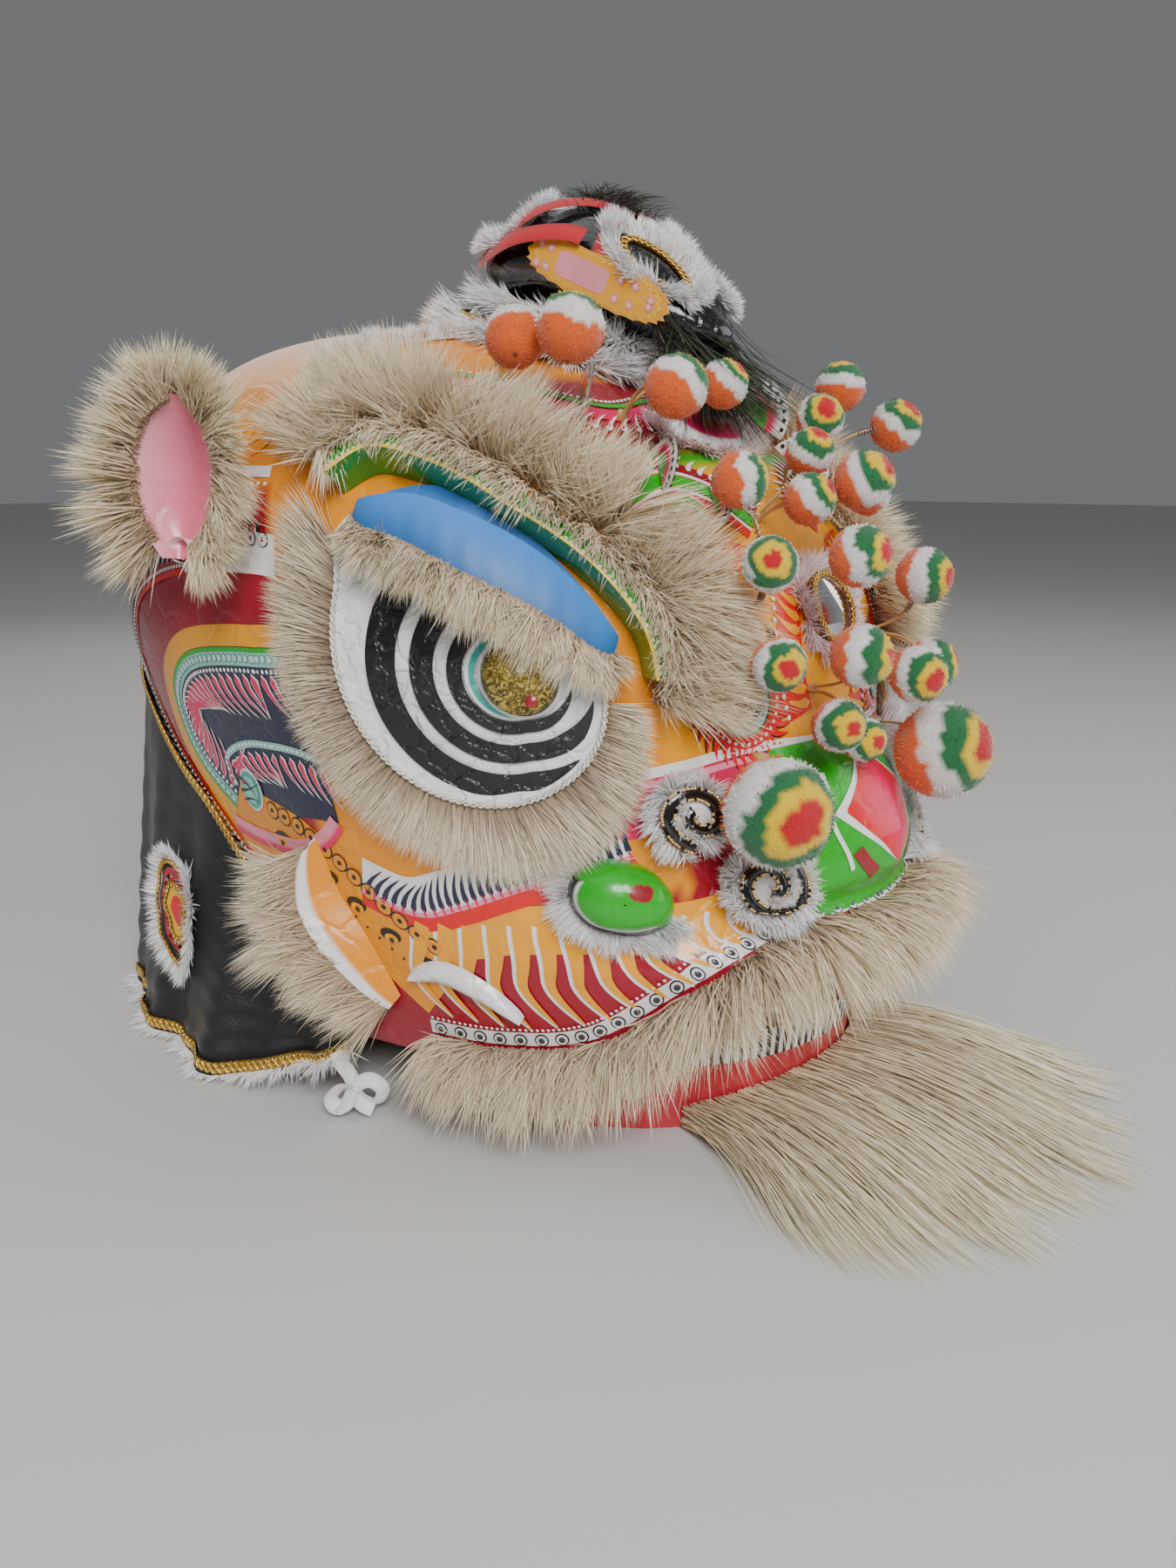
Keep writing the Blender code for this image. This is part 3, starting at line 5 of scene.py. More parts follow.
import bpy
import numpy as np
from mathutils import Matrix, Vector


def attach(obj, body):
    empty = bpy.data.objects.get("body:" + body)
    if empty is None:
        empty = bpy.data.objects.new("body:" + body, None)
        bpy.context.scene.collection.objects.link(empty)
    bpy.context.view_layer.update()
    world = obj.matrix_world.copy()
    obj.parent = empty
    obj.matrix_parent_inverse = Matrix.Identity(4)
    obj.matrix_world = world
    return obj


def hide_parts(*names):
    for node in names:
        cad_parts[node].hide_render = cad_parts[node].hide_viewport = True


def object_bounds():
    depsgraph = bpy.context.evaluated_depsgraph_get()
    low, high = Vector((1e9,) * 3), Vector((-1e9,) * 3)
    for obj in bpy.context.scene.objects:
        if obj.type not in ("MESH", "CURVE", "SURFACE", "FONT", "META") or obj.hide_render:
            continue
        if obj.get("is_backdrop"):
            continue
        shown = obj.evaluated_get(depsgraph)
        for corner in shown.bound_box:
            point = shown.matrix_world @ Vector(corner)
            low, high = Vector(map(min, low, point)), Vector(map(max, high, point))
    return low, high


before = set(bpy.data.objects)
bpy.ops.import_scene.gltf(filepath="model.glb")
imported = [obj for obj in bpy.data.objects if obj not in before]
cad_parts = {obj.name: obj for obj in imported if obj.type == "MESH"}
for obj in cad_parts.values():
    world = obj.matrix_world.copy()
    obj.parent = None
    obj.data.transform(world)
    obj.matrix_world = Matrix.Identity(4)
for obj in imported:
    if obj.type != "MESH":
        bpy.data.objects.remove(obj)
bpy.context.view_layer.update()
bpy.ops.object.select_all(action="DESELECT")

# Studio
# The head stands on a plain pale floor under large soft lamps, seen from its right front at the
# height of a person who kneels before it.
bpy.ops.mesh.primitive_plane_add(size=30, location=(0, 0, -0.0005))
floor = bpy.context.object
floor.name = "studio_floor"
pale = bpy.data.materials.new("pale_floor")
pale.use_nodes = True
pale.node_tree.nodes["Principled BSDF"].inputs["Base Color"].default_value = (0.62, 0.61, 0.59, 1)
pale.node_tree.nodes["Principled BSDF"].inputs["Roughness"].default_value = 0.8
floor.data.materials.append(pale)
floor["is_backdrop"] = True

world = bpy.data.worlds.new("soft_room")
bpy.context.scene.world = world
world.use_nodes = True
world.node_tree.nodes["Background"].inputs["Color"].default_value = (0.86, 0.87, 0.9, 1)
world.node_tree.nodes["Background"].inputs["Strength"].default_value = 0.20

for lamp_name, place, power, size in [
    ("key_lamp", (-1.7, -2.0, 2.0), 98, 1.2),
    ("fill_lamp", (1.6, -2.0, 1.2), 20, 1.8),
    ("top_lamp", (-0.4, 0.5, 2.6), 16, 2.4),
    ("rear_lamp", (1.2, 2.0, 1.5), 6, 1.4),
]:
    lamp = bpy.data.lights.new(lamp_name, "AREA")
    lamp.energy = power
    lamp.size = size
    holder = bpy.data.objects.new(lamp_name, lamp)
    holder.location = place
    holder.rotation_euler = (Vector((0, 0, 0.3)) - Vector(place)).to_track_quat("-Z", "Y").to_euler()
    bpy.context.scene.collection.objects.link(holder)

camera_data = bpy.data.cameras.new("photo_camera")
camera_data.lens = 27
camera_data.sensor_width = 36
camera_data.clip_start = 0.02
camera = bpy.data.objects.new("photo_camera", camera_data)
camera.location = (-0.6894, -0.5636, 0.43)
camera.rotation_euler = Vector((0.7399, 0.6209, -0.2588)).to_track_quat("-Z", "Y").to_euler()
bpy.context.scene.collection.objects.link(camera)
bpy.context.scene.camera = camera
CAMERA_RIGHT = np.array([0.6428, -0.7660, 0.0])
CAMERA_UP = np.array([0.1983, 0.1664, 0.9659])
CAMERA_TOWARD = np.array([-0.7399, -0.6209, 0.2588])

# Shell
# One hollow wall of paper pasted over split bamboo, lacquered inside and out. Its skin runs
# through measured sections; a place on it is a turn from the front and a share of its height.
SHELL_HEIGHT = 0.535
SHELL_WIDTH = 0.524
SHELL_DEPTH = 0.644
SHELL_WALL = 0.003
SHELL_FORWARD = 0.014865
REAR_SQUARENESS = 2.7
HEIGHTS = (0.0, 0.110, 0.243, 0.310, 0.465, 0.617, 0.748, 0.850, 0.935, 0.981, 1.0)
FRONTS = (-0.372, -0.404, -0.424, -0.380, -0.334, -0.318, -0.252, -0.163, -0.045, 0.080, 0.235)
HALVES = (0.390, 0.424, 0.450, 0.462, 0.484, 0.500, 0.487, 0.430, 0.312, 0.185, 0.010)
REARS = (0.236, 0.320, 0.419, 0.466, 0.540, 0.576, 0.576, 0.545, 0.480, 0.400, 0.270)
WIDEST = (0.060, 0.062, 0.066, 0.070, 0.078, 0.085, 0.100, 0.125, 0.165, 0.225, 0.252)
RIM = [(0, 0.262), (20, 0.262), (36, 0.215), (50, 0.130), (62, 0.105), (77, 0.100), (87, 0.090), (95, 0.0),
       (113, 0.0), (123, 0.240), (135, 0.400), (155, 0.510), (180, 0.560)]
ORANGE = (0.88, 0.30, 0.004)
AMBER = (0.93, 0.38, 0.006)
CRIMSON = (0.36, 0.002, 0.020)
SCARLET = (0.76, 0.008, 0.008)
ROSE = (0.80, 0.012, 0.11)
PINK = (0.90, 0.28, 0.38)
WHITE = (0.87, 0.86, 0.86)
CREAM = (0.84, 0.80, 0.72)
BLACK = (0.006, 0.006, 0.008)
NAVY = (0.012, 0.014, 0.05)
GREEN = (0.010, 0.40, 0.012)
TEAL = (0.28, 0.62, 0.54)
MAROON = (0.30, 0.01, 0.02)
CORNERS = (0.0, 1.57, 3.14, 4.71)
rng = np.random.default_rng(11)


def smooth_through(keys, values, at):
    """Curve through a table with no overshoot between its rows."""
    keys, values = np.array(keys, float), np.array(values, float)
    steps = np.diff(values) / np.diff(keys)
    slopes = np.concatenate([steps[:1], np.zeros(len(steps) - 1), steps[-1:]])
    for i in range(1, len(keys) - 1):
        before, after = steps[i - 1], steps[i]
        slopes[i] = 0 if before * after <= 0 else 2 * before * after / (before + after)
    at = np.clip(at, keys[0], keys[-1])
    i = np.clip(np.searchsorted(keys, at, side="right") - 1, 0, len(keys) - 2)
    span = keys[i + 1] - keys[i]
    t = (at - keys[i]) / span
    bend = slopes[i] * (t**3 - 2 * t * t + t) + slopes[i + 1] * (t**3 - t * t)
    return values[i] + (values[i + 1] - values[i]) * (3 * t * t - 2 * t**3) + span * bend


fine = np.linspace(0, 1, 2001)
front_line, half_line, rear_line, widest_line = (
    smooth_through(HEIGHTS, column, fine) for column in (FRONTS, HALVES, REARS, WIDEST)
)


def skin(turn, share):
    turn, share = np.broadcast_arrays(np.asarray(turn, float), np.asarray(share, float))
    share = np.clip(share, 0, 1)
    front = np.interp(share, fine, front_line) * SHELL_DEPTH
    half = np.interp(share, fine, half_line) * SHELL_WIDTH
    rear = np.interp(share, fine, rear_line) * SHELL_DEPTH
    widest = np.interp(share, fine, widest_line) * SHELL_DEPTH
    sine, cosine = np.sin(np.radians(turn)), np.cos(np.radians(turn))
    power = 2 / REAR_SQUARENESS
    behind = cosine < 0
    x = half * np.where(behind, np.sign(sine) * np.abs(sine) ** power, sine)
    reach = np.where(behind, (rear - widest) * np.abs(cosine) ** power, -(widest - front) * cosine)
    return np.stack([x, widest + reach + SHELL_FORWARD, share * SHELL_HEIGHT], -1)


def unit(v):
    return v / (np.linalg.norm(v, axis=-1, keepdims=True) + 1e-12)


def circle(count):
    """Evenly spaced angles of a ring of points."""
    return np.linspace(0, 2 * np.pi, count, endpoint=False)


def wheel(count):
    """Triangles from a ring of points to the middle point that follows them."""
    return [(k, (k + 1) % count, count) for k in range(count)]


def points_at(at, keys, line):
    """Points of a line of points, read at places between its keys."""
    return np.stack([np.interp(at, keys, line[:, k]) for k in range(3)], -1)


def skin_frame(turn, share):
    """Ways around the skin, up it and out of it."""
    share = np.clip(share, 0.004, 0.985)
    around = unit(skin(turn + 0.5, share) - skin(turn - 0.5, share))
    rising = skin(turn, share + 0.004) - skin(turn, share - 0.004)
    out = unit(np.cross(around, rising))
    return around, np.cross(out, around), out


def scales(turn, share):
    """Metres along the skin for one degree, and for one whole share."""
    share = np.clip(share, 0.0, 0.985)
    per_degree = np.linalg.norm(skin(turn + 0.5, share) - skin(turn - 0.5, share), axis=-1)
    return per_degree + 1e-6, np.linalg.norm(skin(turn, share + 0.01) - skin(turn, share), axis=-1) / 0.01


def beside(turn, share, along, upward, stand=0.0):
    per_degree, per_share = scales(turn, share)
    turn, share = turn + along / per_degree, np.clip(share + upward / per_share, 0, 0.995)
    return skin(turn, share) + skin_frame(turn, share)[2] * np.asarray(stand)[..., None]


def curve(points, count):
    """Smooth curve through a route's points."""
    points = np.asarray(points, float)
    last = len(points) - 1
    place = np.linspace(0, last, count)
    start = np.minimum(place.astype(int), last - 1)
    t = (place - start)[:, None]
    before, near, far, after = (points[np.clip(start + k, 0, last)] for k in (-1, 0, 1, 2))
    blend = near * (2 * t**3 - 3 * t * t + 1) + far * (3 * t * t - 2 * t**3)
    return blend + (far - before) / 2 * (t**3 - 2 * t * t + t) + (after - near) / 2 * (t**3 - t * t)


class Layer:
    """Coloured triangles that will make one piece."""

    def __init__(self):
        self.points, self.faces, self.colours, self.count = [], [], [], 0

    def add(self, points, faces, colour, outs=None):
        points = np.asarray(points, float).reshape(-1, 3)
        faces = np.asarray(faces, int).reshape(-1, 3)
        colour = np.asarray(colour, float)
        colour = np.broadcast_to(colour, (len(points), 3)) if colour.ndim == 1 else colour.reshape(-1, 3)
        if outs is not None:
            a, b, c = (points[faces[:, k]] for k in range(3))
            wrong = np.einsum("ij,ij->i", np.cross(b - a, c - a),
                              np.asarray(outs).reshape(-1, 3)[faces[:, 0]]) < 0
            faces = np.where(wrong[:, None], faces[:, ::-1], faces)
        self.points.append(points)
        self.faces.append(faces + self.count)
        self.colours.append(colour)
        self.count += len(points)
        return self

    def whole(self):
        """All points, faces and colours added so far."""
        return np.concatenate(self.points), np.concatenate(self.faces), np.concatenate(self.colours)

    def left(self):
        """Mirror image, on the lion's left."""
        points, faces, colours = self.whole()
        return Layer().add(points * (-1, 1, 1), faces[:, ::-1], colours)

    def both_sides(self):
        """Adds the mirror image."""
        return self.add(*self.left().whole())


def net(rows, columns, closed=False):
    """Triangles of a grid of points, row by row."""
    i = np.arange(rows - 1)[:, None] * columns
    j = np.arange(columns if closed else columns - 1)[None]
    a, b = i + j, i + (j + 1) % columns
    return np.stack([np.stack([a, b, b + columns], -1), np.stack([a, b + columns, a + columns], -1)],
                    2).reshape(-1, 3)


def piece(name, layer, finish, body="head", stands_for=()):
    """Makes one piece of the dressed head from its layer, riding on its body."""
    points, faces, colours = layer.whole()
    mesh = bpy.data.meshes.new(name)
    mesh.vertices.add(len(points))
    mesh.vertices.foreach_set("co", points.astype(np.float32).ravel())
    mesh.loops.add(len(faces) * 3)
    mesh.loops.foreach_set("vertex_index", faces.astype(np.int32).ravel())
    mesh.polygons.add(len(faces))
    mesh.polygons.foreach_set("loop_start", np.arange(0, len(faces) * 3, 3, dtype=np.int32))
    mesh.polygons.foreach_set("use_smooth", np.full(len(faces), True))
    mesh.update(calc_edges=True)
    mesh.validate()
    tint = mesh.color_attributes.new("tint", "FLOAT_COLOR", "POINT")
    tint.data.foreach_set("color",
                          np.concatenate([colours, np.ones((len(points), 1))], 1).astype(np.float32).ravel())
    mesh.materials.append(finish)
    thing = bpy.data.objects.new(name, mesh)
    bpy.context.scene.collection.objects.link(thing)
    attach(thing, body)
    if stands_for:
        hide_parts(*stands_for)
    return thing


def each_side(*rows):
    """Makes pieces on the lion's right, then their mirror images; SIDE in a name is the side's name."""
    for side_name in ("right", "left"):
        for name, layer, finish, body, slot, *stands_for in rows:
            made = layer if side_name == "right" else layer.left()
            replaced = [node_name.replace("SIDE", side_name) for node_name in stands_for]
            piece(name.replace("SIDE", side_name), made, finish, body.replace("SIDE", side_name),
                  replaced)


def surface(name, rough, mottle=0.10, grain=60.0, relief=0.15, depth=0.0006, coat=0.0, sheen=0.0, metal=0.0,
            crease=0.0, fixed=None, fine_grain=0.0):
    """Finish whose colour is the piece's own tint, mottled, with creases or grain in its relief."""
    made = bpy.data.materials.new(name)
    made.use_nodes = True
    tree = made.node_tree
    shader = tree.nodes["Principled BSDF"]
    shader.inputs["Metallic"].default_value = metal
    shader.inputs["Coat Weight"].default_value = coat
    shader.inputs["Coat Roughness"].default_value = 0.09
    shader.inputs["Sheen Weight"].default_value = sheen
    place = tree.nodes.new("ShaderNodeTexCoord")
    cloud = tree.nodes.new("ShaderNodeTexNoise")
    cloud.inputs["Scale"].default_value = grain
    cloud.inputs["Detail"].default_value = 5.0
    tree.links.new(place.outputs["Object"], cloud.inputs["Vector"])
    ramp = tree.nodes.new("ShaderNodeMapRange")
    ramp.inputs["To Min"].default_value = 1.0 - mottle * 1.6
    ramp.inputs["To Max"].default_value = 1.0 + mottle
    tree.links.new(cloud.outputs["Fac"], ramp.inputs["Value"])
    mix = tree.nodes.new("ShaderNodeMix")
    mix.data_type = "RGBA"
    mix.blend_type = "MULTIPLY"
    mix.inputs["Factor"].default_value = 1.0
    if fixed is None:
        tint = tree.nodes.new("ShaderNodeVertexColor")
        tint.layer_name = "tint"
        tree.links.new(tint.outputs["Color"], mix.inputs["A"])
    else:
        mix.inputs["A"].default_value = (*fixed, 1)
    tree.links.new(ramp.outputs["Result"], mix.inputs["B"])
    tree.links.new(mix.outputs["Result"], shader.inputs["Base Color"])
    gloss = tree.nodes.new("ShaderNodeMapRange")
    gloss.inputs["To Min"].default_value = max(rough - 0.10, 0.03)
    gloss.inputs["To Max"].default_value = min(rough + 0.12, 1.0)
    tree.links.new(cloud.outputs["Fac"], gloss.inputs["Value"])
    tree.links.new(gloss.outputs["Result"], shader.inputs["Roughness"])
    height = cloud.outputs["Fac"]
    if crease:
        folds = tree.nodes.new("ShaderNodeTexVoronoi")
        folds.feature = "DISTANCE_TO_EDGE"
        folds.inputs["Scale"].default_value = crease
        warp = tree.nodes.new("ShaderNodeVectorMath")
        warp.operation = "MULTIPLY_ADD"
        warp.inputs[1].default_value = (0.035, 0.035, 0.035)
        tree.links.new(cloud.outputs["Color"], warp.inputs[0])
        tree.links.new(place.outputs["Object"], warp.inputs[2])
        tree.links.new(warp.outputs["Vector"], folds.inputs["Vector"])
        soft = tree.nodes.new("ShaderNodeMapRange")
        soft.inputs["From Max"].default_value = 0.12
        tree.links.new(folds.outputs["Distance"], soft.inputs["Value"])
        both = tree.nodes.new("ShaderNodeMath")
        both.operation = "MULTIPLY_ADD"
        both.inputs[1].default_value = 0.45
        tree.links.new(soft.outputs["Result"], both.inputs[0])
        tree.links.new(cloud.outputs["Fac"], both.inputs[2])
        height = both.outputs["Value"]
    if fine_grain:
        pile = tree.nodes.new("ShaderNodeTexNoise")
        pile.inputs["Scale"].default_value = fine_grain
        tree.links.new(place.outputs["Object"], pile.inputs["Vector"])
        both = tree.nodes.new("ShaderNodeMath")
        both.operation = "ADD"
        tree.links.new(pile.outputs["Fac"], both.inputs[0])
        tree.links.new(height, both.inputs[1])
        height = both.outputs["Value"]
    bump = tree.nodes.new("ShaderNodeBump")
    bump.inputs["Strength"].default_value = relief
    bump.inputs["Distance"].default_value = depth
    tree.links.new(height, bump.inputs["Height"])
    tree.links.new(bump.outputs["Normal"], shader.inputs["Normal"])
    return made


lacquer = surface("painted_lacquer", 0.28, 0.10, 26.0, 0.55, 0.0016, coat=0.35, crease=34.0)


def rim_share(turn):
    turn = np.abs((np.asarray(turn) + 180) % 360 - 180)
    return smooth_through(*zip(*RIM), turn)


def ground_tint(turn, share):
    """Ground colour of the painted shell before its patterns."""
    side = np.abs((turn + 180) % 360 - 180)
    tint = np.empty(side.shape + (3,))
    tint[:] = CRIMSON
    tint[(side < 32) & (share > 0.47)] = AMBER
    tint[(share > 0.80) & (side < 60)] = MAROON
    tint[(share > 0.905)] = ORANGE
    tint[(side < 30) & (share > 0.80) & (share < 0.83)] = GREEN
    tint[(side >= 32) & (side < 84) & (share > 0.34) & (share < 0.90)] = ORANGE
    tint[(side >= 84) & (share > 0.78)] = ORANGE
    return tint


ring_turns = -180 + 360 * (np.arange(180) + 0.5) / 180
rows_up = (1 - np.cos(np.pi * np.linspace(0, 1, 61))) / 2
low_edge = rim_share(ring_turns)
share_grid = low_edge[None] + (0.9995 - low_edge[None]) * rows_up[:, None]
turn_grid = np.broadcast_to(ring_turns, share_grid.shape)
outer = skin(turn_grid, share_grid)
outs = skin_frame(turn_grid, share_grid)[2]
inner = outer - outs * SHELL_WALL
inner[0, :, 2] = outer[0, :, 2]
shell = Layer()
shell.add(outer, net(61, 180, True), ground_tint(turn_grid, share_grid), outs)
shell.add(inner, net(61, 180, True), (0.50, 0.36, 0.20), -outs)
edge = np.stack([outer[0], inner[0]])
shell.add(edge, net(2, 180, True), CREAM, np.broadcast_to((0, 0, -1.0), edge.shape))
piece("shell_skin", shell, lacquer, stands_for=("shell",))


def strip(route, width, stand=0.0006, across=2, shift=0.0, crown=0.0, count=0):
    """Band of paint or trim along a route over the skin; width and shift may change along it."""
    rough_line = skin(*curve(route, 24).T)
    length = np.linalg.norm(np.diff(rough_line, axis=0), axis=1).sum()
    count = count or int(np.clip(length / 0.004, 6, 160))
    t = np.linspace(0, 1, count)
    turn, share = curve(route, count).T
    per_degree, per_share = scales(turn, share)
    run, rise = np.gradient(turn) * per_degree, np.gradient(share) * per_share
    size = np.hypot(run, rise) + 1e-9
    wide = width(t) if callable(width) else np.full(count, width)
    move = shift(t) if callable(shift) else np.full(count, shift)
    s = np.linspace(-1, 1, across + 1)
    off = move[:, None] + s[None] * wide[:, None] / 2
    turns = turn[:, None] - (rise / size / per_degree)[:, None] * off
    shares = share[:, None] + (run / size / per_share)[:, None] * off
    lift = stand(turns, shares) if callable(stand) else stand
    out = skin_frame(turns, shares)[2]
    points = skin(turns, shares) + out * (lift + crown * (1 - s[None] ** 2))[..., None]
    return points, net(count, across + 1), out, t, s


def lay(layer, route, width, colour, stand=0.0006, across=2, shift=0.0, crown=0.0, count=0):
    points, faces, out, t, s = strip(route, width, stand, across, shift, crown, count)
    if callable(colour):
        colour = np.array([[colour(a, b) for b in s] for a in t])
    layer.add(points, faces, colour, out)


def dot(layer, turn, share, radius, colour, stand=0.0010, tall=0.0, sides=10, stretch=1.0):
    angle = circle(sides)
    ring = beside(turn, share, np.cos(angle) * radius * stretch, np.sin(angle) * radius,
                  np.full(sides, stand))
    top = beside(turn, share, 0.0, 0.0, stand + tall)
    faces = wheel(sides)
    out = np.broadcast_to(skin_frame(turn, share)[2], (sides + 1, 3))
    layer.add(np.vstack([ring, top[None]]), faces, colour, out)


def taper(width, start=0.0, power=1.0):
    """Width that fades to a point at the end of a stroke."""
    return lambda t: width * (start + (1 - start) * np.minimum(t * 6, 1.0)) * (1 - t) ** power


def steps_along(route, spacing, shift=0.0):
    """Evenly spaced places along a route, moved across it, with the way of travel at each."""
    turn, share = curve(route, 400).T
    per_degree, per_share = scales(turn, share)
    run, rise = np.gradient(turn) * per_degree, np.gradient(share) * per_share
    size = np.hypot(run, rise) + 1e-9
    gone = np.concatenate([[0], np.cumsum(size[:-1])])
    at = np.arange(spacing / 2, gone[-1], spacing)
    pick = lambda values: np.interp(at, gone, values)
    along, up = pick(run / size), pick(rise / size)
    turns = pick(turn) - up * shift / pick(per_degree)
    return turns, pick(share) + along * shift / pick(per_share), along, up


def beads(layer, route, spacing, radius, colour, shift=0.0, stand=0.0009, tall=0.0009):
    for turn, share, _, _ in zip(*steps_along(route, spacing, shift)):
        dot(layer, turn, share, radius, colour, stand, tall, 8)


def comb(layer, route, spacing, reach, width, colour, shift=0.0, lean=0.0, stand=0.0010, hook=0.0):
    """Row of tapering strokes that stand across a route, each bent over at its tip."""
    for turn, share, along, up in zip(*steps_along(route, spacing, shift)):
        per_degree, per_share = scales(turn, share)
        stroke = []
        for t in (0.0, 0.5, 1.0):
            a = reach * (t * lean + t * t * hook)
            b = reach * t
            da, db = along * a - up * b, up * a + along * b
            stroke.append((turn + da / per_degree, share + db / per_share))
        lay(layer, stroke, taper(width), colour, stand, 1, count=6)


# Painted patterns
# Brush work in gloss paint: flame tongues over the lip, comb strokes and dotted lines along every
# band, scale spirals on the bridge, and the cheek's orange field. Both sides are mirror images.
paint = Layer()
LIP_LINE = [(-73, 0.122), (-62, 0.126), (-50, 0.150), (-36, 0.232), (-20, 0.276), (0, 0.276)]
lay(paint, [(-80, 0.30), (-70, 0.275), (-60, 0.292), (-50, 0.30), (-40, 0.30), (-30, 0.305), (-18, 0.325)],
    0.032,
    AMBER, 0.0005, 4)
for k in range(17):
    u = k / 16
    turn = -71 + 54 * u
    top = 0.285 + 0.03 * u
    low = float(np.interp(turn, [-73, -62, -50, -36, -20, 0], [0.165, 0.165, 0.188, 0.262, 0.296, 0.296]))
    bow = 2.6 * (1 - u) + 0.4
    tongue = [(turn, top + 0.004), (turn - bow, top * 0.45 + low * 0.55), (turn + 1.4 + 2.2 * u, low)]
    lay(paint, tongue, taper(0.0150, 0.8, 0.8), WHITE, 0.0007, 2)
    lay(paint, tongue, taper(0.0116, 0.8, 0.85), AMBER, 0.0011, 2, shift=0.0015)
lay(paint, LIP_LINE, 0.010, WHITE, 0.0007, 3, shift=0.0135)
beads(paint, LIP_LINE, 0.0040, 0.0011, WHITE, 0.0205)
for turn, share, _, _ in zip(*steps_along(LIP_LINE, 0.0145, 0.013)):
    dot(paint, turn, share, 0.0048, BLACK, 0.0010, 0.0)
    dot(paint, turn, share, 0.0038, WHITE, 0.0013, 0.0)
    dot(paint, turn, share, 0.0022, (0.05, 0.05, 0.06), 0.0016, 0.0008)
LASH_BAND = [(-78, 0.335), (-71, 0.318), (-65, 0.332), (-59.5, 0.350), (-54, 0.366), (-47, 0.378),
             (-40, 0.40)]
lay(paint, LASH_BAND, 0.026, WHITE, 0.0006, 4, shift=0.002)
lay(paint, LASH_BAND, 0.010, SCARLET, 0.0009, 2, shift=-0.016)
lay(paint, LASH_BAND, 0.003, PINK, 0.0011, 2, shift=-0.0105)
comb(paint, LASH_BAND, 0.0064, 0.023, 0.0052, NAVY, -0.010, 0.1, 0.0011, 0.45)
comb(paint, LASH_BAND, 0.0064, 0.006, 0.0030, ROSE, -0.012, 0.0, 0.0012, 0.2)
lay(paint, [(-104, 0.40), (-96, 0.372), (-89, 0.345), (-82, 0.30), (-76, 0.25), (-70, 0.205)], 0.056, ORANGE,
    0.0005, 8)
CHEEK_LINE = [(-92, 0.39), (-86, 0.365), (-81, 0.335), (-75, 0.285), (-70, 0.25)]
for turn, share, _, _ in zip(*steps_along(CHEEK_LINE, 0.0125, 0.004)):
    dot(paint, turn, share, 0.0066, BLACK, 0.0009, 0.0)
    dot(paint, turn, share, 0.0054, ORANGE, 0.0011, 0.0)
    dot(paint, turn, share, 0.0018, BLACK, 0.0013, 0.0)
for turn, share, along, up in zip(*steps_along(CHEEK_LINE, 0.026, -0.014)):
    dot(paint, turn, share, 0.0052, BLACK, 0.0009, 0.0, 14, 1.6)
    dot(paint, turn, share - 0.004, 0.0036, AMBER, 0.0012, 0.0, 12, 1.5)
    dot(paint, turn, share - 0.006, 0.0020, BLACK, 0.0015, 0.0)
beads(paint, CHEEK_LINE, 0.009, 0.0010, BLACK, -0.024)
REAR_LINE = [(-86, 0.715), (-95, 0.712), (-106, 0.690), (-116, 0.645), (-121, 0.575), (-120, 0.50),
             (-114, 0.425),
             (-106, 0.365), (-99, 0.30)]
lay(paint, REAR_LINE, 0.022, BLACK, 0.0005, 4, shift=-0.006)
comb(paint, REAR_LINE, 0.0080, 0.024, 0.0062, WHITE, -0.016, 0.1, 0.0009, 0.5)
comb(paint, REAR_LINE, 0.0080, 0.010, 0.0036, SCARLET, -0.017, 0.15, 0.0012, 0.3)
beads(paint, REAR_LINE, 0.0042, 0.0014, CREAM, 0.010)
lay(paint, REAR_LINE, 0.004, SCARLET, 0.0006, 2, shift=0.014)
INNER_LINE = [(-82, 0.612), (-91, 0.606), (-100, 0.585), (-106, 0.535), (-107, 0.475), (-104, 0.420),
              (-98, 0.375)][::-1]
lay(paint, [(-81, 0.520), (-90, 0.515), (-98, 0.490), (-100, 0.450), (-96, 0.410), (-90, 0.385)], 0.052, NAVY,
    0.0004, 8)
lay(paint, [(-80, 0.455), (-88, 0.450), (-92, 0.425)], 0.060, NAVY, 0.00045, 8)
lay(paint, INNER_LINE, 0.014, AMBER, 0.0006, 4, shift=0.004)
lay(paint, INNER_LINE, 0.003, GREEN, 0.0009, 2, shift=-0.005)
lay(paint, INNER_LINE, 0.030, NAVY, 0.0006, 6, shift=-0.026)
lay(paint, INNER_LINE, 0.010, TEAL, 0.0008, 3, shift=-0.0105)
for turn, share, _, _ in zip(*steps_along(INNER_LINE, 0.0062, -0.0105)):
    dot(paint, turn, share, 0.0030, (0.06, 0.30, 0.26), 0.0010, 0.0)
    dot(paint, turn, share, 0.0023, (0.62, 0.82, 0.78), 0.0012, 0.0)
beads(paint, INNER_LINE, 0.0048, 0.0015, WHITE, -0.0185)
comb(paint, INNER_LINE, 0.0100, -0.030, 0.0082, WHITE, -0.020, -0.1, 0.0009, -0.6)
comb(paint, INNER_LINE, 0.0100, -0.026, 0.0054, ROSE, -0.021, -0.1, 0.0012, -0.6)
CORE_LINE = [(-96, 0.415), (-96.5, 0.450), (-92, 0.478), (-86, 0.482), (-80, 0.474)]
lay(paint, CORE_LINE, 0.005, TEAL, 0.0009, 2)
beads(paint, CORE_LINE, 0.0046, 0.0013, WHITE, 0.0, 0.0011)
comb(paint, CORE_LINE, 0.0095, -0.024, 0.0078, WHITE, -0.005, -0.1, 0.0009, -0.6)
comb(paint, CORE_LINE, 0.0095, -0.020, 0.0050, ROSE, -0.006, -0.1, 0.0012, -0.6)
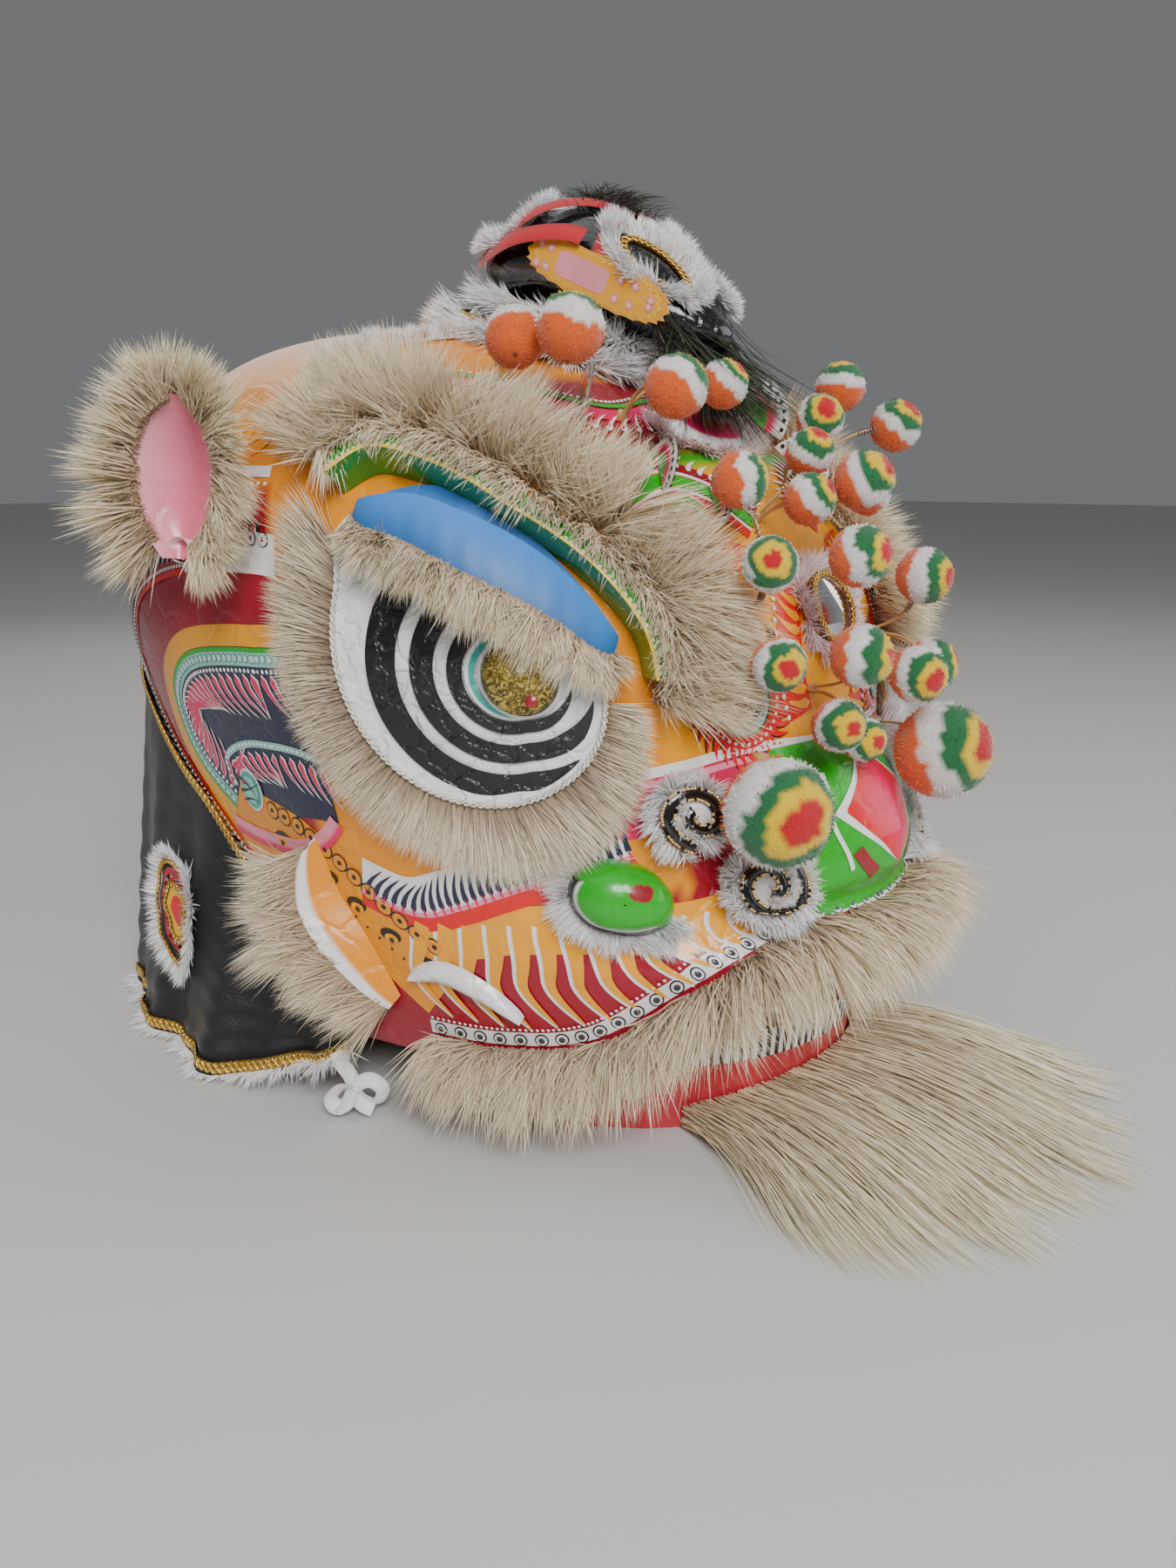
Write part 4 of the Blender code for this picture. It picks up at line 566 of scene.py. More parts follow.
lay(paint, [(-99, 0.360), (-94, 0.352), (-88, 0.355), (-83, 0.375), (-80, 0.40)], 0.012,
    lambda t, s: ROSE if s < 0 else PINK, 0.0012, 4)
for radius, colour, lift in ((0.0150, WHITE, 0.0013), (0.0132, (0.05, 0.42, 0.34), 0.0016),
                             (0.0098, TEAL, 0.0019)):
    dot(paint, -93.5, 0.415, radius, colour, lift, 0.0, 24, 0.8)
for route, width in (([(-95.2, 0.432), (-93.4, 0.420), (-92.8, 0.404)], 0.0030),
                     ([(-95.0, 0.412), (-93.6, 0.416), (-91.8, 0.428)], 0.0026),
                     ([(-94.8, 0.400), (-93.4, 0.404), (-92.2, 0.400)], 0.0022)):
    lay(paint, route, taper(width, 0.6), BLACK, 0.0023, 1, count=7)
dot(paint, -94.2, 0.424, 0.0016, SCARLET, 0.0025)
lay(paint, [(-83, 0.715), (-90, 0.718), (-98, 0.712)], 0.026, WHITE, 0.0007, 4, shift=0.004)
for turn, share, _, _ in zip(*steps_along([(-84, 0.725), (-91, 0.727), (-97, 0.722)], 0.011)):
    dot(paint, turn, share, 0.0050, BLACK, 0.0010, 0.0)
    dot(paint, turn, share, 0.0042, WHITE, 0.0013, 0.0)
    dot(paint, turn, share, 0.0014, MAROON, 0.0015, 0.0)
TOP_LINE = [(-84, 0.80), (-95, 0.80), (-110, 0.79), (-125, 0.775), (-142, 0.76), (-160, 0.755), (-180, 0.75)]
lay(paint, TOP_LINE, 0.008, WHITE, 0.0006, 2)
comb(paint, TOP_LINE, 0.0120, 0.030, 0.0085, AMBER, -0.036, 0.0, 0.0007, 0.5)
beads(paint, TOP_LINE, 0.0060, 0.0015, WHITE, 0.009)
BACK_LINE = [(-119, 0.52), (-128, 0.575), (-142, 0.63), (-160, 0.665), (-180, 0.675)]
lay(paint, BACK_LINE, 0.012, TEAL, 0.0006, 3)
beads(paint, BACK_LINE, 0.0070, 0.0022, WHITE, 0.0)
comb(paint, BACK_LINE, 0.0110, 0.034, 0.0078, SCARLET, 0.006, 0.0, 0.0008, 0.5)
lay(paint, BACK_LINE, 0.005, AMBER, 0.0007, 2, shift=-0.010)
CURTAIN_TOP = [(-85, 0.135), (-90, 0.175), (-95, 0.245), (-100, 0.315), (-105, 0.375), (-111, 0.410),
               (-118, 0.455),
               (-127, 0.500), (-155, 0.585), (-180, 0.625)]
BAND_LINE = [(-46, 0.455), (-38, 0.463), (-30, 0.472), (-20, 0.484), (-10, 0.482), (0, 0.476)]
lay(paint, BAND_LINE, 0.034, lambda t, s: np.array(ROSE) * (0.7 + 0.3 * s * s), 0.0006, 6, shift=-0.016)
lay(paint, BAND_LINE, 0.0065, WHITE, 0.0010, 2, shift=0.004)
lay(paint, BAND_LINE, 0.0040, PINK, 0.0009, 2, shift=-0.003)


def spiral(turn, share, start, radii, turns, sense=1):
    """Route of a spiral on the skin, from its rim to its heart."""
    per_degree, per_share = scales(turn, share)
    t = np.linspace(0, 1, 26)
    angle = np.radians(start) + sense * t * turns * 2 * np.pi
    radius = radii[0] + (radii[1] - radii[0]) * t
    return list(zip(turn + np.cos(angle) * radius / per_degree, share + np.sin(angle) * radius / per_share))


def scale_spiral(turn, share, radius, start, sense=1):
    """Whorl of teal scales on black, ringed with white dots and red flames."""
    for k in range(26):
        angle = math.radians(start + sense * (k / 26 * 300 - 20))
        lean = angle + sense * 0.75
        per_degree, per_share = scales(turn, share)
        c, s = math.cos(angle) * radius, math.sin(angle) * radius
        ways = [(c * 1.12, s * 1.12), (c * 1.45, s * 1.45),
                (c * 1.45 + math.cos(lean) * radius * 0.42, s * 1.45 + math.sin(lean) * radius * 0.42)]
        route = [(turn + a / per_degree, share + b / per_share) for a, b in ways]
        lay(paint, route, taper(radius * 0.36), BLACK, 0.0007, 1, count=6, shift=-0.0006)
        lay(paint, route, taper(radius * 0.32), SCARLET, 0.0010, 1, count=6)
    rim = spiral(turn, share, start, (radius * 1.06, radius * 0.98), 0.86, sense)
    lay(paint, rim, radius * 0.30, SCARLET, 0.0011, 2, shift=-sense * radius * 0.05)
    beads(paint, rim, radius * 0.20, radius * 0.055, WHITE, -sense * radius * 0.08, 0.0014, 0.0005)
    body = spiral(turn, share, start, (radius * 0.80, radius * 0.12), 1.9, sense)
    lay(paint, spiral(turn, share, start, (radius * 0.5, radius * 0.4), 1.0, sense), radius * 0.85, BLACK,
        0.0012, 3)
    lay(paint, body, lambda t: radius * (0.32 - 0.16 * t), (0.05, 0.36, 0.30), 0.0015, 2)
    lay(paint, body, lambda t: radius * (0.26 - 0.14 * t), (0.55, 0.78, 0.74), 0.0018, 2)
    for a, b, _, _ in zip(*steps_along(body[:20], radius * 0.20)):
        dot(paint, a, b, radius * 0.085, (0.05, 0.36, 0.30), 0.0020, 0.0, 8)
        dot(paint, a, b, radius * 0.065, (0.66, 0.86, 0.82), 0.0022, 0.0, 8)
    beads(paint, body, radius * 0.16, radius * 0.035, WHITE, sense * radius * 0.20, 0.0016, 0.0004)


scale_spiral(-19.0, 0.545, 0.0235, 200, 1)
scale_spiral(-25.5, 0.640, 0.0190, 60, -1)
FLAMES = [(-8, 0.52), (-9.5, 0.57), (-9.5, 0.62), (-8, 0.67), (-12, 0.70), (-19, 0.71)]
lay(paint, FLAMES, 0.022, SCARLET, 0.0005, 3)
comb(paint, FLAMES, 0.0100, 0.024, 0.0090, AMBER, -0.010, 0.0, 0.0008, 0.5)
beads(paint, FLAMES, 0.0070, 0.0018, WHITE, 0.013)
BRIDGE_ARCH = [(-32, 0.735), (-26, 0.775), (-19, 0.79), (-12, 0.775), (-7, 0.74)]
for shift, width, colour in ((0.0, 0.010, GREEN), (0.0075, 0.0028, WHITE), (-0.0075, 0.0028, WHITE),
                             (0.013, 0.008, MAROON), (-0.013, 0.008, SCARLET)):
    lay(paint, BRIDGE_ARCH, width, colour, 0.0009, 2, shift)
comb(paint, BRIDGE_ARCH, 0.0070, 0.014, 0.0050, WHITE, 0.012, 0.1, 0.0012, 0.5)
lay(paint, spiral(-18.5, 0.752, 20, (0.013, 0.003), 1.4, 1), lambda t: 0.0050 - 0.002 * t, GREEN, 0.0012, 2)
lay(paint, spiral(-18.5, 0.752, 20, (0.0165, 0.006), 1.4, 1), 0.0016, WHITE, 0.0014, 1)
CROWN_LINE = [(-66, 0.905), (-50, 0.905), (-35, 0.885), (-20, 0.865), (-8, 0.875), (0, 0.878)]
lay(paint, CROWN_LINE, 0.012, ROSE, 0.0006, 3)
lay(paint, CROWN_LINE, 0.004, GREEN, 0.0009, 2, shift=0.010)
comb(paint, CROWN_LINE, 0.0080, 0.020, 0.0060, WHITE, -0.020, 0.1, 0.0009, 0.5)
comb(paint, CROWN_LINE, 0.0080, 0.012, 0.0036, ROSE, -0.016, 0.1, 0.0011, 0.5)
beads(paint, CROWN_LINE, 0.0050, 0.0014, WHITE, 0.015)
piece("shell_brush_work", paint.both_sides(), lacquer)

# Gold braid
# Woven metal-thread gimp, glued along the shell's rear edge over the curtain, on the curtain's
# hem and round the furred rims: two rows of small loops either side of a cord.
gold = surface("gold_thread", 0.30, 0.25, 900.0, 0.8, 0.0006, metal=1.0)
GOLD_TINT = (0.90, 0.60, 0.16)


def braid(layer, points, outs, width=0.007, pitch=0.0042, tall=0.0014):
    """Gimp along a line of points: a zigzag of raised loops over a flat tape."""
    points, outs = np.asarray(points), unit(np.asarray(outs))
    gone = np.concatenate([[0], np.cumsum(np.linalg.norm(np.diff(points, axis=0), axis=1))])
    count = max(int(gone[-1] / pitch * 4), 6)
    at = np.linspace(0, gone[-1], count)
    middle, out = points_at(at, gone, points), unit(points_at(at, gone, outs))
    way = unit(np.gradient(middle, axis=0))
    left = unit(np.cross(out, way))
    tape = np.stack([middle - left * width / 2, middle + out * tall * 0.4, middle + left * width / 2], 1)
    # The flat tape is painted at about half the gold's brightness: painted shade under the loops.
    layer.add(tape, net(count, 3), np.array(GOLD_TINT) * 0.55, np.repeat(out[:, None], 3, 1))
    for side in (-1, 1):
        swing = np.sin(at / pitch * np.pi) * side * width * 0.42
        centre = middle + left * swing[:, None] + out * tall * 0.7
        run = unit(np.gradient(centre, axis=0))
        across = unit(np.cross(out, run))
        ring = [centre + (across * math.cos(a) + out * math.sin(a)) * width * 0.13 for a in CORNERS]
        ring = np.stack(ring, 1)
        layer.add(ring, net(count, 4, True), GOLD_TINT, ring - centre[:, None])


rear_braid = Layer()
turn, share = curve(CURTAIN_TOP, 160).T
out = skin_frame(turn, share)[2]
braid(rear_braid, skin(turn, share) + out * 0.0034, out, 0.009, 0.0056)
piece("rear_braid", rear_braid.both_sides(), gold)

# Furs
# Strips of dyed and natural fur, sewn or glued by their hide. Each strand is a thin tapering
# blade, painted darker at its root as shade deep in the fur, and the strands lean together in small locks.
# Root and tip colours of the furs; the darker root colour is painted shade deep in the fur.
BEIGE_ROOT, BEIGE_TIP = (0.46, 0.32, 0.19), (1.0, 0.85, 0.62)
SNOW_ROOT, SNOW_TIP = (0.80, 0.77, 0.77), (1.0, 0.98, 0.98)
beige_fur = surface("beige_fur", 0.72, 0.14, 300.0, 0.0, sheen=0.15)
white_fur = surface("white_fur", 0.75, 0.05, 300.0, 0.0, sheen=0.2)


def blades(line, across, narrowing):
    """Points and triangles of flat blades along lines of points, each ending in a point."""
    count, segments = len(line), line.shape[1] - 1
    fade = (1 - narrowing * np.linspace(0, 1, segments + 1)[:-1])[None, :, None]
    left, right = line[:, :-1] - across[:, None] * fade, line[:, :-1] + across[:, None] * fade
    points = np.concatenate([np.stack([left, right], 2).reshape(count, -1, 3), line[:, -1:]], 1)
    pattern = []
    for a in range(0, 2 * segments - 2, 2):
        pattern += [(a, a + 1, a + 3), (a, a + 3, a + 2)]
    pattern.append((2 * segments - 2, 2 * segments - 1, 2 * segments))
    faces = np.arange(count)[:, None, None] * (2 * segments + 1) + np.array(pattern)[None]
    return points, faces.reshape(-1, 3)


def strands(layer, roots, ways, reach, bend, root_tint, tip_tint, width=0.0006, segments=2):
    """Tapering blades from their roots; bend is a shift of the tip as a share of the reach."""
    count = len(roots)
    across = unit(np.cross(ways, rng.normal(size=(count, 3)))) * width / 2
    t = np.linspace(0, 1, segments + 1)
    gone = ways[:, None] * t[None, :, None] + bend[:, None] * (t**2)[None, :, None]
    points, faces = blades(roots[:, None] + gone * reach[:, None, None], across, 0.45)
    points[..., 2] = np.maximum(points[..., 2], 0.0008 + 0.0012 * rng.random((count, 1)))
    shade = 0.80 + 0.40 * rng.random((count, 1, 1))
    # Each blade runs from its root colour to its tip colour; the darker root is painted shade deep in the
    # fur.
    mix = np.concatenate([np.repeat(t[:-1], 2), [1.0]])[None, :, None] ** 0.8
    tint = (np.array(root_tint) * (1 - mix) + np.array(tip_tint) * mix) * shade
    layer.add(points, faces, np.clip(tint, 0, 1))


def lock_lean(at, locks, strength, seed):
    """Shared lean of the strands of each lock, and the lock's length against the others'."""
    table = np.random.default_rng(seed).normal(size=(locks + 2, 3)) * strength
    index = np.clip((at * locks + rng.normal(size=len(at)) * 0.25).astype(int), 0, locks)
    return table[index], 1 + np.random.default_rng(seed + 1).normal(size=locks + 2)[index] * 0.07


def fur_on_skin(route, count, half, out, lean, along, reach, stand=0.001, locks=60, seed=1, spread=0.18,
                droop=(0, 0, -0.15), tints=(BEIGE_ROOT, BEIGE_TIP), width=0.0007, fan=0.0, ends=1.0):
    """Fur along a route over the skin. out, lean and along aim it off, across and along the skin."""
    layer = Layer()
    at = rng.random(count)
    line, keys = curve(route, 600), np.linspace(0, 1, 600)
    turn, share = np.interp(at, keys, line[:, 0]), np.interp(at, keys, line[:, 1])
    per_degree, per_share = scales(turn, share)
    run = np.interp(at, keys, np.gradient(line[:, 0])) * per_degree
    rise = np.interp(at, keys, np.gradient(line[:, 1])) * per_share
    size = np.hypot(run, rise) + 1e-12
    run, rise = run / size, rise / size
    place = rng.uniform(-1, 1, count)
    taper_off = ends + (1 - ends) * np.sqrt(np.sin(np.pi * at))
    off = place * half * taper_off
    turn, share = turn - rise * off / per_degree, share + run * off / per_share
    around, upward, normal = skin_frame(turn, share)
    left = around * -rise[:, None] + upward * run[:, None]
    ahead = around * run[:, None] + upward * rise[:, None]
    shared, longer = lock_lean(at, locks, 0.13, seed)
    way = normal * out + left * (lean + fan * place)[:, None] + ahead * along
    way = unit(way + shared + rng.normal(size=(count, 3)) * spread)
    length = reach * longer * rng.uniform(0.72, 1.08, count) * taper_off
    roots = skin(turn, share) + normal * stand
    bend = np.array(droop)[None] + shared * 0.8
    strands(layer, roots, way, length, np.broadcast_to(bend, way.shape), *tints, width)
    return layer


DENSE = 0.34


def many(count):
    """Strands to build out of a full count, so that the whole head keeps to its triangles."""
    return int(count * DENSE)


# Brows
# A green lacquered strip edged with beads and yellow gimp curves over each eye, and a deep ruff
# of beige fur stands along its outer side, down to the inner corner of the eye.
BROW_LINE = [(-70.0, 0.785), (-63.0, 0.806), (-54.0, 0.790), (-46.0, 0.755), (-38.5, 0.700), (-33.5, 0.635),
             (-32.5, 0.585)]
BROW_FUR_LINE = [(-77.0, 0.815), (-71.0, 0.848), (-62.0, 0.866), (-50.0, 0.846), (-39.0, 0.802),
                 (-30.5, 0.742),
                 (-27.0, 0.670), (-27.0, 0.605), (-29.5, 0.545)]
BROW_WIDTH, BROW_STAND, BROW_COLUMNS = 0.012, 0.0255, 60
brow = Layer()
lay(brow, BROW_LINE, lambda t: BROW_WIDTH * np.clip(np.minimum(t, 1 - t) * 12, 0.25, 1), GREEN, BROW_STAND, 3,
    count=BROW_COLUMNS)
for side in (-1, 1):
    shift = side * BROW_WIDTH / 2
    near, far, middle = (strip(BROW_LINE, 0.0001, height, 1, off, count=BROW_COLUMNS)[0]
                         for height, off in ((0.001, shift), (BROW_STAND, shift), (0.012, 0.0)))
    wall = np.stack([near[:, 0], far[:, 0]], 1)
    brow.add(wall, net(BROW_COLUMNS, 2), (0.02, 0.30, 0.03), wall - middle[:, :1])
lay(brow, BROW_LINE, 0.0022, (0.86, 0.62, 0.05), 0.0262, 2, shift=-0.0052, crown=0.001, count=BROW_COLUMNS)
beads(brow, BROW_LINE, 0.0036, 0.0013, CREAM, -0.0036, 0.0258, 0.0013)
each_side(("brow_strip_SIDE", brow, lacquer, "head", "green_lacquer", "brow_SIDE"))
BROW_TOP = [(-70.5, 0.798), (-63.0, 0.820), (-53.5, 0.804), (-45.0, 0.768), (-37.0, 0.711), (-31.8, 0.640),
            (-30.8, 0.588)]
brow_fur = fur_on_skin(BROW_FUR_LINE, many(38000), 0.020, 1.0, 0.40, 0.05, 0.046, locks=60, seed=3, fan=0.60,
                       ends=0.80, width=0.0010)
fall = fur_on_skin(BROW_TOP, many(8000), 0.004, 0.62, -0.62, 0.10, 0.022, stand=0.0235, locks=22, seed=6,
                   spread=0.22, droop=(0, 0, -0.3), width=0.0010)
brow_fur.add(*fall.whole())
each_side(("brow_ruff_SIDE", brow_fur, beige_fur, "head", "beige_fur", "brow_fur_SIDE"))

ridge = fur_on_skin([(-84, 0.930), (-75, 0.943), (-66, 0.953), (-55, 0.960), (-43, 0.966), (-34, 0.966)],
                    many(9000), 0.003,
                    1.0, 0.1, 0.0, 0.013, locks=50, seed=14, tints=(SNOW_ROOT, SNOW_TIP), width=0.0010)
piece("crown_ridge_fur", ridge.both_sides(), white_fur)

# Eyes
# A crumpled white paper dish with three black swirls, a clear plastic dome over gold foil with
# painted collars, white cord stitched round the dish, and a long fringe of beige lashes.
EYE_TURN, EYE_SHARE, EYE_RADIUS = -56.0, 0.593, 0.078
BULB_TURN, BULB_SHARE, BULB_RADIUS = -49.5, 0.588, 0.022
DISH_ANGLES = (0, 60, 100, 128, 150, 200, 270, 320, 360)
DISH_REACH = (0.96, 0.92, 1.00, 1.22, 1.06, 0.98, 1.02, 1.04, 0.96)


def on_dish(angle, share, stand):
    angle = np.asarray(angle, float)
    reach = smooth_through(DISH_ANGLES, DISH_REACH, angle % 360) * EYE_RADIUS * share
    across, upward = np.cos(np.radians(angle)) * reach, np.sin(np.radians(angle)) * reach
    return beside(EYE_TURN, EYE_SHARE, across, upward, np.broadcast_to(stand, across.shape))


dish = Layer()
angles = np.arange(0, 360, 3.0)
rows = np.linspace(0.02, 1.0, 16)
angle_grid, row_grid = np.meshgrid(angles, rows)
lift = 0.0045 + 0.0006 * np.sin(row_grid * 23 + np.sin(np.radians(angle_grid * 5)) * 2) + 0.004 * row_grid**10
top = on_dish(angle_grid, row_grid, lift)
dish.add(top, net(16, 120, True), WHITE, np.broadcast_to(skin_frame(EYE_TURN, EYE_SHARE)[2], top.shape))
rim_ring = np.stack([on_dish(angles, 1.0, 0.0085), on_dish(angles, 1.015, 0.0085),
                     on_dish(angles, 1.015, 0.0)])
centre = skin(EYE_TURN, EYE_SHARE)
dish.add(rim_ring, net(3, 120, True), CREAM, rim_ring - centre)


def swirl(start, end, inner, outer, colour, stand, squash=1.0):
    """Black band round the bulb, from one angle to another, pointed at both ends."""
    t = np.linspace(0, 1, 70)
    angle = np.radians(start + (end - start) * t)
    wide = np.clip(np.minimum(t * 7, (1 - t) * 5), 0, 1) ** 0.7
    stretch = 1 + 0.28 * np.clip(-np.cos(angle), 0, 1)
    mid, thick = (inner + outer) / 2 * stretch, (outer - inner) * stretch
    s = np.linspace(-0.5, 0.5, 5)
    radius = mid[:, None] + thick[:, None] * wide[:, None] * s[None]
    points = beside(BULB_TURN, BULB_SHARE, np.cos(angle)[:, None] * radius,
                    np.sin(angle)[:, None] * radius * squash,
                    np.full(radius.shape, stand))
    dish.add(points, net(70, 5), colour, np.broadcast_to(skin_frame(EYE_TURN, EYE_SHARE)[2], points.shape))


swirl(112, 342, 0.0560, 0.0705, BLACK, 0.0068)
swirl(100, 352, 0.0385, 0.0495, BLACK, 0.0066)
swirl(88, 345, 0.0255, 0.0325, BLACK, 0.0066)
swirl(30, 389.9, 0.0205, 0.0245, WHITE, 0.0070)
swirl(60, 300, 0.0200, 0.0225, (0.02, 0.45, 0.36), 0.0076)
cord_ring = on_dish(np.arange(0, 360, 1.0), 1.0, 0.0105)
for phase in (0.0, math.pi):
    twist = np.radians(np.arange(0, 360, 1.0)) * 60 + phase
    out = skin_frame(EYE_TURN, EYE_SHARE)[2]
    away = unit(cord_ring - centre)
    line = cord_ring + away * (np.cos(twist) * 0.0011)[:, None] + out * (np.sin(twist) * 0.0011)[:, None]
    way = unit(np.roll(line, -1, 0) - np.roll(line, 1, 0))
    a = unit(np.cross(way, np.broadcast_to(out, way.shape)))
    b = np.cross(way, a)
    tube = np.stack([line + (a * math.cos(w) + b * math.sin(w)) * 0.0010 for w in CORNERS], 1)
    tube = np.concatenate([tube, tube[:1]])
    dish.add(tube, net(361, 4, True), CREAM, tube - np.concatenate([line, line[:1]])[:, None])
paper = surface("crumpled_white_paper", 0.30, 0.06, 45.0, 0.9, 0.0022, coat=0.35, crease=52.0)
each_side(("eye_dish_SIDE_painted", dish, paper, "head", "white_lacquer", "eye_dish_SIDE"))

plastic = bpy.data.materials.new("clear_dome_plastic")
plastic.use_nodes = True
shader = plastic.node_tree.nodes["Principled BSDF"]
shader.inputs["Base Color"].default_value = (0.97, 0.98, 0.97, 1)
shader.inputs["Roughness"].default_value = 0.03
shader.inputs["Transmission Weight"].default_value = 1.0
shader.inputs["IOR"].default_value = 1.35
smudge = plastic.node_tree.nodes.new("ShaderNodeTexNoise")
smudge.inputs["Scale"].default_value = 140.0
film = plastic.node_tree.nodes.new("ShaderNodeBump")
film.inputs["Strength"].default_value = 0.05
film.inputs["Distance"].default_value = 0.0005
plastic.node_tree.links.new(smudge.outputs["Fac"], film.inputs["Height"])
plastic.node_tree.links.new(film.outputs["Normal"], shader.inputs["Normal"])
foil = surface("gold_foil", 0.18, 0.2, 160.0, 1.0, 0.003, metal=1.0, crease=150.0)


def cap(radius, tall, base, rings=10, sides=36, power=2.2):
    """Rounded dome over the bulb's place, closed at its crown."""
    t = np.linspace(0, 0.97, rings)
    wide = (1 - t**power) ** (1 / power)
    angle = circle(sides)
    a = np.cos(angle)[None] * radius * wide[:, None]
    b = np.sin(angle)[None] * radius * wide[:, None]
    points = beside(BULB_TURN, BULB_SHARE, a, b, (base + tall * t)[:, None] + a * 0)
    crown = beside(BULB_TURN, BULB_SHARE, 0.0, 0.0, base + tall)
    faces = np.concatenate([net(rings, sides, True), np.array(wheel(sides)) + (rings - 1) * sides])
    points = np.vstack([points.reshape(-1, 3), crown[None]])
    heart = beside(BULB_TURN, BULB_SHARE, 0.0, 0.0, base)
    return points, faces, points - heart


bulb, spark = Layer(), Layer()
points, faces, out = cap(BULB_RADIUS, 0.027, 0.0060)
bulb.add(points, faces, (1, 1, 1), out)
points, faces, out = cap(BULB_RADIUS * 0.80, 0.011, 0.0062, power=1.6)
spark.add(points, faces, (0.90, 0.66, 0.14), out)
collar = Layer()
for radius, width, colour, stand in ((0.0226, 0.0030, WHITE, 0.0085), (0.0200, 0.0016, BLACK, 0.0105)):
    angle = circle(48)
    inner_r, outer_r = radius - width / 2, radius + width / 2
    ring = [beside(BULB_TURN, BULB_SHARE, np.cos(angle) * r, np.sin(angle) * r, np.full(48, h))
            for r, h in ((inner_r, stand), (outer_r, stand), (outer_r, 0.0045))]
    ring = np.stack(ring)
    heart = beside(BULB_TURN, BULB_SHARE, 0.0, 0.0, 0.002)
    collar.add(ring, net(3, 48, True), colour, ring - heart)
PUPIL_ALONG, PUPIL_UP, PUPIL_RADIUS = 0.0045, -0.010, 0.003
angle = circle(12)
ring = beside(BULB_TURN, BULB_SHARE, PUPIL_ALONG + np.cos(angle) * PUPIL_RADIUS,
              PUPIL_UP + np.sin(angle) * PUPIL_RADIUS, np.full(12, 0.0185))
tip = beside(BULB_TURN, BULB_SHARE, PUPIL_ALONG, PUPIL_UP, 0.0200)
collar.add(np.vstack([ring, tip[None]]), wheel(12), (0.55, 0.01, 0.03),
           np.broadcast_to(skin_frame(BULB_TURN, BULB_SHARE)[2], (13, 3)))
each_side(("eye_dome_SIDE", bulb, plastic, "head", "clear_plastic", "eye_bulb_SIDE"),
          ("eye_foil_SIDE", spark, foil, "head", "clear_plastic"),
          ("eye_collar_SIDE", collar, lacquer, "head", "white_lacquer"))

lashes = Layer()
BUNDLES, FIRST_LASH, LAST_LASH = 68, 138, 345
eye_out = skin_frame(EYE_TURN, EYE_SHARE)[2]
for k in range(BUNDLES):
    angle = FIRST_LASH + (LAST_LASH - FIRST_LASH) * k / (BUNDLES - 1) + rng.uniform(-0.5, 0.5)
    count = many(420)
    fade = 1 - 0.40 * max(0.0, (angle - 290) / 48)
    foot = on_dish(angle, 1.03, 0.006)
    tip = on_dish(angle, 1.03 + 0.55 * fade, 0.013)
    way = tip - foot
    length = np.linalg.norm(way) * rng.uniform(0.72, 1.10, count)
    sideways = unit(np.cross(way, eye_out))
    fan = rng.normal(size=count)
    ways = unit(way)[None] + sideways[None] * (fan * 0.085)[:, None]
    ways = unit(ways + rng.normal(size=(count, 3)) * 0.035)
    roots = foot[None] + sideways[None] * (fan * 0.0010)[:, None]
    roots = roots + eye_out[None] * rng.uniform(-0.003, 0.0035, count)[:, None]
    bend = sideways[None] * (fan * 0.06)[:, None] + np.array([0, 0, -0.05])[None]
    # The lash root colour is darker than the tips: painted shade deep in the fringe.
    strands(lashes, roots, ways, length, bend, (0.34, 0.24, 0.15), (1.0, 0.85, 0.64), 0.0009)
each_side(("lashes_SIDE", lashes, beige_fur, "head", "beige_fur", "lash_fringe_SIDE"))

# Eyelids
# A curved visor of stiff card covered in blue satin hangs on two pins under each brow and blinks
# on a string; beige fur is sewn along its lower edge. A hood of the same satin is fixed to the head
# behind it and covers the shell up to the brow.
LID_LINE = [(-67.0, 0.765), (-58.0, 0.762), (-50.0, 0.736), (-42.5, 0.690), (-36.5, 0.625)]
LID_COLUMNS, LID_ROWS, LID_THICK = 60, 12, 0.002
satin_blue = surface("blue_satin", 0.46, 0.05, 30.0, 0.2, 0.0010, sheen=0.05, fine_grain=900.0)
t = np.linspace(0.0, 1.0, LID_COLUMNS)
turn, share = curve(LID_LINE, LID_COLUMNS).T
arch = np.sqrt(np.maximum(np.sin(np.pi * t), 0))
stand = 0.0027 + (0.022 - 0.0027) * arch
drop = 0.039 * (0.12 + 0.88 * arch)
lid_top = skin(turn, share) + skin_frame(turn, share)[2] * stand[:, None]
lid_low = beside(turn, share, -drop * 0.35, -drop, stand + 0.004 * arch)
lid_out = skin_frame(turn, share)[2]
lid_outs = np.repeat(lid_out[:, None], LID_ROWS, 1)
s = np.linspace(0, 1, LID_ROWS)
sheet_points = lid_top[:, None] * (1 - s)[None, :, None] + lid_low[:, None] * s[None, :, None]
sheet_points = sheet_points + lid_out[:, None] * (0.003 * arch[:, None] * 4 * s * (1 - s))[..., None]
ripple = 0.0002 * np.sin(t * 70)[:, None] * np.sin(np.pi * s)[None]
sheet_points = sheet_points + lid_out[:, None] * ripple[..., None]
lid = Layer()
# The blue is painted half as dark at the lid's lower edge as at its top: painted shade.
blue = np.array([(0.045, 0.25, 0.70)]) * (1 - 0.50 * s[:, None])
lid_grid = net(LID_COLUMNS, LID_ROWS)
lid.add(sheet_points, lid_grid, np.broadcast_to(blue[None], sheet_points.shape), lid_outs)
lid.add(sheet_points - lid_outs * LID_THICK, lid_grid, (0.75, 0.72, 0.66), -lid_outs)
LID_EDGE = (0.08, 0.28, 0.6)
for row in (0, LID_ROWS - 1):
    line = sheet_points[:, row]
    edge = np.stack([line, line - lid_out * LID_THICK], 1)
    away = np.repeat((line - sheet_points[:, LID_ROWS // 2])[:, None], 2, 1)
    lid.add(edge, net(LID_COLUMNS, 2), LID_EDGE, away)
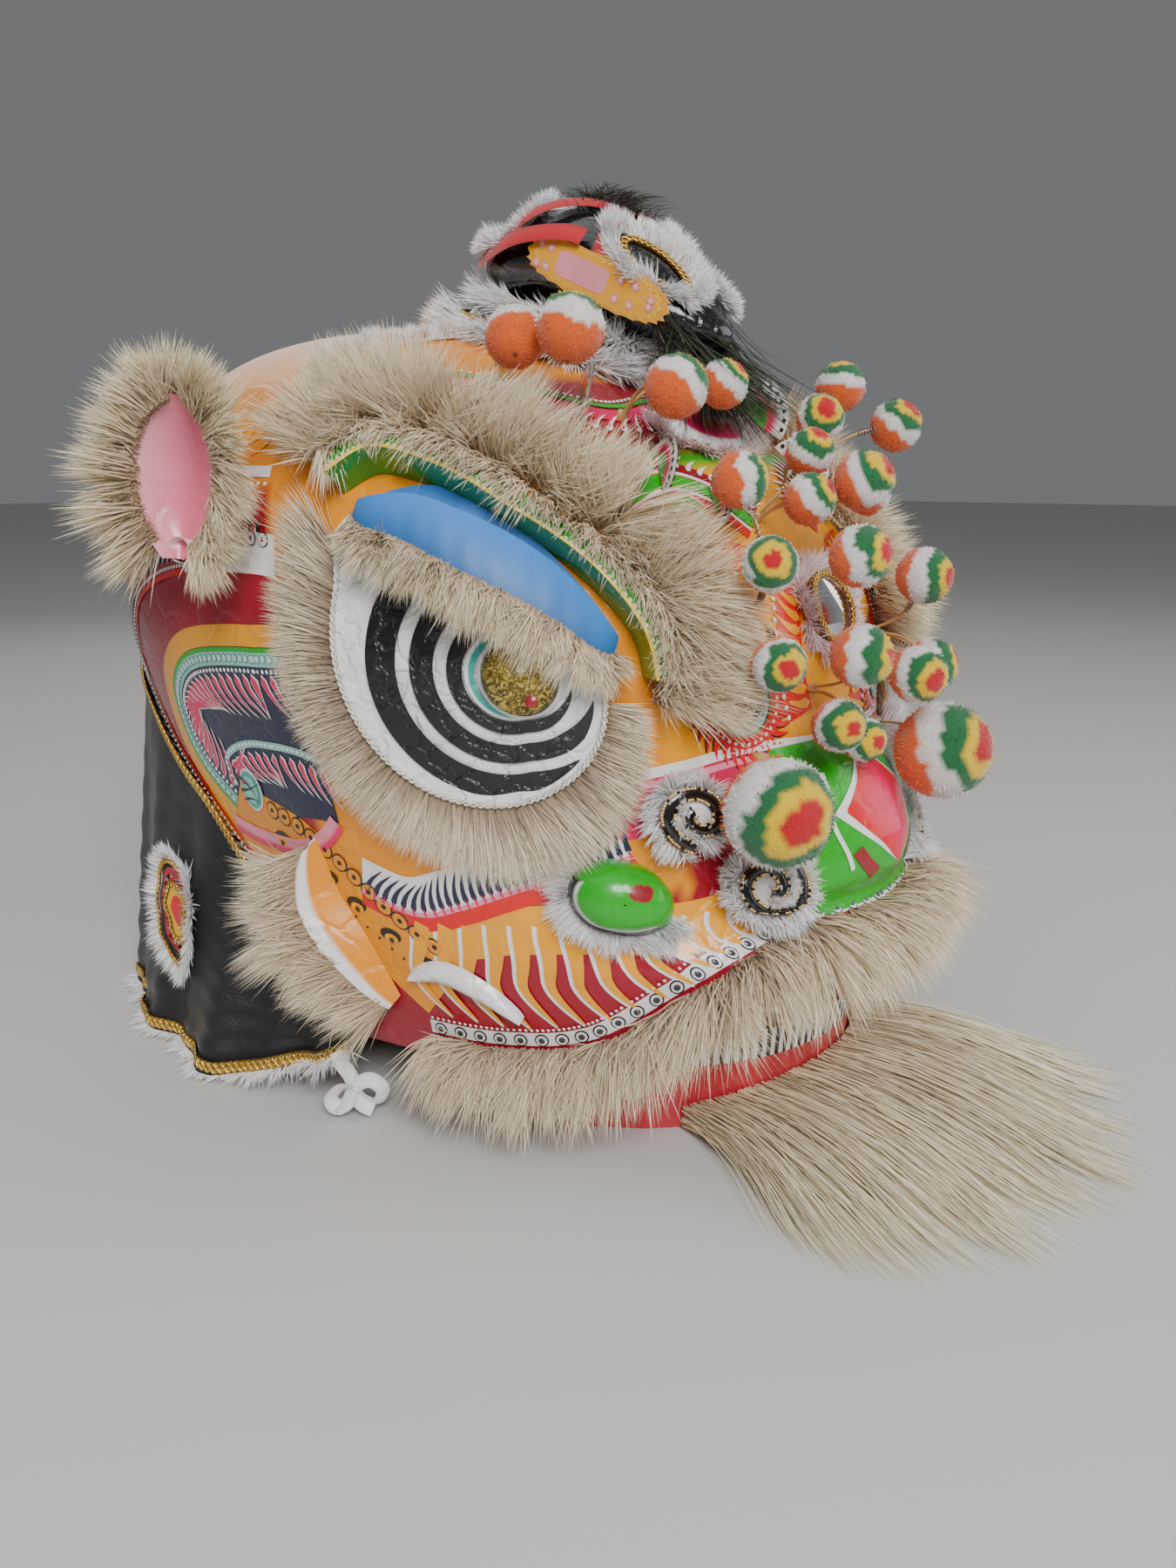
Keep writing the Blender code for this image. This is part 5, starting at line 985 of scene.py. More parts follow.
for end in (0, LID_COLUMNS - 1):
    edge = np.stack([sheet_points[end], sheet_points[end] - lid_out[end] * LID_THICK], 1)
    away = np.broadcast_to(sheet_points[end, 0] - sheet_points[LID_COLUMNS // 2, 0], edge.shape)
    lid.add(edge, net(LID_ROWS, 2), LID_EDGE, away)
hood = Layer()
hood_stand = 0.0010 + 0.0035 * arch**2
hood_top = beside(turn, share, 0.003 * arch, 0.019 * arch**2, hood_stand)
hood_low = beside(turn, share, 0.0, -0.004 * arch**2, hood_stand)
hood_face = hood_top[:, None] * (1 - s)[None, :, None] + hood_low[:, None] * s[None, :, None]
# The hood's blue is painted darker than the lid's, as shade in the recess behind the lid.
hood.add(hood_face, lid_grid, (0.030, 0.20, 0.60), lid_outs)
lid_fur = Layer()
count = many(24000)
at = rng.uniform(0.01, 0.99, count)
low_edge, top_edge, out = (points_at(at, t, values) for values in (lid_low, lid_top, lid_out))
down = unit(low_edge - top_edge)
shared, longer = lock_lean(at, 40, 0.16, 9)
size = 0.35 + 0.65 * np.interp(at, t, arch)
ways = unit(down * 0.9 + out * rng.uniform(0.15, 0.95,
                                           count)[:, None] + shared + rng.normal(size=(count, 3)) * 0.17)
roots = low_edge + out * rng.uniform(-0.001, 0.004, count)[:, None]
roots = roots - down * rng.uniform(-0.001, 0.005, count)[:, None]
strands(lid_fur, roots, ways, 0.030 * size * longer * rng.uniform(0.7, 1.1, count),
        shared * 0.6 + np.array([0, 0, -0.15]), BEIGE_ROOT, BEIGE_TIP, 0.0010)
each_side(("eyelid_hood_SIDE", hood, satin_blue, "head", "blue_satin"),
          ("eyelid_satin_SIDE", lid, satin_blue, "eyelid_SIDE", "blue_satin", "eyelid_SIDE"),
          ("eyelid_trim_SIDE", lid_fur, beige_fur, "eyelid_SIDE", "beige_fur", "eyelid_fur_SIDE"))

# Mouth
# A deep roll of beige fur runs round the edge of the upper lip, over the red tray of the jaw.
full_lip = LIP_LINE + [(-a, b) for a, b in LIP_LINE[-2::-1]]
lip = Layer()
count = many(40000)
at = rng.random(count)
line, keys = curve(full_lip, 800), np.linspace(0, 1, 800)
turn = np.interp(at, keys, line[:, 0])
edge_share = rim_share(turn)
place = rng.random(count)
share = edge_share + 0.001 + (np.interp(at, keys, line[:, 1]) - edge_share + 0.012) * place
around, upward, normal = skin_frame(turn, share)
flat_out = unit(normal * (1, 1, 0))
shared, longer = lock_lean(at, 110, 0.15, 21)
ways = flat_out * (0.75 + 0.35 * place)[:, None]
ways = ways + np.array([0, 0, -1.0]) * (0.95 - 1.05 * place)[:, None]
ways = unit(ways + shared + rng.normal(size=(count, 3)) * 0.2)
length = 0.042 * longer * rng.uniform(0.65, 1.06, count)
strands(lip, skin(turn, share) + normal * 0.001, ways, length, shared * 0.7 + np.array([0, 0, -0.25]),
        BEIGE_ROOT,
        BEIGE_TIP, 0.0011)
piece("lip_roll", lip, beige_fur, stands_for=("lip_fur",))

beard = Layer()
count = many(15000)
JAW_SHARE, JAW_FLARE, JAW_HEIGHT = 0.86, 0.004, 0.070
JAW_LEVEL, JAW_MIDDLE, LOCKS = 0.10, 0.012, 26
across = np.sort(rng.uniform(-1, 1, count))
root_x = across * 0.110
jaw_half = float(skin(90.0, JAW_LEVEL)[0])
turn = np.degrees(np.arcsin(np.clip(root_x / (jaw_half * JAW_SHARE), -1, 1)))
edge = skin(turn, JAW_LEVEL)
root_y = (edge[:, 1] - SHELL_FORWARD) * JAW_SHARE + JAW_MIDDLE * (1 - JAW_SHARE) + SHELL_FORWARD
thick = 0.030 * (1 - 0.45 * across**2)
root_z = 0.003 + rng.random(count) * thick
lock = np.clip(((across + 1) / 2 * LOCKS + rng.normal(size=count) * 0.30).astype(int), 0, LOCKS - 1)
lock_table = np.random.default_rng(5)
lock_side, lock_long, lock_wave = (lock_table.normal(size=LOCKS) for _ in range(3))
length = 0.218 * (1 - 0.10 * across**2) * (1 + 0.06 * lock_long[lock]) * rng.uniform(0.62, 1.0, count)
length = np.minimum(length, 0.2165)
t = np.linspace(0, 1, 7)
side = across * 0.055 + lock_side[lock] * 0.007 + rng.normal(size=count) * 0.004
wave = (0.004 * lock_wave[lock])[:, None] * np.sin(t * 5 + lock[:, None])
x = root_x[:, None] + side[:, None] * t[None] ** 1.2 + wave * t[None]
y = (root_y - 0.0006)[:, None] - length[:, None] * t[None]
swell = 0.016 * np.sin(np.pi * np.minimum(t * 1.15, 1))[None] * rng.random(count)[:, None]
hump = root_z[:, None] * (1 - t[None]) ** 1.1 + swell
z = np.maximum(hump + rng.random(count)[:, None] * 0.004 * t[None], 0.0012)
line = np.stack([x, y, z], -1)
wide = unit(np.stack([np.ones(count), np.zeros(count), rng.normal(size=count) * 0.8], -1)) * 0.00045
points, faces = blades(line, wide, 0.6)
tone = np.where(rng.random(count) < 0.05, 0.45, rng.uniform(0.8, 1.12, count))
# The hair is painted darker at its roots than at its tips: painted shade deep in the beard.
mix = np.concatenate([np.repeat(t[:-1], 2), [1.0]])[None, :, None]
tint = (np.array([0.80, 0.64, 0.40]) * (1 - mix) + np.array([1.0, 0.90, 0.68]) * mix) * tone[:, None, None]
beard.add(points, faces, np.clip(tint, 0, 1))
horse_hair = surface("cream_long_hair", 0.42, 0.08, 200.0, 0.0, sheen=0.1)
piece("beard_hair", beard, horse_hair, "jaw", ("beard",))
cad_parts["lower_jaw"].data.materials.clear()
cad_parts["lower_jaw"].data.materials.append(
    surface("jaw_red_lacquer", 0.28, 0.15, 30.0, 0.5, 0.0014, coat=0.5, crease=40.0,
            fixed=(0.60, 0.03, 0.05)))

# Ears
# A pink scoop of card on a short neck, turned forward, ringed with long beige fur.
EAR_UP, EAR_OUT = unit(np.array([0.0, -0.20, 0.98])), unit(np.array([-0.93, -0.37, 0.0]))
EAR_ACROSS = unit(np.cross(EAR_UP, EAR_OUT))
EAR_LENGTH, EAR_WIDTH, EAR_DEPTH = 0.096, 0.060, 0.022
EAR_PLACE = (-91.8, 0.700)
EAR_DEEP_PINK, EAR_PALE_PINK = np.array([0.78, 0.16, 0.24]), np.array([0.90, 0.45, 0.50])
ear_base = beside(*EAR_PLACE, 0.0, 0.0, 0.019)
ups = np.linspace(0, 1, 26)
halves = smooth_through((0, 0.1, 0.35, 0.6, 0.85, 1.0), (0.22, 0.52, 0.95, 1.0, 0.72, 0.22),
                        ups) * EAR_WIDTH / 2
deep = EAR_DEPTH * np.sin(np.pi * np.clip(ups * 0.9 + 0.08, 0, 1)) ** 0.6
parts = np.linspace(-1, 1, 17)
ear = Layer()
for wall in (0.0, 0.0025):
    points = (ear_base + EAR_UP * (ups * EAR_LENGTH)[:, None, None]
              + EAR_ACROSS * (parts[None] * halves[:, None])[..., None]
              + EAR_OUT * (wall + EAR_DEPTH - deep[:, None] * (1 - parts[None] ** 2))[..., None])
    glow = EAR_DEEP_PINK + (EAR_PALE_PINK - EAR_DEEP_PINK) * np.abs(parts)[None, :, None] ** 2
    tint = np.broadcast_to(glow, points.shape) if wall else np.array([0.80, 0.25, 0.30])
    ear.add(points, net(26, 17), tint, np.broadcast_to(EAR_OUT if wall else -EAR_OUT, points.shape))
foot = beside(*EAR_PLACE, 0.0, 0.0, -0.002)
head_end = ear_base + EAR_OUT * (EAR_DEPTH - 0.004) + EAR_UP * 0.006
angle = circle(16)
ring = (EAR_ACROSS * np.cos(angle)[:, None] + EAR_UP * np.sin(angle)[:, None]) * 0.008
middle = foot * 0.5 + head_end * 0.5
neck = np.stack([foot + ring * 1.25, middle + ring, head_end + ring])
ear.add(neck, net(3, 16, True), CREAM, neck - middle)
ear_fur = Layer()
count = many(20000)
angle = np.radians(rng.uniform(-58, 238, count))
up = 0.5 + 0.5 * np.sin(angle)
half = np.interp(up, ups, halves)
away = unit(EAR_ACROSS * np.cos(angle)[:, None] + EAR_UP * np.sin(angle)[:, None])
roots = ear_base + EAR_ACROSS * (half * np.sign(np.cos(angle)))[:, None] + EAR_UP * (up * EAR_LENGTH)[:, None]
roots = roots + EAR_OUT * (EAR_DEPTH + rng.uniform(-0.007, 0.005, count))[:, None]
roots = roots - away * rng.uniform(0, 0.004, count)[:, None]
shared, longer = lock_lean((np.degrees(angle) + 58) / 296, 34, 0.16, 31)
ways = unit(away + EAR_OUT * rng.uniform(-0.25, 0.45,
                                         count)[:, None] + shared + rng.normal(size=(count, 3)) * 0.16)
forward = np.maximum(np.cos(angle), 0)
strands(ear_fur, roots, ways, 0.040 * longer * rng.uniform(0.7, 1.04, count) * (1 - 0.35 * forward),
        shared * 0.7 + np.array([0, 0, -0.12]), BEIGE_ROOT, (1.0, 0.86, 0.60), 0.0010)
each_side(("ear_scoop_SIDE", ear, lacquer, "ear_SIDE", "pink_lacquer", "ear_SIDE"),
          ("ear_ruff_SIDE", ear_fur, beige_fur, "ear_SIDE", "beige_fur", "ear_fur_SIDE"))

# Pompoms
# Balls of trimmed wool yarn wound in rings, red at the pole, then yellow, green, white and
# orange, wired with a small spring to bent strips of split bamboo.
wool = surface("trimmed_wool", 0.95, 0.12, 220.0, 0.5, 0.0012, sheen=0.35, fine_grain=900.0)
bamboo = surface("split_bamboo", 0.5, 0.2, 120.0, 0.3, 0.0004, fixed=(0.62, 0.38, 0.15))
wire = surface("wound_wire", 0.3, 0.2, 400.0, 0.3, 0.0003, metal=1.0, fixed=(0.45, 0.42, 0.36))
RINGS = [(22, (0.62, 0.005, 0.012)), (41, (0.88, 0.58, 0.01)), (65, (0.008, 0.16, 0.045)),
         (95, (0.85, 0.82, 0.80)),
         (181, (0.83, 0.13, 0.012))]
SPRAYS = {
    "pompoms_brow_right": ((-37.0, 0.925), [(-33.0, 0.860, 0.062, 0.0215, (0.10, 0.85, -0.05)),
                                            (-38.5, 0.885, 0.040, 0.0200, (0.0, 0.8, -0.6))]),
    "pompoms_crown": ((-19.0, 0.862), [(-21.0, 0.815, 0.055, 0.0200, (0.5, 0.75, -0.1)),
                                       (-8.0, 0.835, 0.045, 0.0165, (0.5, 0.6, 0.2))]),
    "pompoms_bridge_right": ((-17.5, 0.640), [(-17.5, 0.742, 0.045, 0.0180, (0.95, 0.1, 0.0)),
                                              (-19.0, 0.665, 0.045, 0.0175, (0.05, 0.0, 1.0)),
                                              (-20.0, 0.590, 0.042, 0.0170, (0.3, -0.25, 0.9))]),
    "pompoms_forehead": ((-6.0, 0.745), [(-9.0, 0.715, 0.050, 0.0170, (0.75, 0.45, 0.35)),
                                         (-3.0, 0.762, 0.050, 0.0160, (0.3, 0.6, 0.6)),
                                         (4.0, 0.790, 0.055, 0.0165, (0.2, 0.2, 0.95)),
                                         (-3.0, 0.712, 0.070, 0.0195, (0.6, 0.35, 0.55)),
                                         (6.0, 0.720, 0.050, 0.0160, (0.6, 0.3, -0.3)),
                                         (-10.0, 0.655, 0.068, 0.0195, (0.75, 0.10, 0.6))]),
    "pompoms_bridge_left": ((12.0, 0.600), [(8.0, 0.640, 0.055, 0.0195, (0.75, -0.1, 0.62)),
                                            (9.0, 0.560, 0.050, 0.0190, (0.85, 0.2, 0.2)),
                                            (1.0, 0.560, 0.058, 0.0195, (0.45, -0.2, 0.8))]),
    "pompoms_low": ((-6.0, 0.550), [(-11.0, 0.590, 0.060, 0.0200, (0.85, -0.05, 0.5)),
                                    (-12.0, 0.518, 0.045, 0.0175, (0.4, -0.15, 0.9)),
                                    (-5.0, 0.488, 0.036, 0.0150, (0.5, -0.2, 0.8))]),
    "pompoms_brow_left": ((24.0, 0.800), [(27.0, 0.825, 0.062, 0.0190, (0.1, 0.95, 0.15)),
                                          (31.0, 0.775, 0.072, 0.0200, (0.5, 0.55, 0.5))]),
    "pompom_nose_right": ((-17.5, 0.480), [(-24.5, 0.428, 0.062, 0.0340, (0.28, -0.20, 0.93))]),
    "pompom_nose_left": ((16.0, 0.480), [(9.0, 0.440, 0.056, 0.0340, (0.75, 0.1, 0.6))]),
}


def ring_tint(way, pole, seed):
    """Colour of the yarn where it leaves the ball, with the rings' uneven edges."""
    angle = np.degrees(np.arccos(np.clip(way @ pole, -1, 1)))
    wander = np.zeros(len(way))
    shape = np.random.default_rng(seed)
    for _ in range(5):
        aim = shape.normal(size=3) * 3.4
        wander += np.sin(way @ aim + shape.uniform(0, 6)) * 3.2
    angle = angle + wander + rng.normal(size=len(way)) * 1.1
    tint = np.empty((len(way), 3))
    for limit, colour in reversed(RINGS):
        tint[angle < limit] = colour
    return tint


def pompom(layer, centre, radius, pole, seed):
    bpy.ops.mesh.primitive_ico_sphere_add(subdivisions=4, radius=1, location=(0, 0, 0))
    ball = bpy.context.object
    way = unit(np.array([v.co for v in ball.data.vertices]))
    faces = np.array([f.vertices for f in ball.data.polygons])
    bpy.data.objects.remove(ball, do_unlink=True)
    dents = 1 + 0.012 * np.sin(way @ np.array([9.0, 4, 7]) + seed)
    dents = dents + 0.012 * np.sin(way @ np.array([-5.0, 11, 3]))
    # The core is painted at four fifths of the ring colours: painted shade under the tufts.
    layer.add(centre + way * (radius * 0.93 * dents)[:, None], faces, ring_tint(way, pole, seed) * 0.8, way)
    count = many(int(2600 * (radius / 0.02) ** 1.3))
    way = unit(rng.normal(size=(count, 3)))
    tint = ring_tint(way, pole, seed)
    roots = centre + way * radius * 0.90
    aim = unit(way + rng.normal(size=(count, 3)) * 0.22)
    across = unit(np.cross(aim, rng.normal(size=(count, 3)))) * 0.00045
    tips = roots + aim * (radius * 0.10 * rng.uniform(0.75, 1.15, count))[:, None]
    points = np.stack([roots - across, roots + across, tips], 1)
    shade = rng.uniform(0.85, 1.2, (count, 1, 1))
    tints = np.clip(np.repeat(tint[:, None], 3, 1) * shade, 0, 1)
    layer.add(points, np.arange(count * 3).reshape(-1, 3), tints)


def tube(layer, line, radius, colour, sides=6, flat=1.0):
    way = unit(np.gradient(line, axis=0))
    seed_way = np.array([0.3, 0.2, 0.93])
    a = unit(np.cross(way, seed_way))
    b = np.cross(way, a)
    ring = np.stack([line + a * (math.cos(w) * radius) + b * (math.sin(w) * radius * flat)
                     for w in circle(sides)], 1)
    layer.add(ring, net(len(line), sides, True), colour, ring - line[:, None])
    for end in (0, -1):
        fan = np.vstack([ring[end], line[end][None]])
        layer.add(fan, wheel(sides), colour,
                  np.broadcast_to(way[end] * (1 if end else -1), fan.shape))


strips, springs = Layer(), Layer()
for number, (spray, (root, balls)) in enumerate(SPRAYS.items()):
    heads = Layer()
    out = skin_frame(*root)[2]
    foot = skin(*root) + out * 0.001
    for index, (turn, share, stand, radius, aim) in enumerate(balls):
        centre = skin(turn, share) + skin_frame(turn, share)[2] * stand
        pole = unit(CAMERA_RIGHT * aim[0] + CAMERA_UP * aim[1] + CAMERA_TOWARD * aim[2])
        pompom(heads, centre, radius, pole, number * 10 + index)
        side = (centre - foot) - out * float((centre - foot) @ out)
        start = foot + unit(side) * 0.0024
        knee = start + out * np.linalg.norm(centre - start) * 0.55
        u = np.linspace(0, 1, 22)[:, None]
        line = start * (1 - u) ** 2 + knee * 2 * u * (1 - u) + centre * u * u
        reach = np.linalg.norm(line - centre, axis=1)
        keep = line[reach > radius + 0.004]
        if len(keep) < 4:
            keep = line[:5]
        tube(strips, keep, 0.0016, (0.62, 0.38, 0.15), 6, 0.55)
        near = centre + unit(keep[-1] - centre) * radius * 0.92
        way = unit(near - keep[-3])
        a = unit(np.cross(way, np.array([0.2, 0.5, 0.8])))
        b = np.cross(way, a)
        u = np.linspace(0, 1, 44)
        round_way = a * np.cos(u * 34)[:, None] + b * np.sin(u * 34)[:, None]
        coil = keep[-3] + (near - keep[-3]) * u[:, None] + round_way * 0.0022
        tube(springs, coil, 0.00045, (0.45, 0.42, 0.36), 4)
    tube(strips, np.stack([foot - out * 0.001, foot + out * 0.002, foot + out * 0.004]), 0.0034, CREAM, 8)
    piece("balls_" + spray, heads, wool, stands_for=(spray,))
piece("bamboo_strips", strips, bamboo)
piece("wire_springs", springs, wire)


# Horn
# Two hollow black-lacquered tiers tied on the crown, the upper one a curved closed beak. White fur
# and gold braid hide each joint and draw two oval mouths on each side of the beak; black hair
# stands on top of it and hangs below.
HORN_LENGTH, HORN_WIDTH, HORN_TILT, HORN_JOINT_Z = 0.196, 0.104, 0.34, 0.5325
BEAK_PLACE = (0.400, 0.310, 0.110, -0.120, -0.350, -0.510, -0.600)
BEAK_RISE = (0.1658, 0.2015, 0.2066, 0.1607, 0.0434, -0.0383, -0.0842)
BEAK_HALF = (0.10, 0.40, 0.50, 0.50, 0.41, 0.26, 0.09)
BEAK_TALL = (0.030, 0.100, 0.168, 0.200, 0.160, 0.100, 0.036)


def crown_height(x, y):
    """Height of the skin over a point of the plan."""
    x, y = np.broadcast_arrays(np.asarray(x, float), np.asarray(y, float))
    low, high = np.full(x.shape, 0.6), np.ones(x.shape)
    for _ in range(24):
        middle = (low + high) / 2
        half = np.interp(middle, fine, half_line) * SHELL_WIDTH
        widest = np.interp(middle, fine, widest_line) * SHELL_DEPTH
        front = np.interp(middle, fine, front_line) * SHELL_DEPTH
        rear = np.interp(middle, fine, rear_line) * SHELL_DEPTH
        reach = np.maximum(np.abs(np.where(y < widest, front, rear) - widest), 1e-6)
        power = np.where(y < widest, 2.0, REAR_SQUARENESS)
        inside = (np.abs(x) / half) ** power + (np.abs(y - widest) / reach) ** power < 1
        low, high = np.where(inside, middle, low), np.where(inside, high, middle)
    return low * SHELL_HEIGHT


def tier(angle, share, grow=0.0):
    c, s = np.cos(angle), np.sin(angle)
    half, deep = 0.068 * (1 - share) + HORN_WIDTH * 0.46 * share, 0.080 * (1 - share) + 0.064 * share
    bulge = 1 + 0.06 * np.sin(np.pi * share)
    x = c * (half * bulge + grow)
    y = 0.030 * (1 - share) + 0.004 * share + s * (deep * bulge + grow)
    low = crown_height(x, y) + 0.0008
    return np.stack([x, y + SHELL_FORWARD, low + (HORN_JOINT_Z + HORN_TILT * y - low) * share], -1)


def beak(angle, share, grow=0.0):
    rows = np.linspace(0, 1, 7)
    y = smooth_through(rows, BEAK_PLACE, share) * HORN_LENGTH
    rise = smooth_through(rows, BEAK_RISE, share) * HORN_LENGTH + HORN_JOINT_Z
    half = smooth_through(rows, BEAK_HALF, share) * HORN_WIDTH + grow
    tall = smooth_through(rows, BEAK_TALL, share) * HORN_LENGTH + grow
    z = np.maximum(rise + np.sin(angle) * tall, HORN_JOINT_Z + HORN_TILT * y + 0.0003)
    return np.stack(np.broadcast_arrays(np.cos(angle) * half, y + SHELL_FORWARD, z), -1)


def beak_out(angle, share):
    share = np.clip(share, 0.01, 0.99)
    out = unit(np.cross(beak(angle + 0.02, share) - beak(angle - 0.02, share),
                        beak(angle, share - 0.01) - beak(angle, share + 0.01)))
    heart = (beak(0.0, share) + beak(np.pi, share)) / 2
    return out * np.sign(((beak(angle, share) - heart) * out).sum(-1))[..., None]


black_gloss = surface("black_gloss", 0.16, 0.2, 30.0, 0.6, 0.0016, coat=0.8, crease=45.0)
HORN_COLUMNS = 56
ring_angles = circle(HORN_COLUMNS)
base = Layer()
angle_grid, share_grid = np.meshgrid(ring_angles, np.linspace(0, 1, 14))
points = tier(angle_grid, share_grid)
heart = np.array([0, 0.02 + SHELL_FORWARD, 0.50])
base.add(points, net(14, HORN_COLUMNS, True), BLACK, points - heart)
lid_ring = tier(ring_angles, 1.0)
middle = lid_ring.mean(0)
base.add(np.vstack([lid_ring, middle[None]]), wheel(HORN_COLUMNS), BLACK,
         np.broadcast_to((0, 0, 1.0), (HORN_COLUMNS + 1, 3)))
piece("horn_lower_tier", base, black_gloss, stands_for=("horn_base",))
top = Layer()
angle_grid, share_grid = np.meshgrid(ring_angles, np.linspace(0, 1, 44))
points = beak(angle_grid, share_grid)
top.add(points, net(44, HORN_COLUMNS, True), BLACK, points - points.mean(1, keepdims=True))
for end, rearward in ((0, 1.0), (43, -1.0)):
    fan = np.vstack([points[end], points[end].mean(0)[None] + (0, 0.005 * rearward, 0)])
    top.add(fan, wheel(HORN_COLUMNS), BLACK,
            np.broadcast_to((0, rearward, 0), fan.shape))
piece("horn_beak", top, black_gloss, stands_for=("horn_top",))

horn_braid = Layer()
for node_name, share, reach, count in (("horn_fur_lower", 0.0, 0.030, 20000),
                                       ("horn_fur_middle", 0.78, 0.023, 17000)):
    fur = Layer()
    count = many(count)
    angle = rng.uniform(0, 2 * np.pi, count)
    level = share + rng.uniform(0.0, 0.30, count)
    roots = tier(angle, np.clip(level, 0, 1.05), 0.001)
    away = unit(tier(angle, level, 0.01) - tier(angle, level, 0.0)) * (1, 1, 0.3)
    shared, longer = lock_lean(angle / 2 / np.pi, 44, 0.18, 40 + int(share * 9))
    ways = away + np.array([0, 0, 0.25]) * rng.uniform(-0.6, 1.6, (count, 1)) + shared
    ways = unit(ways + rng.normal(size=(count, 3)) * 0.2)
    reach = reach * longer * rng.uniform(0.65, 1.1, count)
    strands(fur, roots, ways, reach, shared * 0.6, SNOW_ROOT, SNOW_TIP, 0.0011)
    piece(node_name + "_strands", fur, white_fur, stands_for=(node_name,))
    loop = tier(np.linspace(0, 2 * np.pi, 90), min(share + 0.33, 1.0), 0.0035)
    braid(horn_braid, loop, loop - loop.mean(0), 0.007, 0.005)
mouth_fur = Layer()
MOUTHS = ((0.72, 2.25, 0.130, 0.46, 20000), (0.27, 2.35, 0.085, 0.50, 12000))
for centre_share, centre_angle, long_way, wide_way, count in MOUTHS:
    count = many(count)
    phi = rng.uniform(0, 2 * np.pi, count)
    share, angle = centre_share + long_way * np.cos(phi), centre_angle + wide_way * np.sin(phi)
    roots, out = beak(angle, share), beak_out(angle, share)
    away = unit(roots - beak(np.full(count, centre_angle), np.full(count, centre_share)))
    shared, longer = lock_lean(phi / 2 / np.pi, 26, 0.18, 52)
    ways = unit(away * rng.uniform(0.2, 1.1,
                                   (count, 1)) + out * 0.8 + shared + rng.normal(size=(count, 3)) * 0.2)
    strands(mouth_fur, roots + away * rng.uniform(-0.001, 0.004, (count, 1)), ways,
            0.0145 * longer * rng.uniform(0.65, 1.1, count), shared * 0.5, SNOW_ROOT, SNOW_TIP, 0.0011)
    phi = np.linspace(0, 2 * np.pi, 70)
    share, angle = centre_share + long_way * 0.80 * np.cos(phi), centre_angle + wide_way * 0.80 * np.sin(phi)
    out = beak_out(angle, share)
    braid(horn_braid, beak(angle, share) + out * 0.001, out, 0.006, 0.0045)
piece("horn_mouth_fur", mouth_fur.both_sides(), white_fur)
piece("horn_gold_braid", horn_braid.both_sides(), gold)

dark_hair = surface("dark_hair", 0.45, 0.2, 200.0, 0.0, sheen=0.1)
for node_name, share, count, low_aim, high_aim, long_reach in (
        ("horn_tuft", 0.50, 1500, (-0.4, -0.9, 0.5), (0.4, 0.9, 1.1), 0.032),
        ("horn_fringe", 0.80, 3400, (-0.5, -1.1, -1.1), (0.5, 0.2, -0.5), 0.060)):
    hair = Layer()
    count = many(count)
    up = node_name == "horn_tuft"
    angle = rng.normal(np.pi / 2 if up else -np.pi / 2, 0.22 if up else 0.6, count)
    roots = beak(angle, share + rng.uniform(-0.07, 0.07, count)) + np.array([0, 0, 0.0 if up else 0.002])
    ways = unit(rng.uniform(low_aim, high_aim, (count, 3)))
    bend = np.stack([ways[:, 0] * 0.6, ways[:, 1] * 0.6, np.full(count, -0.55 if up else -0.25)], -1)
    reach = long_reach * rng.uniform(0.55, 1.1, count)
    if not up:
        floor_here = crown_height(np.clip(roots[:, 0], -0.05, 0.05), roots[:, 1] - SHELL_FORWARD - 0.02)
        reach = np.minimum(reach, np.maximum((roots[:, 2] - floor_here) / 0.9 + 0.035, 0.02))
    # The black hair is painted darker at its roots than at its tips: painted shade deep in the hair.
    strands(hair, roots, ways, reach, bend, (0.010, 0.014, 0.008), (0.05, 0.065, 0.03), 0.0007, 5)
    piece(node_name + "_hair", hair, dark_hair, stands_for=(node_name,))

# Ribbon and card
# Red cotton tape is passed over the beak, and a scalloped paper card with pink rosettes is pinned to
# the horn's right side under it.
tape = surface("red_cotton_tape", 0.7, 0.15, 90.0, 0.4, 0.0005, sheen=0.3, fine_grain=1500.0)


def tape_piece(name, line, left, out, width, colour, finish, stands_for=()):
    """Flat woven tape along a line, with its face turned to out."""
    cup = np.linspace(-1, 1, 5)
    points = line[:, None] + left[:, None] * (cup * width / 2)[None, :, None]
    points = points + out[:, None] * (0.0008 * (1 - cup**2))[None, :, None]
    layer = Layer()
    # The tape is painted darker towards its edges, where its face curves away: painted shade.
    tint = np.array(colour) * (1 - 0.25 * cup[None, :, None] ** 4) * np.ones((len(line), 1, 3))
    layer.add(points, net(len(line), 5), tint, np.repeat(out[:, None], 5, 1))
    made = piece(name, layer, finish, stands_for=stands_for)


u = np.linspace(0, 1, 70)
for ribbon_name, line, stands in (
        ("ribbon_over", beak(3.05 - 2.0 * u, 0.60 - 0.04 * u, 0.0030 + 0.001 * np.sin(np.pi * u)),
         ("horn_ribbon",)),
        ("ribbon_side", beak(3.30 - 1.55 * u, 0.22 + 0.34 * u, 0.0032 + 0.005 * np.sin(np.pi * u) ** 2), ()),
        ("ribbon_rear", beak(3.20 - 0.5 * u, 0.20 + 0.36 * u, 0.0080 + 0.003 * np.sin(np.pi * u) ** 2), ())):
    out = unit(line - np.array([0.0, line[:, 1].mean(), 0.545]))
    left = unit(np.cross(out, unit(np.gradient(line, axis=0))))
    tape_piece(ribbon_name, line, left, out, 0.013, (0.55, 0.003, 0.012), tape,
               stands)

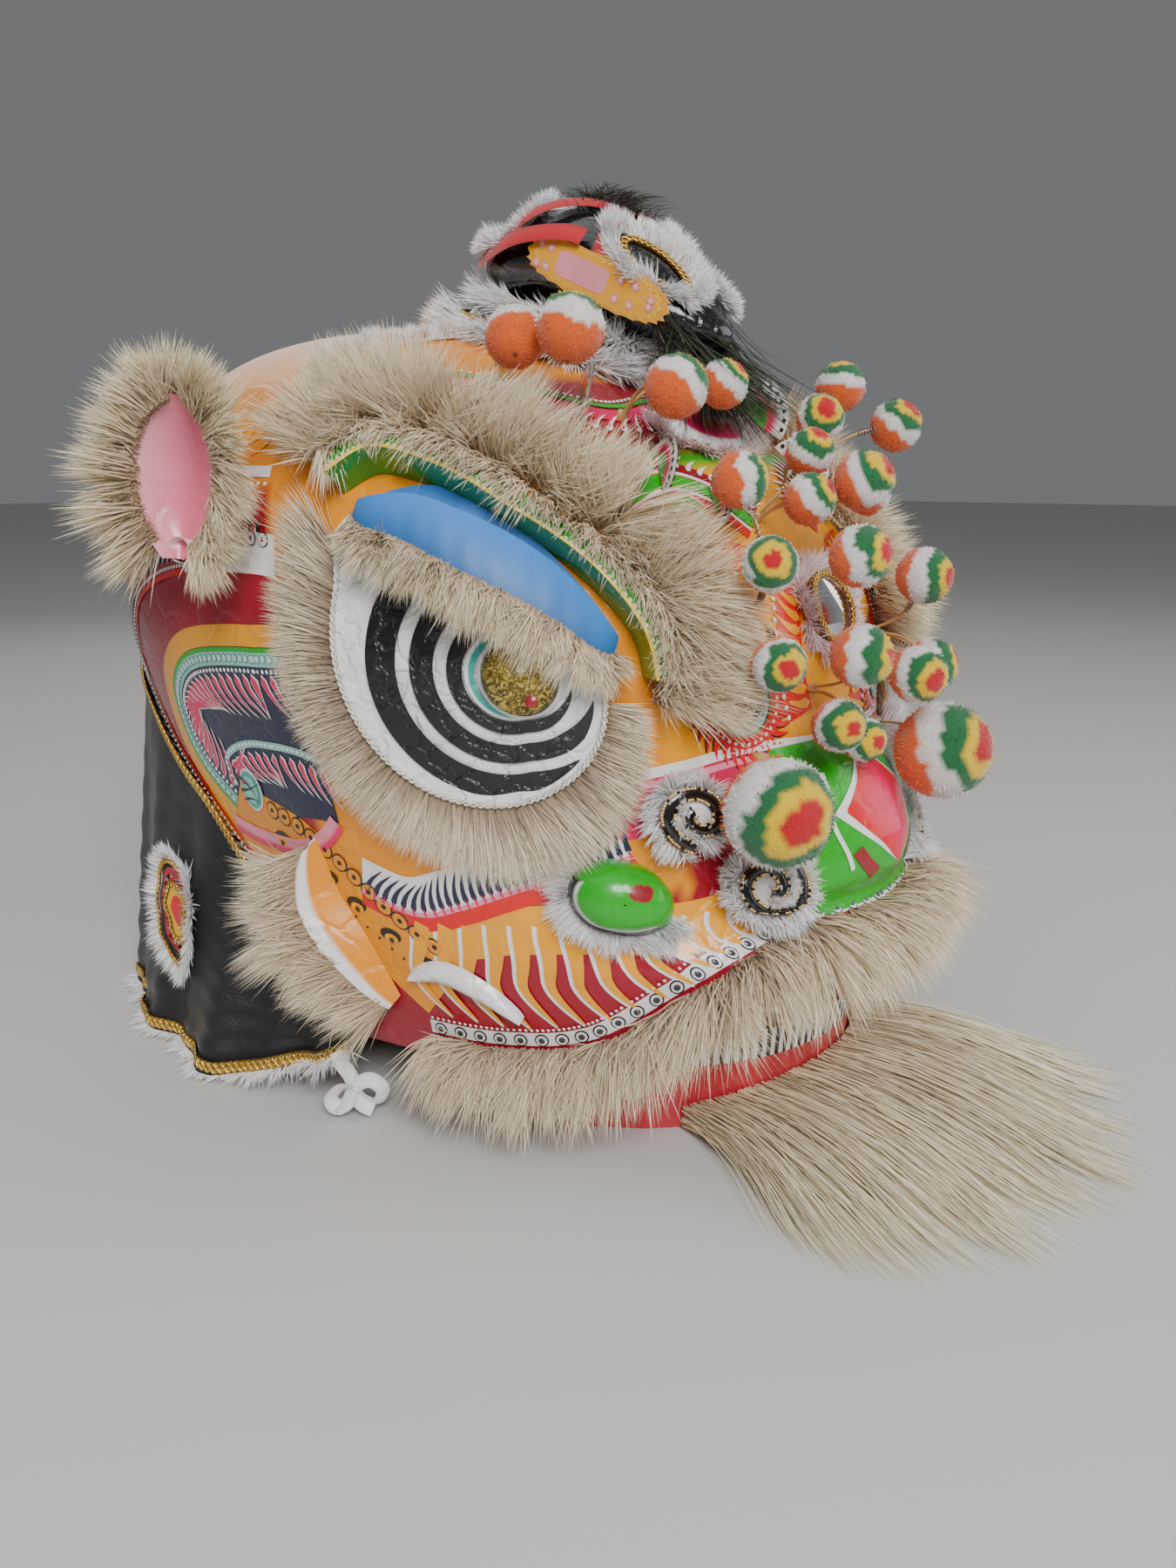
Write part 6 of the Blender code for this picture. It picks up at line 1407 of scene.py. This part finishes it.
rear, fore = beak(np.pi, 0.45), beak(np.pi, 0.66)
way = unit(fore - rear)
out = unit(np.array([way[1], -way[0], 0.0]))
CARD_LONG, CARD_TALL, CARD_POINTS = 0.118, 0.030, 192
middle = (rear + fore) / 2 + way * CARD_LONG * 0.10 + out * 0.0042
across = unit(np.cross(way, out))
angle = circle(CARD_POINTS)
scallop = 1 - 0.055 * np.abs(np.sin(angle * 12))
long_edge = np.sign(np.cos(angle)) * np.abs(np.cos(angle)) ** 0.7 * (CARD_LONG / 2) * scallop
wide_edge = np.sign(np.sin(angle)) * np.abs(np.sin(angle)) ** 0.7 * (CARD_TALL / 2) * scallop
card = Layer()


def card_disc(a, b, scale, lift, colour, long_line=long_edge, wide_line=wide_edge):
    ring = middle + way * (a + long_line * scale)[:, None]
    ring = ring + across * (b + wide_line * scale)[:, None] + out * lift
    count = len(ring)
    heart = middle + way * a + across * b + out * lift
    card.add(np.vstack([ring, heart[None]]), wheel(count), colour,
             np.broadcast_to(out if lift > 0 else -out, (count + 1, 3)))
    return ring


front_ring = card_disc(0, 0, 1.0, 0.0010, (0.80, 0.36, 0.03))
back_ring = card_disc(0, 0, 1.0, -0.0005, (0.75, 0.68, 0.55))
edge = np.stack([front_ring, back_ring])
card.add(edge, net(2, CARD_POINTS, True), (0.80, 0.5, 0.2), edge - middle)
card_disc(0, 0, 0.90, 0.0012, (0.86, 0.56, 0.08))
card_disc(0, 0, 0.86, 0.0014, (0.84, 0.40, 0.03))
round_a, round_b = np.cos(angle[::8]), np.sin(angle[::8])
panel_a = np.sign(round_a) * np.abs(round_a) ** 0.3 * 0.021
panel_b = np.sign(round_b) * np.abs(round_b) ** 0.3 * 0.0080
card_disc(-0.012, 0.0, 1.0, 0.0016, (0.84, 0.30, 0.36), panel_a, panel_b)
for a, b in ((-0.048, 0.006), (-0.040, 0.006), (0.018, 0.006), (0.030, 0.006), (0.044, 0.006 * 0.3)):
    for place in (-b, b):
        card_disc(a, place, 0.0030, 0.0017, (0.86, 0.24, 0.34), round_a, round_b)
        card_disc(a, place, 0.0016, 0.0019, (0.90, 0.62, 0.30), round_a, round_b)
paper_card = surface("printed_card", 0.5, 0.08, 50.0, 0.2, 0.0004)
piece("horn_scalloped_card", card, paper_card, stands_for=("horn_card",))

# Forehead
# A rose oval boss with a dotted white rim and pink-tinted fur sits under the horn, a silvered
# mirror in a fur ring below it, and crests like melon slices stand either side.
BOSS_PLACE, MIRROR_PLACE = (0.0, 0.847), (0.0, 0.637)
boss = Layer()
boss_out = skin_frame(*BOSS_PLACE)[2]
rings = np.linspace(0.03, 1, 12)
angle = circle(64)
ring_grid, angle_grid = np.meshgrid(rings, angle, indexing="ij")
lift = 0.0022 + 0.0065 * np.sqrt(np.clip(1 - ring_grid**2.5, 0, 1))
points = beside(*BOSS_PLACE, np.cos(angle_grid) * 0.046 * ring_grid, np.sin(angle_grid) * 0.022 * ring_grid,
                lift)
tint = np.where(ring_grid[..., None] < 0.35, SCARLET, np.where(ring_grid[..., None] < 0.72, ROSE, WHITE))
boss.add(points, net(12, 64, True), tint, np.broadcast_to(boss_out, points.shape))
for a in angle[::3]:
    for radius, colour, extra in ((0.0030, BLACK, 0.0046), (0.0021, WHITE, 0.0050), (0.0010, BLACK, 0.0053)):
        ring = beside(*BOSS_PLACE, np.cos(a) * 0.040 + np.cos(angle[::6]) * radius,
                      np.sin(a) * 0.0188 + np.sin(angle[::6]) * radius, np.full(11, extra))
        boss.add(ring, [(0, k, k + 1) for k in range(1, 10)], colour, np.broadcast_to(boss_out, ring.shape))
piece("forehead_boss", boss, lacquer, stands_for=("forehead_ornament",))
ring_fur = Layer()
for place, half_a, half_b, count, reach, lift in ((BOSS_PLACE, 0.046, 0.022, 7000, 0.015, 0.002),
                                                  (MIRROR_PLACE, 0.0235, 0.0235, 8000, 0.0165, 0.004)):
    count = many(count)
    phi = rng.uniform(0, 2 * np.pi, count)
    grow = rng.uniform(1.0, 1.16, count)
    a, b = np.cos(phi) * half_a * grow, np.sin(phi) * half_b * grow
    roots = beside(*place, a, b, np.full(count, lift * 0.4))
    away = beside(*place, a * 1.2, b * 1.2, np.full(count, lift))
    away = unit(away - beside(*place, a, b, np.full(count, lift)))
    shared, longer = lock_lean(phi / 2 / np.pi, 30, 0.18, 60)
    ways = away * rng.uniform(0.5, 1.2, (count, 1)) + skin_frame(*place)[2] * 0.75 + shared
    ways = unit(ways + rng.normal(size=(count, 3)) * 0.2)
    strands(ring_fur, roots, ways, reach * longer * rng.uniform(0.7, 1.1, count), shared * 0.4,
            (0.78, 0.42, 0.46),
            (0.93, 0.86, 0.85), 0.0008)
piece("forehead_ring_fur", ring_fur, white_fur, stands_for=("mirror_fur",))
mirror_braid = Layer()
phi = np.linspace(0, 2 * np.pi, 80)
loop = beside(*MIRROR_PLACE, np.cos(phi) * 0.0215, np.sin(phi) * 0.0215, np.full(80, 0.0085))
braid(mirror_braid, loop, np.broadcast_to(skin_frame(*MIRROR_PLACE)[2], loop.shape), 0.005, 0.004)
piece("mirror_gold_braid", mirror_braid, gold)
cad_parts["mirror"].data.materials.clear()
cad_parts["mirror"].data.materials.append(
    surface("silvered_glass", 0.05, 0.05, 20.0, 0.05, 0.0006, metal=1.0, coat=0.5, fixed=(0.86, 0.87, 0.88)))

FIN_FOOT, FIN_HALF_THICK, BEAD_RING = 0.004, 0.0016, 0.88
for fin_name, turn, share, lean, long_way, rise in (("fin_large", -26.5, 0.868, 25.0, 0.062, 0.030),
                                                    ("fin_small", -19.5, 0.798, 20.0, 0.046, 0.022),
                                                    ("fin_third", -13.5, 0.758, 15.0, 0.034, 0.015)):
    crest = Layer()
    around, upward, out = skin_frame(turn, share)
    lean = math.radians(lean)
    way = upward * math.cos(lean) + around * math.sin(lean)
    thick = np.cross(out, way)
    foot = skin(turn, share)
    r, a = np.meshgrid(np.linspace(0, 1, 13), np.linspace(0, np.pi, 33), indexing="ij")
    side_tint = np.full(r.shape + (3,), WHITE)
    for limit, colour in ((0.72, PINK), (0.66, ROSE), (0.50, GREEN)):
        side_tint[r < limit] = colour
    flat_face = foot + way * (-np.cos(a) * long_way / 2 * r)[..., None]
    flat_face = flat_face + out * (FIN_FOOT + np.sin(a) * rise * r)[..., None]
    for side in (-1, 1):
        face = flat_face + thick * (side * FIN_HALF_THICK * np.sqrt(np.clip(1.02 - r**3, 0, 1)))[..., None]
        crest.add(face, net(13, 33), side_tint, np.broadcast_to(thick * side, face.shape))
        for bead in np.linspace(0.25, np.pi - 0.25, 11):
            spot = foot + way * (-math.cos(bead) * long_way / 2 * BEAD_RING)
            spot = spot + out * (FIN_FOOT + math.sin(bead) * rise * BEAD_RING) + thick * side * FIN_HALF_THICK
            ring = [spot + (way * math.cos(w) + out * math.sin(w)) * 0.0016 for w in circle(10)]
            crest.add(np.vstack([ring, [spot + thick * side * 0.0005]]), wheel(10), BLACK,
                      np.broadcast_to(thick * side, (11, 3)))
    fin_nodes = () if fin_name == "fin_third" else (fin_name + "_SIDE",)
    each_side(("crest_" + fin_name[4:] + "_SIDE", crest, lacquer, "head", "green_lacquer", *fin_nodes))

# Nose
# Green lacquered lobes of pasted paper with a rose diamond on the ridge, a furred collar round
# each wing, and nostril curls of white fur wound with black tape and gold beads.
NOSE_SHARES, NOSE_RISES = (0.300, 0.325, 0.360, 0.405, 0.450, 0.480), (0.15, 0.75, 1.0, 0.95, 0.62, 0.12)


def nose_stand(turn, share):
    rise = smooth_through(NOSE_SHARES, NOSE_RISES, share)
    fade = np.clip((15.6 - np.abs(turn)) / 1.6, 0, 1) ** 0.5 * np.clip((share - 0.292) / 0.02, 0, 1) ** 0.5
    fade = fade * np.clip((0.488 - share) / 0.02, 0, 1) ** 0.5
    return 0.0008 + 0.034 * rise * (1 - 0.55 * np.abs(turn) / 15) * fade


nose = Layer()
share_grid, turn_grid = np.meshgrid(np.linspace(0.292, 0.488, 46), np.linspace(-15.6, 15.6, 61),
                                    indexing="ij")
outs = skin_frame(turn_grid, share_grid)[2]
points = skin(turn_grid, share_grid) + outs * nose_stand(turn_grid, share_grid)[..., None]
nose.add(points, net(46, 61), GREEN, outs)
RIDGE = [(0, 0.470), (0, 0.43), (0, 0.39), (0, 0.35), (0, 0.322)]
diamond = lambda wide: (lambda t: wide * np.minimum(t / 0.45, (1 - t) / 0.55))
lay(nose, RIDGE, diamond(0.086), WHITE, lambda a, b: nose_stand(a, b) + 0.0006, 14, count=40)
lay(nose, RIDGE, diamond(0.070), lambda t, s: np.array(SCARLET) * abs(s) + np.array(ROSE) * (1 - abs(s)),
    lambda a, b: nose_stand(a, b) + 0.0010, 14, count=40)
for side in (-1, 1):
    for route, width, colour in (([(side * 9, 0.33), (side * 10.5, 0.39), (side * 9, 0.45)], 0.003, WHITE),
                                 ([(side * 4.5, 0.318), (side * 6.5, 0.332), (side * 8.0, 0.350)], 0.008,
                                  MAROON)):
        lay(nose, route, width, colour, lambda a, b: nose_stand(a, b) + 0.0009, 3, count=20)
piece("nose_painted", nose, lacquer, stands_for=("nose",))

WING_PLACE, WING_LONG, WING_TALL = (-42.3, 0.337), 0.031, 0.025
wing = Layer()
wing_out = skin_frame(*WING_PLACE)[2]
r, a = np.meshgrid(np.linspace(0.02, 1, 20), circle(64), indexing="ij")
lift = 0.0005 + 0.026 * np.clip(1 - r**2.6, 0, 1) ** (1 / 2.2)
points = beside(*WING_PLACE, np.cos(a) * WING_LONG * r, np.sin(a) * WING_TALL * r, lift)
left_low = (np.cos(a) * -0.8 + np.sin(a) * -0.6) > 0.15
tint = np.broadcast_to(GREEN, points.shape).copy()
tint[(r > 0.80) & left_low] = WHITE
tint[(r > 0.86) & left_low] = BLACK
blob = (np.cos(a) * r - 0.35) ** 2 + (np.sin(a) * r - 0.25) ** 2 < 0.05
tint[blob] = MAROON
wing.add(points, net(20, 64, True), tint, np.broadcast_to(wing_out, points.shape))
curl, curl_fur, curl_gold = Layer(), Layer(), Layer()
count = many(6500)
phi = np.radians(rng.uniform(115, 330, count))
grow = rng.uniform(0.96, 1.12, count)
ca, cb = np.cos(phi) * WING_LONG * grow, np.sin(phi) * WING_TALL * grow
roots = beside(*WING_PLACE, ca, cb, np.full(count, 0.002))
away = unit(beside(*WING_PLACE, ca * 1.2, cb * 1.2, np.full(count, 0.002)) - roots)
shared, longer = lock_lean(phi / 2 / np.pi, 36, 0.18, 71)
ways = unit(away * 0.8 + wing_out * 0.8 + shared + rng.normal(size=(count, 3)) * 0.2)
reach = 0.017 * longer * rng.uniform(0.7, 1.1, count)
strands(curl_fur, roots, ways, reach, shared * 0.4, SNOW_ROOT, SNOW_TIP, 0.0008)
for place, start, sense, size in (((-30.0, 0.425), 250, -1, 1.0), ((-23.0, 0.335), 20, -1, 1.12)):
    r, a = np.meshgrid(np.linspace(0.02, 1, 12), circle(40), indexing="ij")
    lift = 0.0005 + 0.0165 * np.clip(1 - r**3, 0, 1) ** 0.5
    points = beside(*place, np.cos(a) * 0.0215 * size * r, np.sin(a) * 0.0215 * size * r, lift)
    curl.add(points, net(12, 40, True), (0.80, 0.77, 0.77),
             np.broadcast_to(skin_frame(*place)[2], points.shape))
    whorl = spiral(*place, start, (0.0205 * size, 0.0040 * size), 1.35, sense)
    lay(curl, whorl, lambda t: 0.0066 * (1 - 0.3 * t), BLACK, 0.0185, 3, crown=0.0012, count=70)
    for shift in (-0.0036, 0.0036):
        for turn, share, _, _ in zip(*steps_along(whorl, 0.0017, shift)):
            bead = (0.80, 0.58, 0.22) if rng.random() < 0.75 else (0.02, 0.02, 0.02)
            dot(curl_gold, turn, share, 0.0011, bead, 0.0190, 0.0014, 6)
    line, keys = curve(whorl, 300), np.linspace(0, 1, 300)
    count = many(9000)
    at = rng.random(count)
    turn, share = np.interp(at, keys, line[:, 0]), np.interp(at, keys, line[:, 1])
    per_degree, per_share = scales(*place)
    ax, ay = (turn - place[0]) * per_degree, (share - place[1]) * per_share
    spin = np.arctan2(ay, ax)
    radius = np.hypot(ax, ay)
    outward = radius + rng.uniform(0.0040, 0.0075, count)
    rim = at < 0.72
    sideways = np.where(rim, 1.0, 0.35)
    height = np.where(rim, rng.uniform(0.004, 0.016, count), 0.0165)
    roots = beside(*place, np.cos(spin) * outward, np.sin(spin) * outward, height)
    away = beside(*place, np.cos(spin) * 0.03, np.sin(spin) * 0.03, np.full(count, 0.01))
    away = unit(away - beside(*place, 0.0, 0.0, 0.01))
    shared, longer = lock_lean(at, 34, 0.18, 77)
    ways = away * (0.75 * sideways)[:, None] + skin_frame(*place)[2] * 0.75 + shared
    ways = unit(ways + rng.normal(size=(count, 3)) * 0.2)
    reach = 0.0130 * longer * rng.uniform(0.7, 1.1, count) * np.where(rim, 1, 0.55)
    strands(curl_fur, roots, ways, reach, shared * 0.4, SNOW_ROOT, SNOW_TIP, 0.0008)
each_side(("nose_wing_painted_SIDE", wing, lacquer, "head", "green_lacquer", "nose_wing_SIDE"),
          ("nostril_curls_SIDE", curl, black_gloss, "head", "black_lacquer", "nose_roll_upper_SIDE",
           "nose_roll_lower_SIDE"),
          ("nostril_beads_SIDE", curl_gold, gold, "head", "white_fur"),
          ("nose_fur_SIDE", curl_fur, white_fur, "head", "white_fur"))
side_fur = fur_on_skin([(15.5, 0.300), (17.0, 0.36), (17.0, 0.42), (15.0, 0.475)], many(5000), 0.003, 0.9,
                       -0.5, 0.0,
                       0.017, seed=81, tints=(SNOW_ROOT, SNOW_TIP), width=0.0008)
piece("nose_side_fur", side_fur, white_fur)

# Cheeks
# A stiff card flap, orange with a white edge, stands out behind each corner of the mouth with deep
# beige fur along it, and a white paper tusk lies over the corner.
FLAP_ROUTE = [(-85.0, 0.375), (-83.5, 0.310), (-80.5, 0.245), (-77.5, 0.180)]
t = np.linspace(0, 1, 44)
turn, share = curve(FLAP_ROUTE, 44).T
bow = np.sin(np.pi * (0.1 + 0.8 * t))
near = skin(turn, share) + skin_frame(turn, share)[2] * 0.0005
far = beside(turn, share, -0.0168 * bow, np.full(44, -0.0072), 0.0008 + 0.024 * bow)
s = np.linspace(0, 1, 9)
face = near[:, None] * (1 - s)[None, :, None] + far[:, None] * s[None, :, None]
flap = Layer()
tint = np.where((s > 0.70)[None, :, None], WHITE, ORANGE) * np.ones((44, 1, 1))
flap.add(face + np.array([0, -0.002, 0]), net(44, 9), tint, np.broadcast_to((-0.3, -1.0, 0), face.shape))
flap.add(face, net(44, 9), WHITE, np.broadcast_to((0.3, 1.0, 0), face.shape))
edge = np.stack([far, far + np.array([0, -0.002, 0])], 1)
flap.add(edge, net(44, 2), WHITE, np.repeat((far - near)[:, None], 2, 1))
flap_fur = Layer()
count = many(17000)
at = rng.random(count)
far_edge = points_at(at, t, far)
away = unit(far_edge - points_at(at, t, near))
shared, longer = lock_lean(at, 36, 0.17, 91)
ways = away * 0.75 + np.array([0, 0.55, 0])
ways = ways + np.array([-0.5, -0.6, 0]) * rng.uniform(-0.25, 0.55, (count, 1)) + shared
ways = unit(ways + rng.normal(size=(count, 3)) * 0.16)
roots = far_edge - away * rng.uniform(0, 0.006, (count, 1))
strands(flap_fur, roots, ways, 0.044 * longer * rng.uniform(0.65, 1.06, count),
        shared * 0.8 + np.array([0, 0, -0.12]), BEIGE_ROOT, BEIGE_TIP, 0.0008)
tooth = Layer()
# The white is painted brighter along the tusk's raised middle than at its edges: painted highlight and shade.
lay(tooth, [(-74.5, 0.215), (-70.0, 0.228), (-65.0, 0.212), (-60.0, 0.182)],
    lambda t: 0.0185 * np.sin(np.pi * np.clip(t * 0.93 + 0.04, 0, 1)) ** 0.6,
    lambda t, s: np.array(WHITE) * (0.92 + 0.08 * (1 - s * s)), 0.0012, 8, crown=0.0066, count=48)
each_side(("flap_card_SIDE", flap, lacquer, "head", "white_lacquer", "cheek_flap_SIDE"),
          ("flap_fur_SIDE", flap_fur, beige_fur, "head", "beige_fur", "cheek_fur_SIDE"),
          ("tusk_paper_SIDE", tooth, lacquer, "head", "white_lacquer", "tusk_SIDE"))

# Curtain
# Black satin gathered round the shell's rear edge under the gold braid, hanging to the floor,
# with gold braid and white fur at its hem and studded patches on its sides.
CURTAIN_TURN = 85.0


def curtain(share, level, lift=0.0):
    """Point of the cloth: share runs round it from the lion's left to right, level from top to hem."""
    turn = CURTAIN_TURN + 2 * (180 - CURTAIN_TURN) * share
    mirrored = np.minimum(turn, 360 - turn)
    edge_share = smooth_through(*zip(*[(-a, b) for a, b in CURTAIN_TOP]), mirrored)
    _, _, out = skin_frame(turn, edge_share)
    top = skin(turn, edge_share) + out * 0.0018
    flat_way = unit(out * (1, 1, 0))
    near_end = np.clip(1 - (mirrored - CURTAIN_TURN) / 16.0, 0, None)
    hem = 0.0015 + 0.048 * near_end**1.2
    z = top[..., 2] + (hem - top[..., 2]) * level
    wave = np.cos(2 * np.pi * 11 * share) + 0.35 * np.sin(2 * np.pi * 27 * share + 5 * level)
    push = (0.020 * (1 - near_end) + 0.0062 * (1 + wave)) * level
    push = push + 0.0012 * np.sin(60 * level + 40 * share) * level
    place = np.stack([top[..., 0], top[..., 1], z], -1)
    return place + flat_way * (push + lift)[..., None], flat_way


satin = surface("black_satin", 0.32, 0.25, 18.0, 0.5, 0.003, coat=0.1, sheen=0.04, crease=14.0,
                fine_grain=1200.0)
level_grid, share_grid = np.meshgrid(np.linspace(0, 1, 40), np.linspace(0, 1, 420))
points, flat_way = curtain(share_grid, level_grid)
cloth = Layer()
cloth.add(points, net(420, 40), (0.008, 0.008, 0.010), flat_way)
tail = piece("satin_curtain", cloth, satin, stands_for=("tail_cloth",))
run = np.linalg.norm(np.diff(points[:, 20], axis=0), axis=1).sum()
drop = np.linalg.norm(np.diff(points, axis=1), axis=2).sum(1)
hem_braid, hem_fur = Layer(), Layer()
for low, high in ((0.0, 0.14), (0.86, 1.0), (0.14, 0.86)):
    line_share = np.linspace(low, high, 220)
    hem_line, hem_out = curtain(line_share, np.full(220, 0.955), 0.0012)
    braid(hem_braid, hem_line, hem_out, 0.009, 0.0056)
piece("curtain_braid", hem_braid, gold)
count = many(24000)
at = rng.random(count)
at = np.where(rng.random(count) < 0.5, at * 0.2 * np.where(rng.random(count) < 0.5, 1, 0) + at * 0.8, at)
roots, out = curtain(at, np.full(count, 0.985), 0.001)
shared, longer = lock_lean(at, 150, 0.2, 101)
ways = out * rng.uniform(0.3, 1.2, (count, 1)) + np.array([0, 0, -0.55]) + shared
ways = unit(ways + rng.normal(size=(count, 3)) * 0.2)
reach = 0.017 * longer * rng.uniform(0.6, 1.1, count)
reach = np.minimum(reach, np.maximum((roots[:, 2] - 0.001) / np.maximum(-ways[:, 2], 0.05), 0.004))
strands(hem_fur, roots, ways, reach, np.zeros_like(shared), SNOW_ROOT, SNOW_TIP, 0.0009)
PATCH_SHARE, PATCH_LEVEL, PATCH_DROP = 0.862, 0.50, 0.25
PATCH_HALF, PATCH_TALL = 0.026, 0.038
patch, studs = Layer(), Layer()


def on_patch(a, b, lift):
    """Point of the right-hand patch, a along the cloth and b up it, in metres."""
    return curtain(PATCH_SHARE + a / float(run), PATCH_LEVEL - b / PATCH_DROP, 0.004 + lift)


angle = circle(48)
shield_a = np.sign(np.cos(angle)) * np.abs(np.cos(angle)) ** 0.6 * (1 - 0.25 * np.clip(-np.sin(angle), 0, 1))
shield_b = np.sin(angle) * (1 + 0.25 * np.clip(-np.sin(angle), 0, 1))
for scale, colour, lift in ((1.0, (0.01, 0.01, 0.012), 0.0), (0.86, (0.50, 0.01, 0.02), 0.0010),
                            (0.52, (0.86, 0.50, 0.02), 0.0020), (0.30, SCARLET, 0.0026)):
    rows = [on_patch(shield_a * PATCH_HALF * scale * k, shield_b * PATCH_TALL * scale * k, lift)
            for k in (1.0, 0.66, 0.33, 0.02)]
    grid = np.stack([row[0] for row in rows])
    patch.add(grid, net(4, 48, True), colour, np.stack([row[1] for row in rows]))
for k in range(0, 48, 2):
    spot, out = on_patch(np.array([shield_a[k] * 0.0182]), np.array([shield_b[k] * 0.0265]), 0.0012)
    spot, out = spot[0], out[0]
    up = np.array([0, 0, 1.0])
    side_way = unit(np.cross(out, up))
    ring = [spot + (side_way * math.cos(w) + up * math.sin(w)) * 0.0019 for w in circle(8)]
    studs.add(np.vstack([ring, [spot + out * 0.0018]]), wheel(8),
              (0.80, 0.82, 0.85) if k % 4 else (0.03, 0.03, 0.03), np.broadcast_to(out, (9, 3)))
for scale in (1.0, 0.55):
    line, out = on_patch(np.concatenate([shield_a, shield_a[:1]]) * PATCH_HALF * scale,
                         np.concatenate([shield_b, shield_b[:1]]) * PATCH_TALL * scale, 0.0020)
    braid(studs, line, out, 0.005, 0.004)
count = many(6000)
phi = rng.uniform(0, 2 * np.pi, count)
ga = np.sign(np.cos(phi)) * np.abs(np.cos(phi)) ** 0.6 * 0.027
gb = np.sin(phi) * (1 + 0.25 * np.clip(-np.sin(phi), 0, 1)) * 0.039
roots, out = on_patch(ga, gb, 0.0)
away = unit(roots - on_patch(np.zeros(count), np.zeros(count), 0.0)[0])
ways = unit(away + out * 0.6 + rng.normal(size=(count, 3)) * 0.25)
strands(hem_fur, roots, ways, 0.015 * rng.uniform(0.6, 1.1, count), np.zeros((count, 3)), SNOW_ROOT, SNOW_TIP,
        0.0009)
piece("curtain_white_fur", hem_fur, white_fur)
felt = surface("patch_felt", 0.85, 0.15, 80.0, 0.4, 0.0006, sheen=0.2, fine_grain=1400.0)
piece("curtain_patch", patch.both_sides(), felt)
piece("curtain_studs", studs.both_sides(), gold)

# Tie tape
# A white cotton tape sewn to the curtain's front corner on the lion's right ends in a loose bow.
cotton = surface("white_cotton_tape", 0.85, 0.08, 120.0, 0.4, 0.0005, sheen=0.2, fine_grain=1800.0)
corner = curtain(np.array([0.994]), np.array([0.93]), 0.004)[0][0]
for number, (step_out, knots) in enumerate((
        (0.000, ((0, 0), (3, -9), (8, -17), (11, -25))),
        (0.003, ((11, -25), (22, -20), (31, -27), (27, -36), (18, -33), (12, -26))),
        (0.006, ((11, -25), (3, -24), (-4, -32), (-1, -39), (7, -36), (12, -27))),
        (0.004, ((11, -25), (13, -33), (18, -39), (24, -42))),
        (0.008, ((11, -25), (8, -33), (5, -38), (0, -43))))):
    line = curve(np.array(knots) * 0.001, 40)
    line = corner + CAMERA_RIGHT * line[:, :1] + np.array([0, 0, 1.0]) * line[:, 1:]
    line = line + np.array([-0.74, -0.62, 0]) * step_out
    line[:, 2] = np.maximum(line[:, 2], 0.0055)
    way = unit(np.gradient(line, axis=0))
    flat_face = np.broadcast_to(np.array([-0.766, -0.643, 0.0]), way.shape)
    left = unit(unit(np.cross(way, flat_face)) * 0.80 + flat_face * 0.60)
    tape_piece("tie_tape_%d" % number, line, left, unit(np.cross(left, way)), 0.0104, (0.90, 0.89, 0.87),
               cotton)

# Jaw edge
# Black and white strokes painted round the rim of the jaw's red tray.
strokes = Layer()
turns = np.linspace(-72, 72, 150)
edge = skin(turns, JAW_LEVEL)
flat = np.stack([edge[:, 0] * JAW_SHARE,
                 (edge[:, 1] - SHELL_FORWARD) * JAW_SHARE + JAW_MIDDLE * (1 - JAW_SHARE)], -1)
inward = unit(np.array([0, -SHELL_DEPTH * 0.20]) - flat)
rows = []
for z in (0.048, 0.060, 0.0695):
    shift = flat + inward * (JAW_FLARE * (1 - 2 * z / JAW_HEIGHT) - 0.0006)
    rows.append(np.stack([shift[:, 0], shift[:, 1] + SHELL_FORWARD, np.full(150, z)], -1))
rows = np.stack(rows)
for k in range(149):
    out = np.broadcast_to(np.append(-inward[k], 0), (3, 2, 3))
    strokes.add(rows[:, k:k + 2], net(3, 2), BLACK if k % 2 else WHITE, out)
piece("jaw_rim_strokes", strokes, lacquer, "jaw")

low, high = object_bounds()
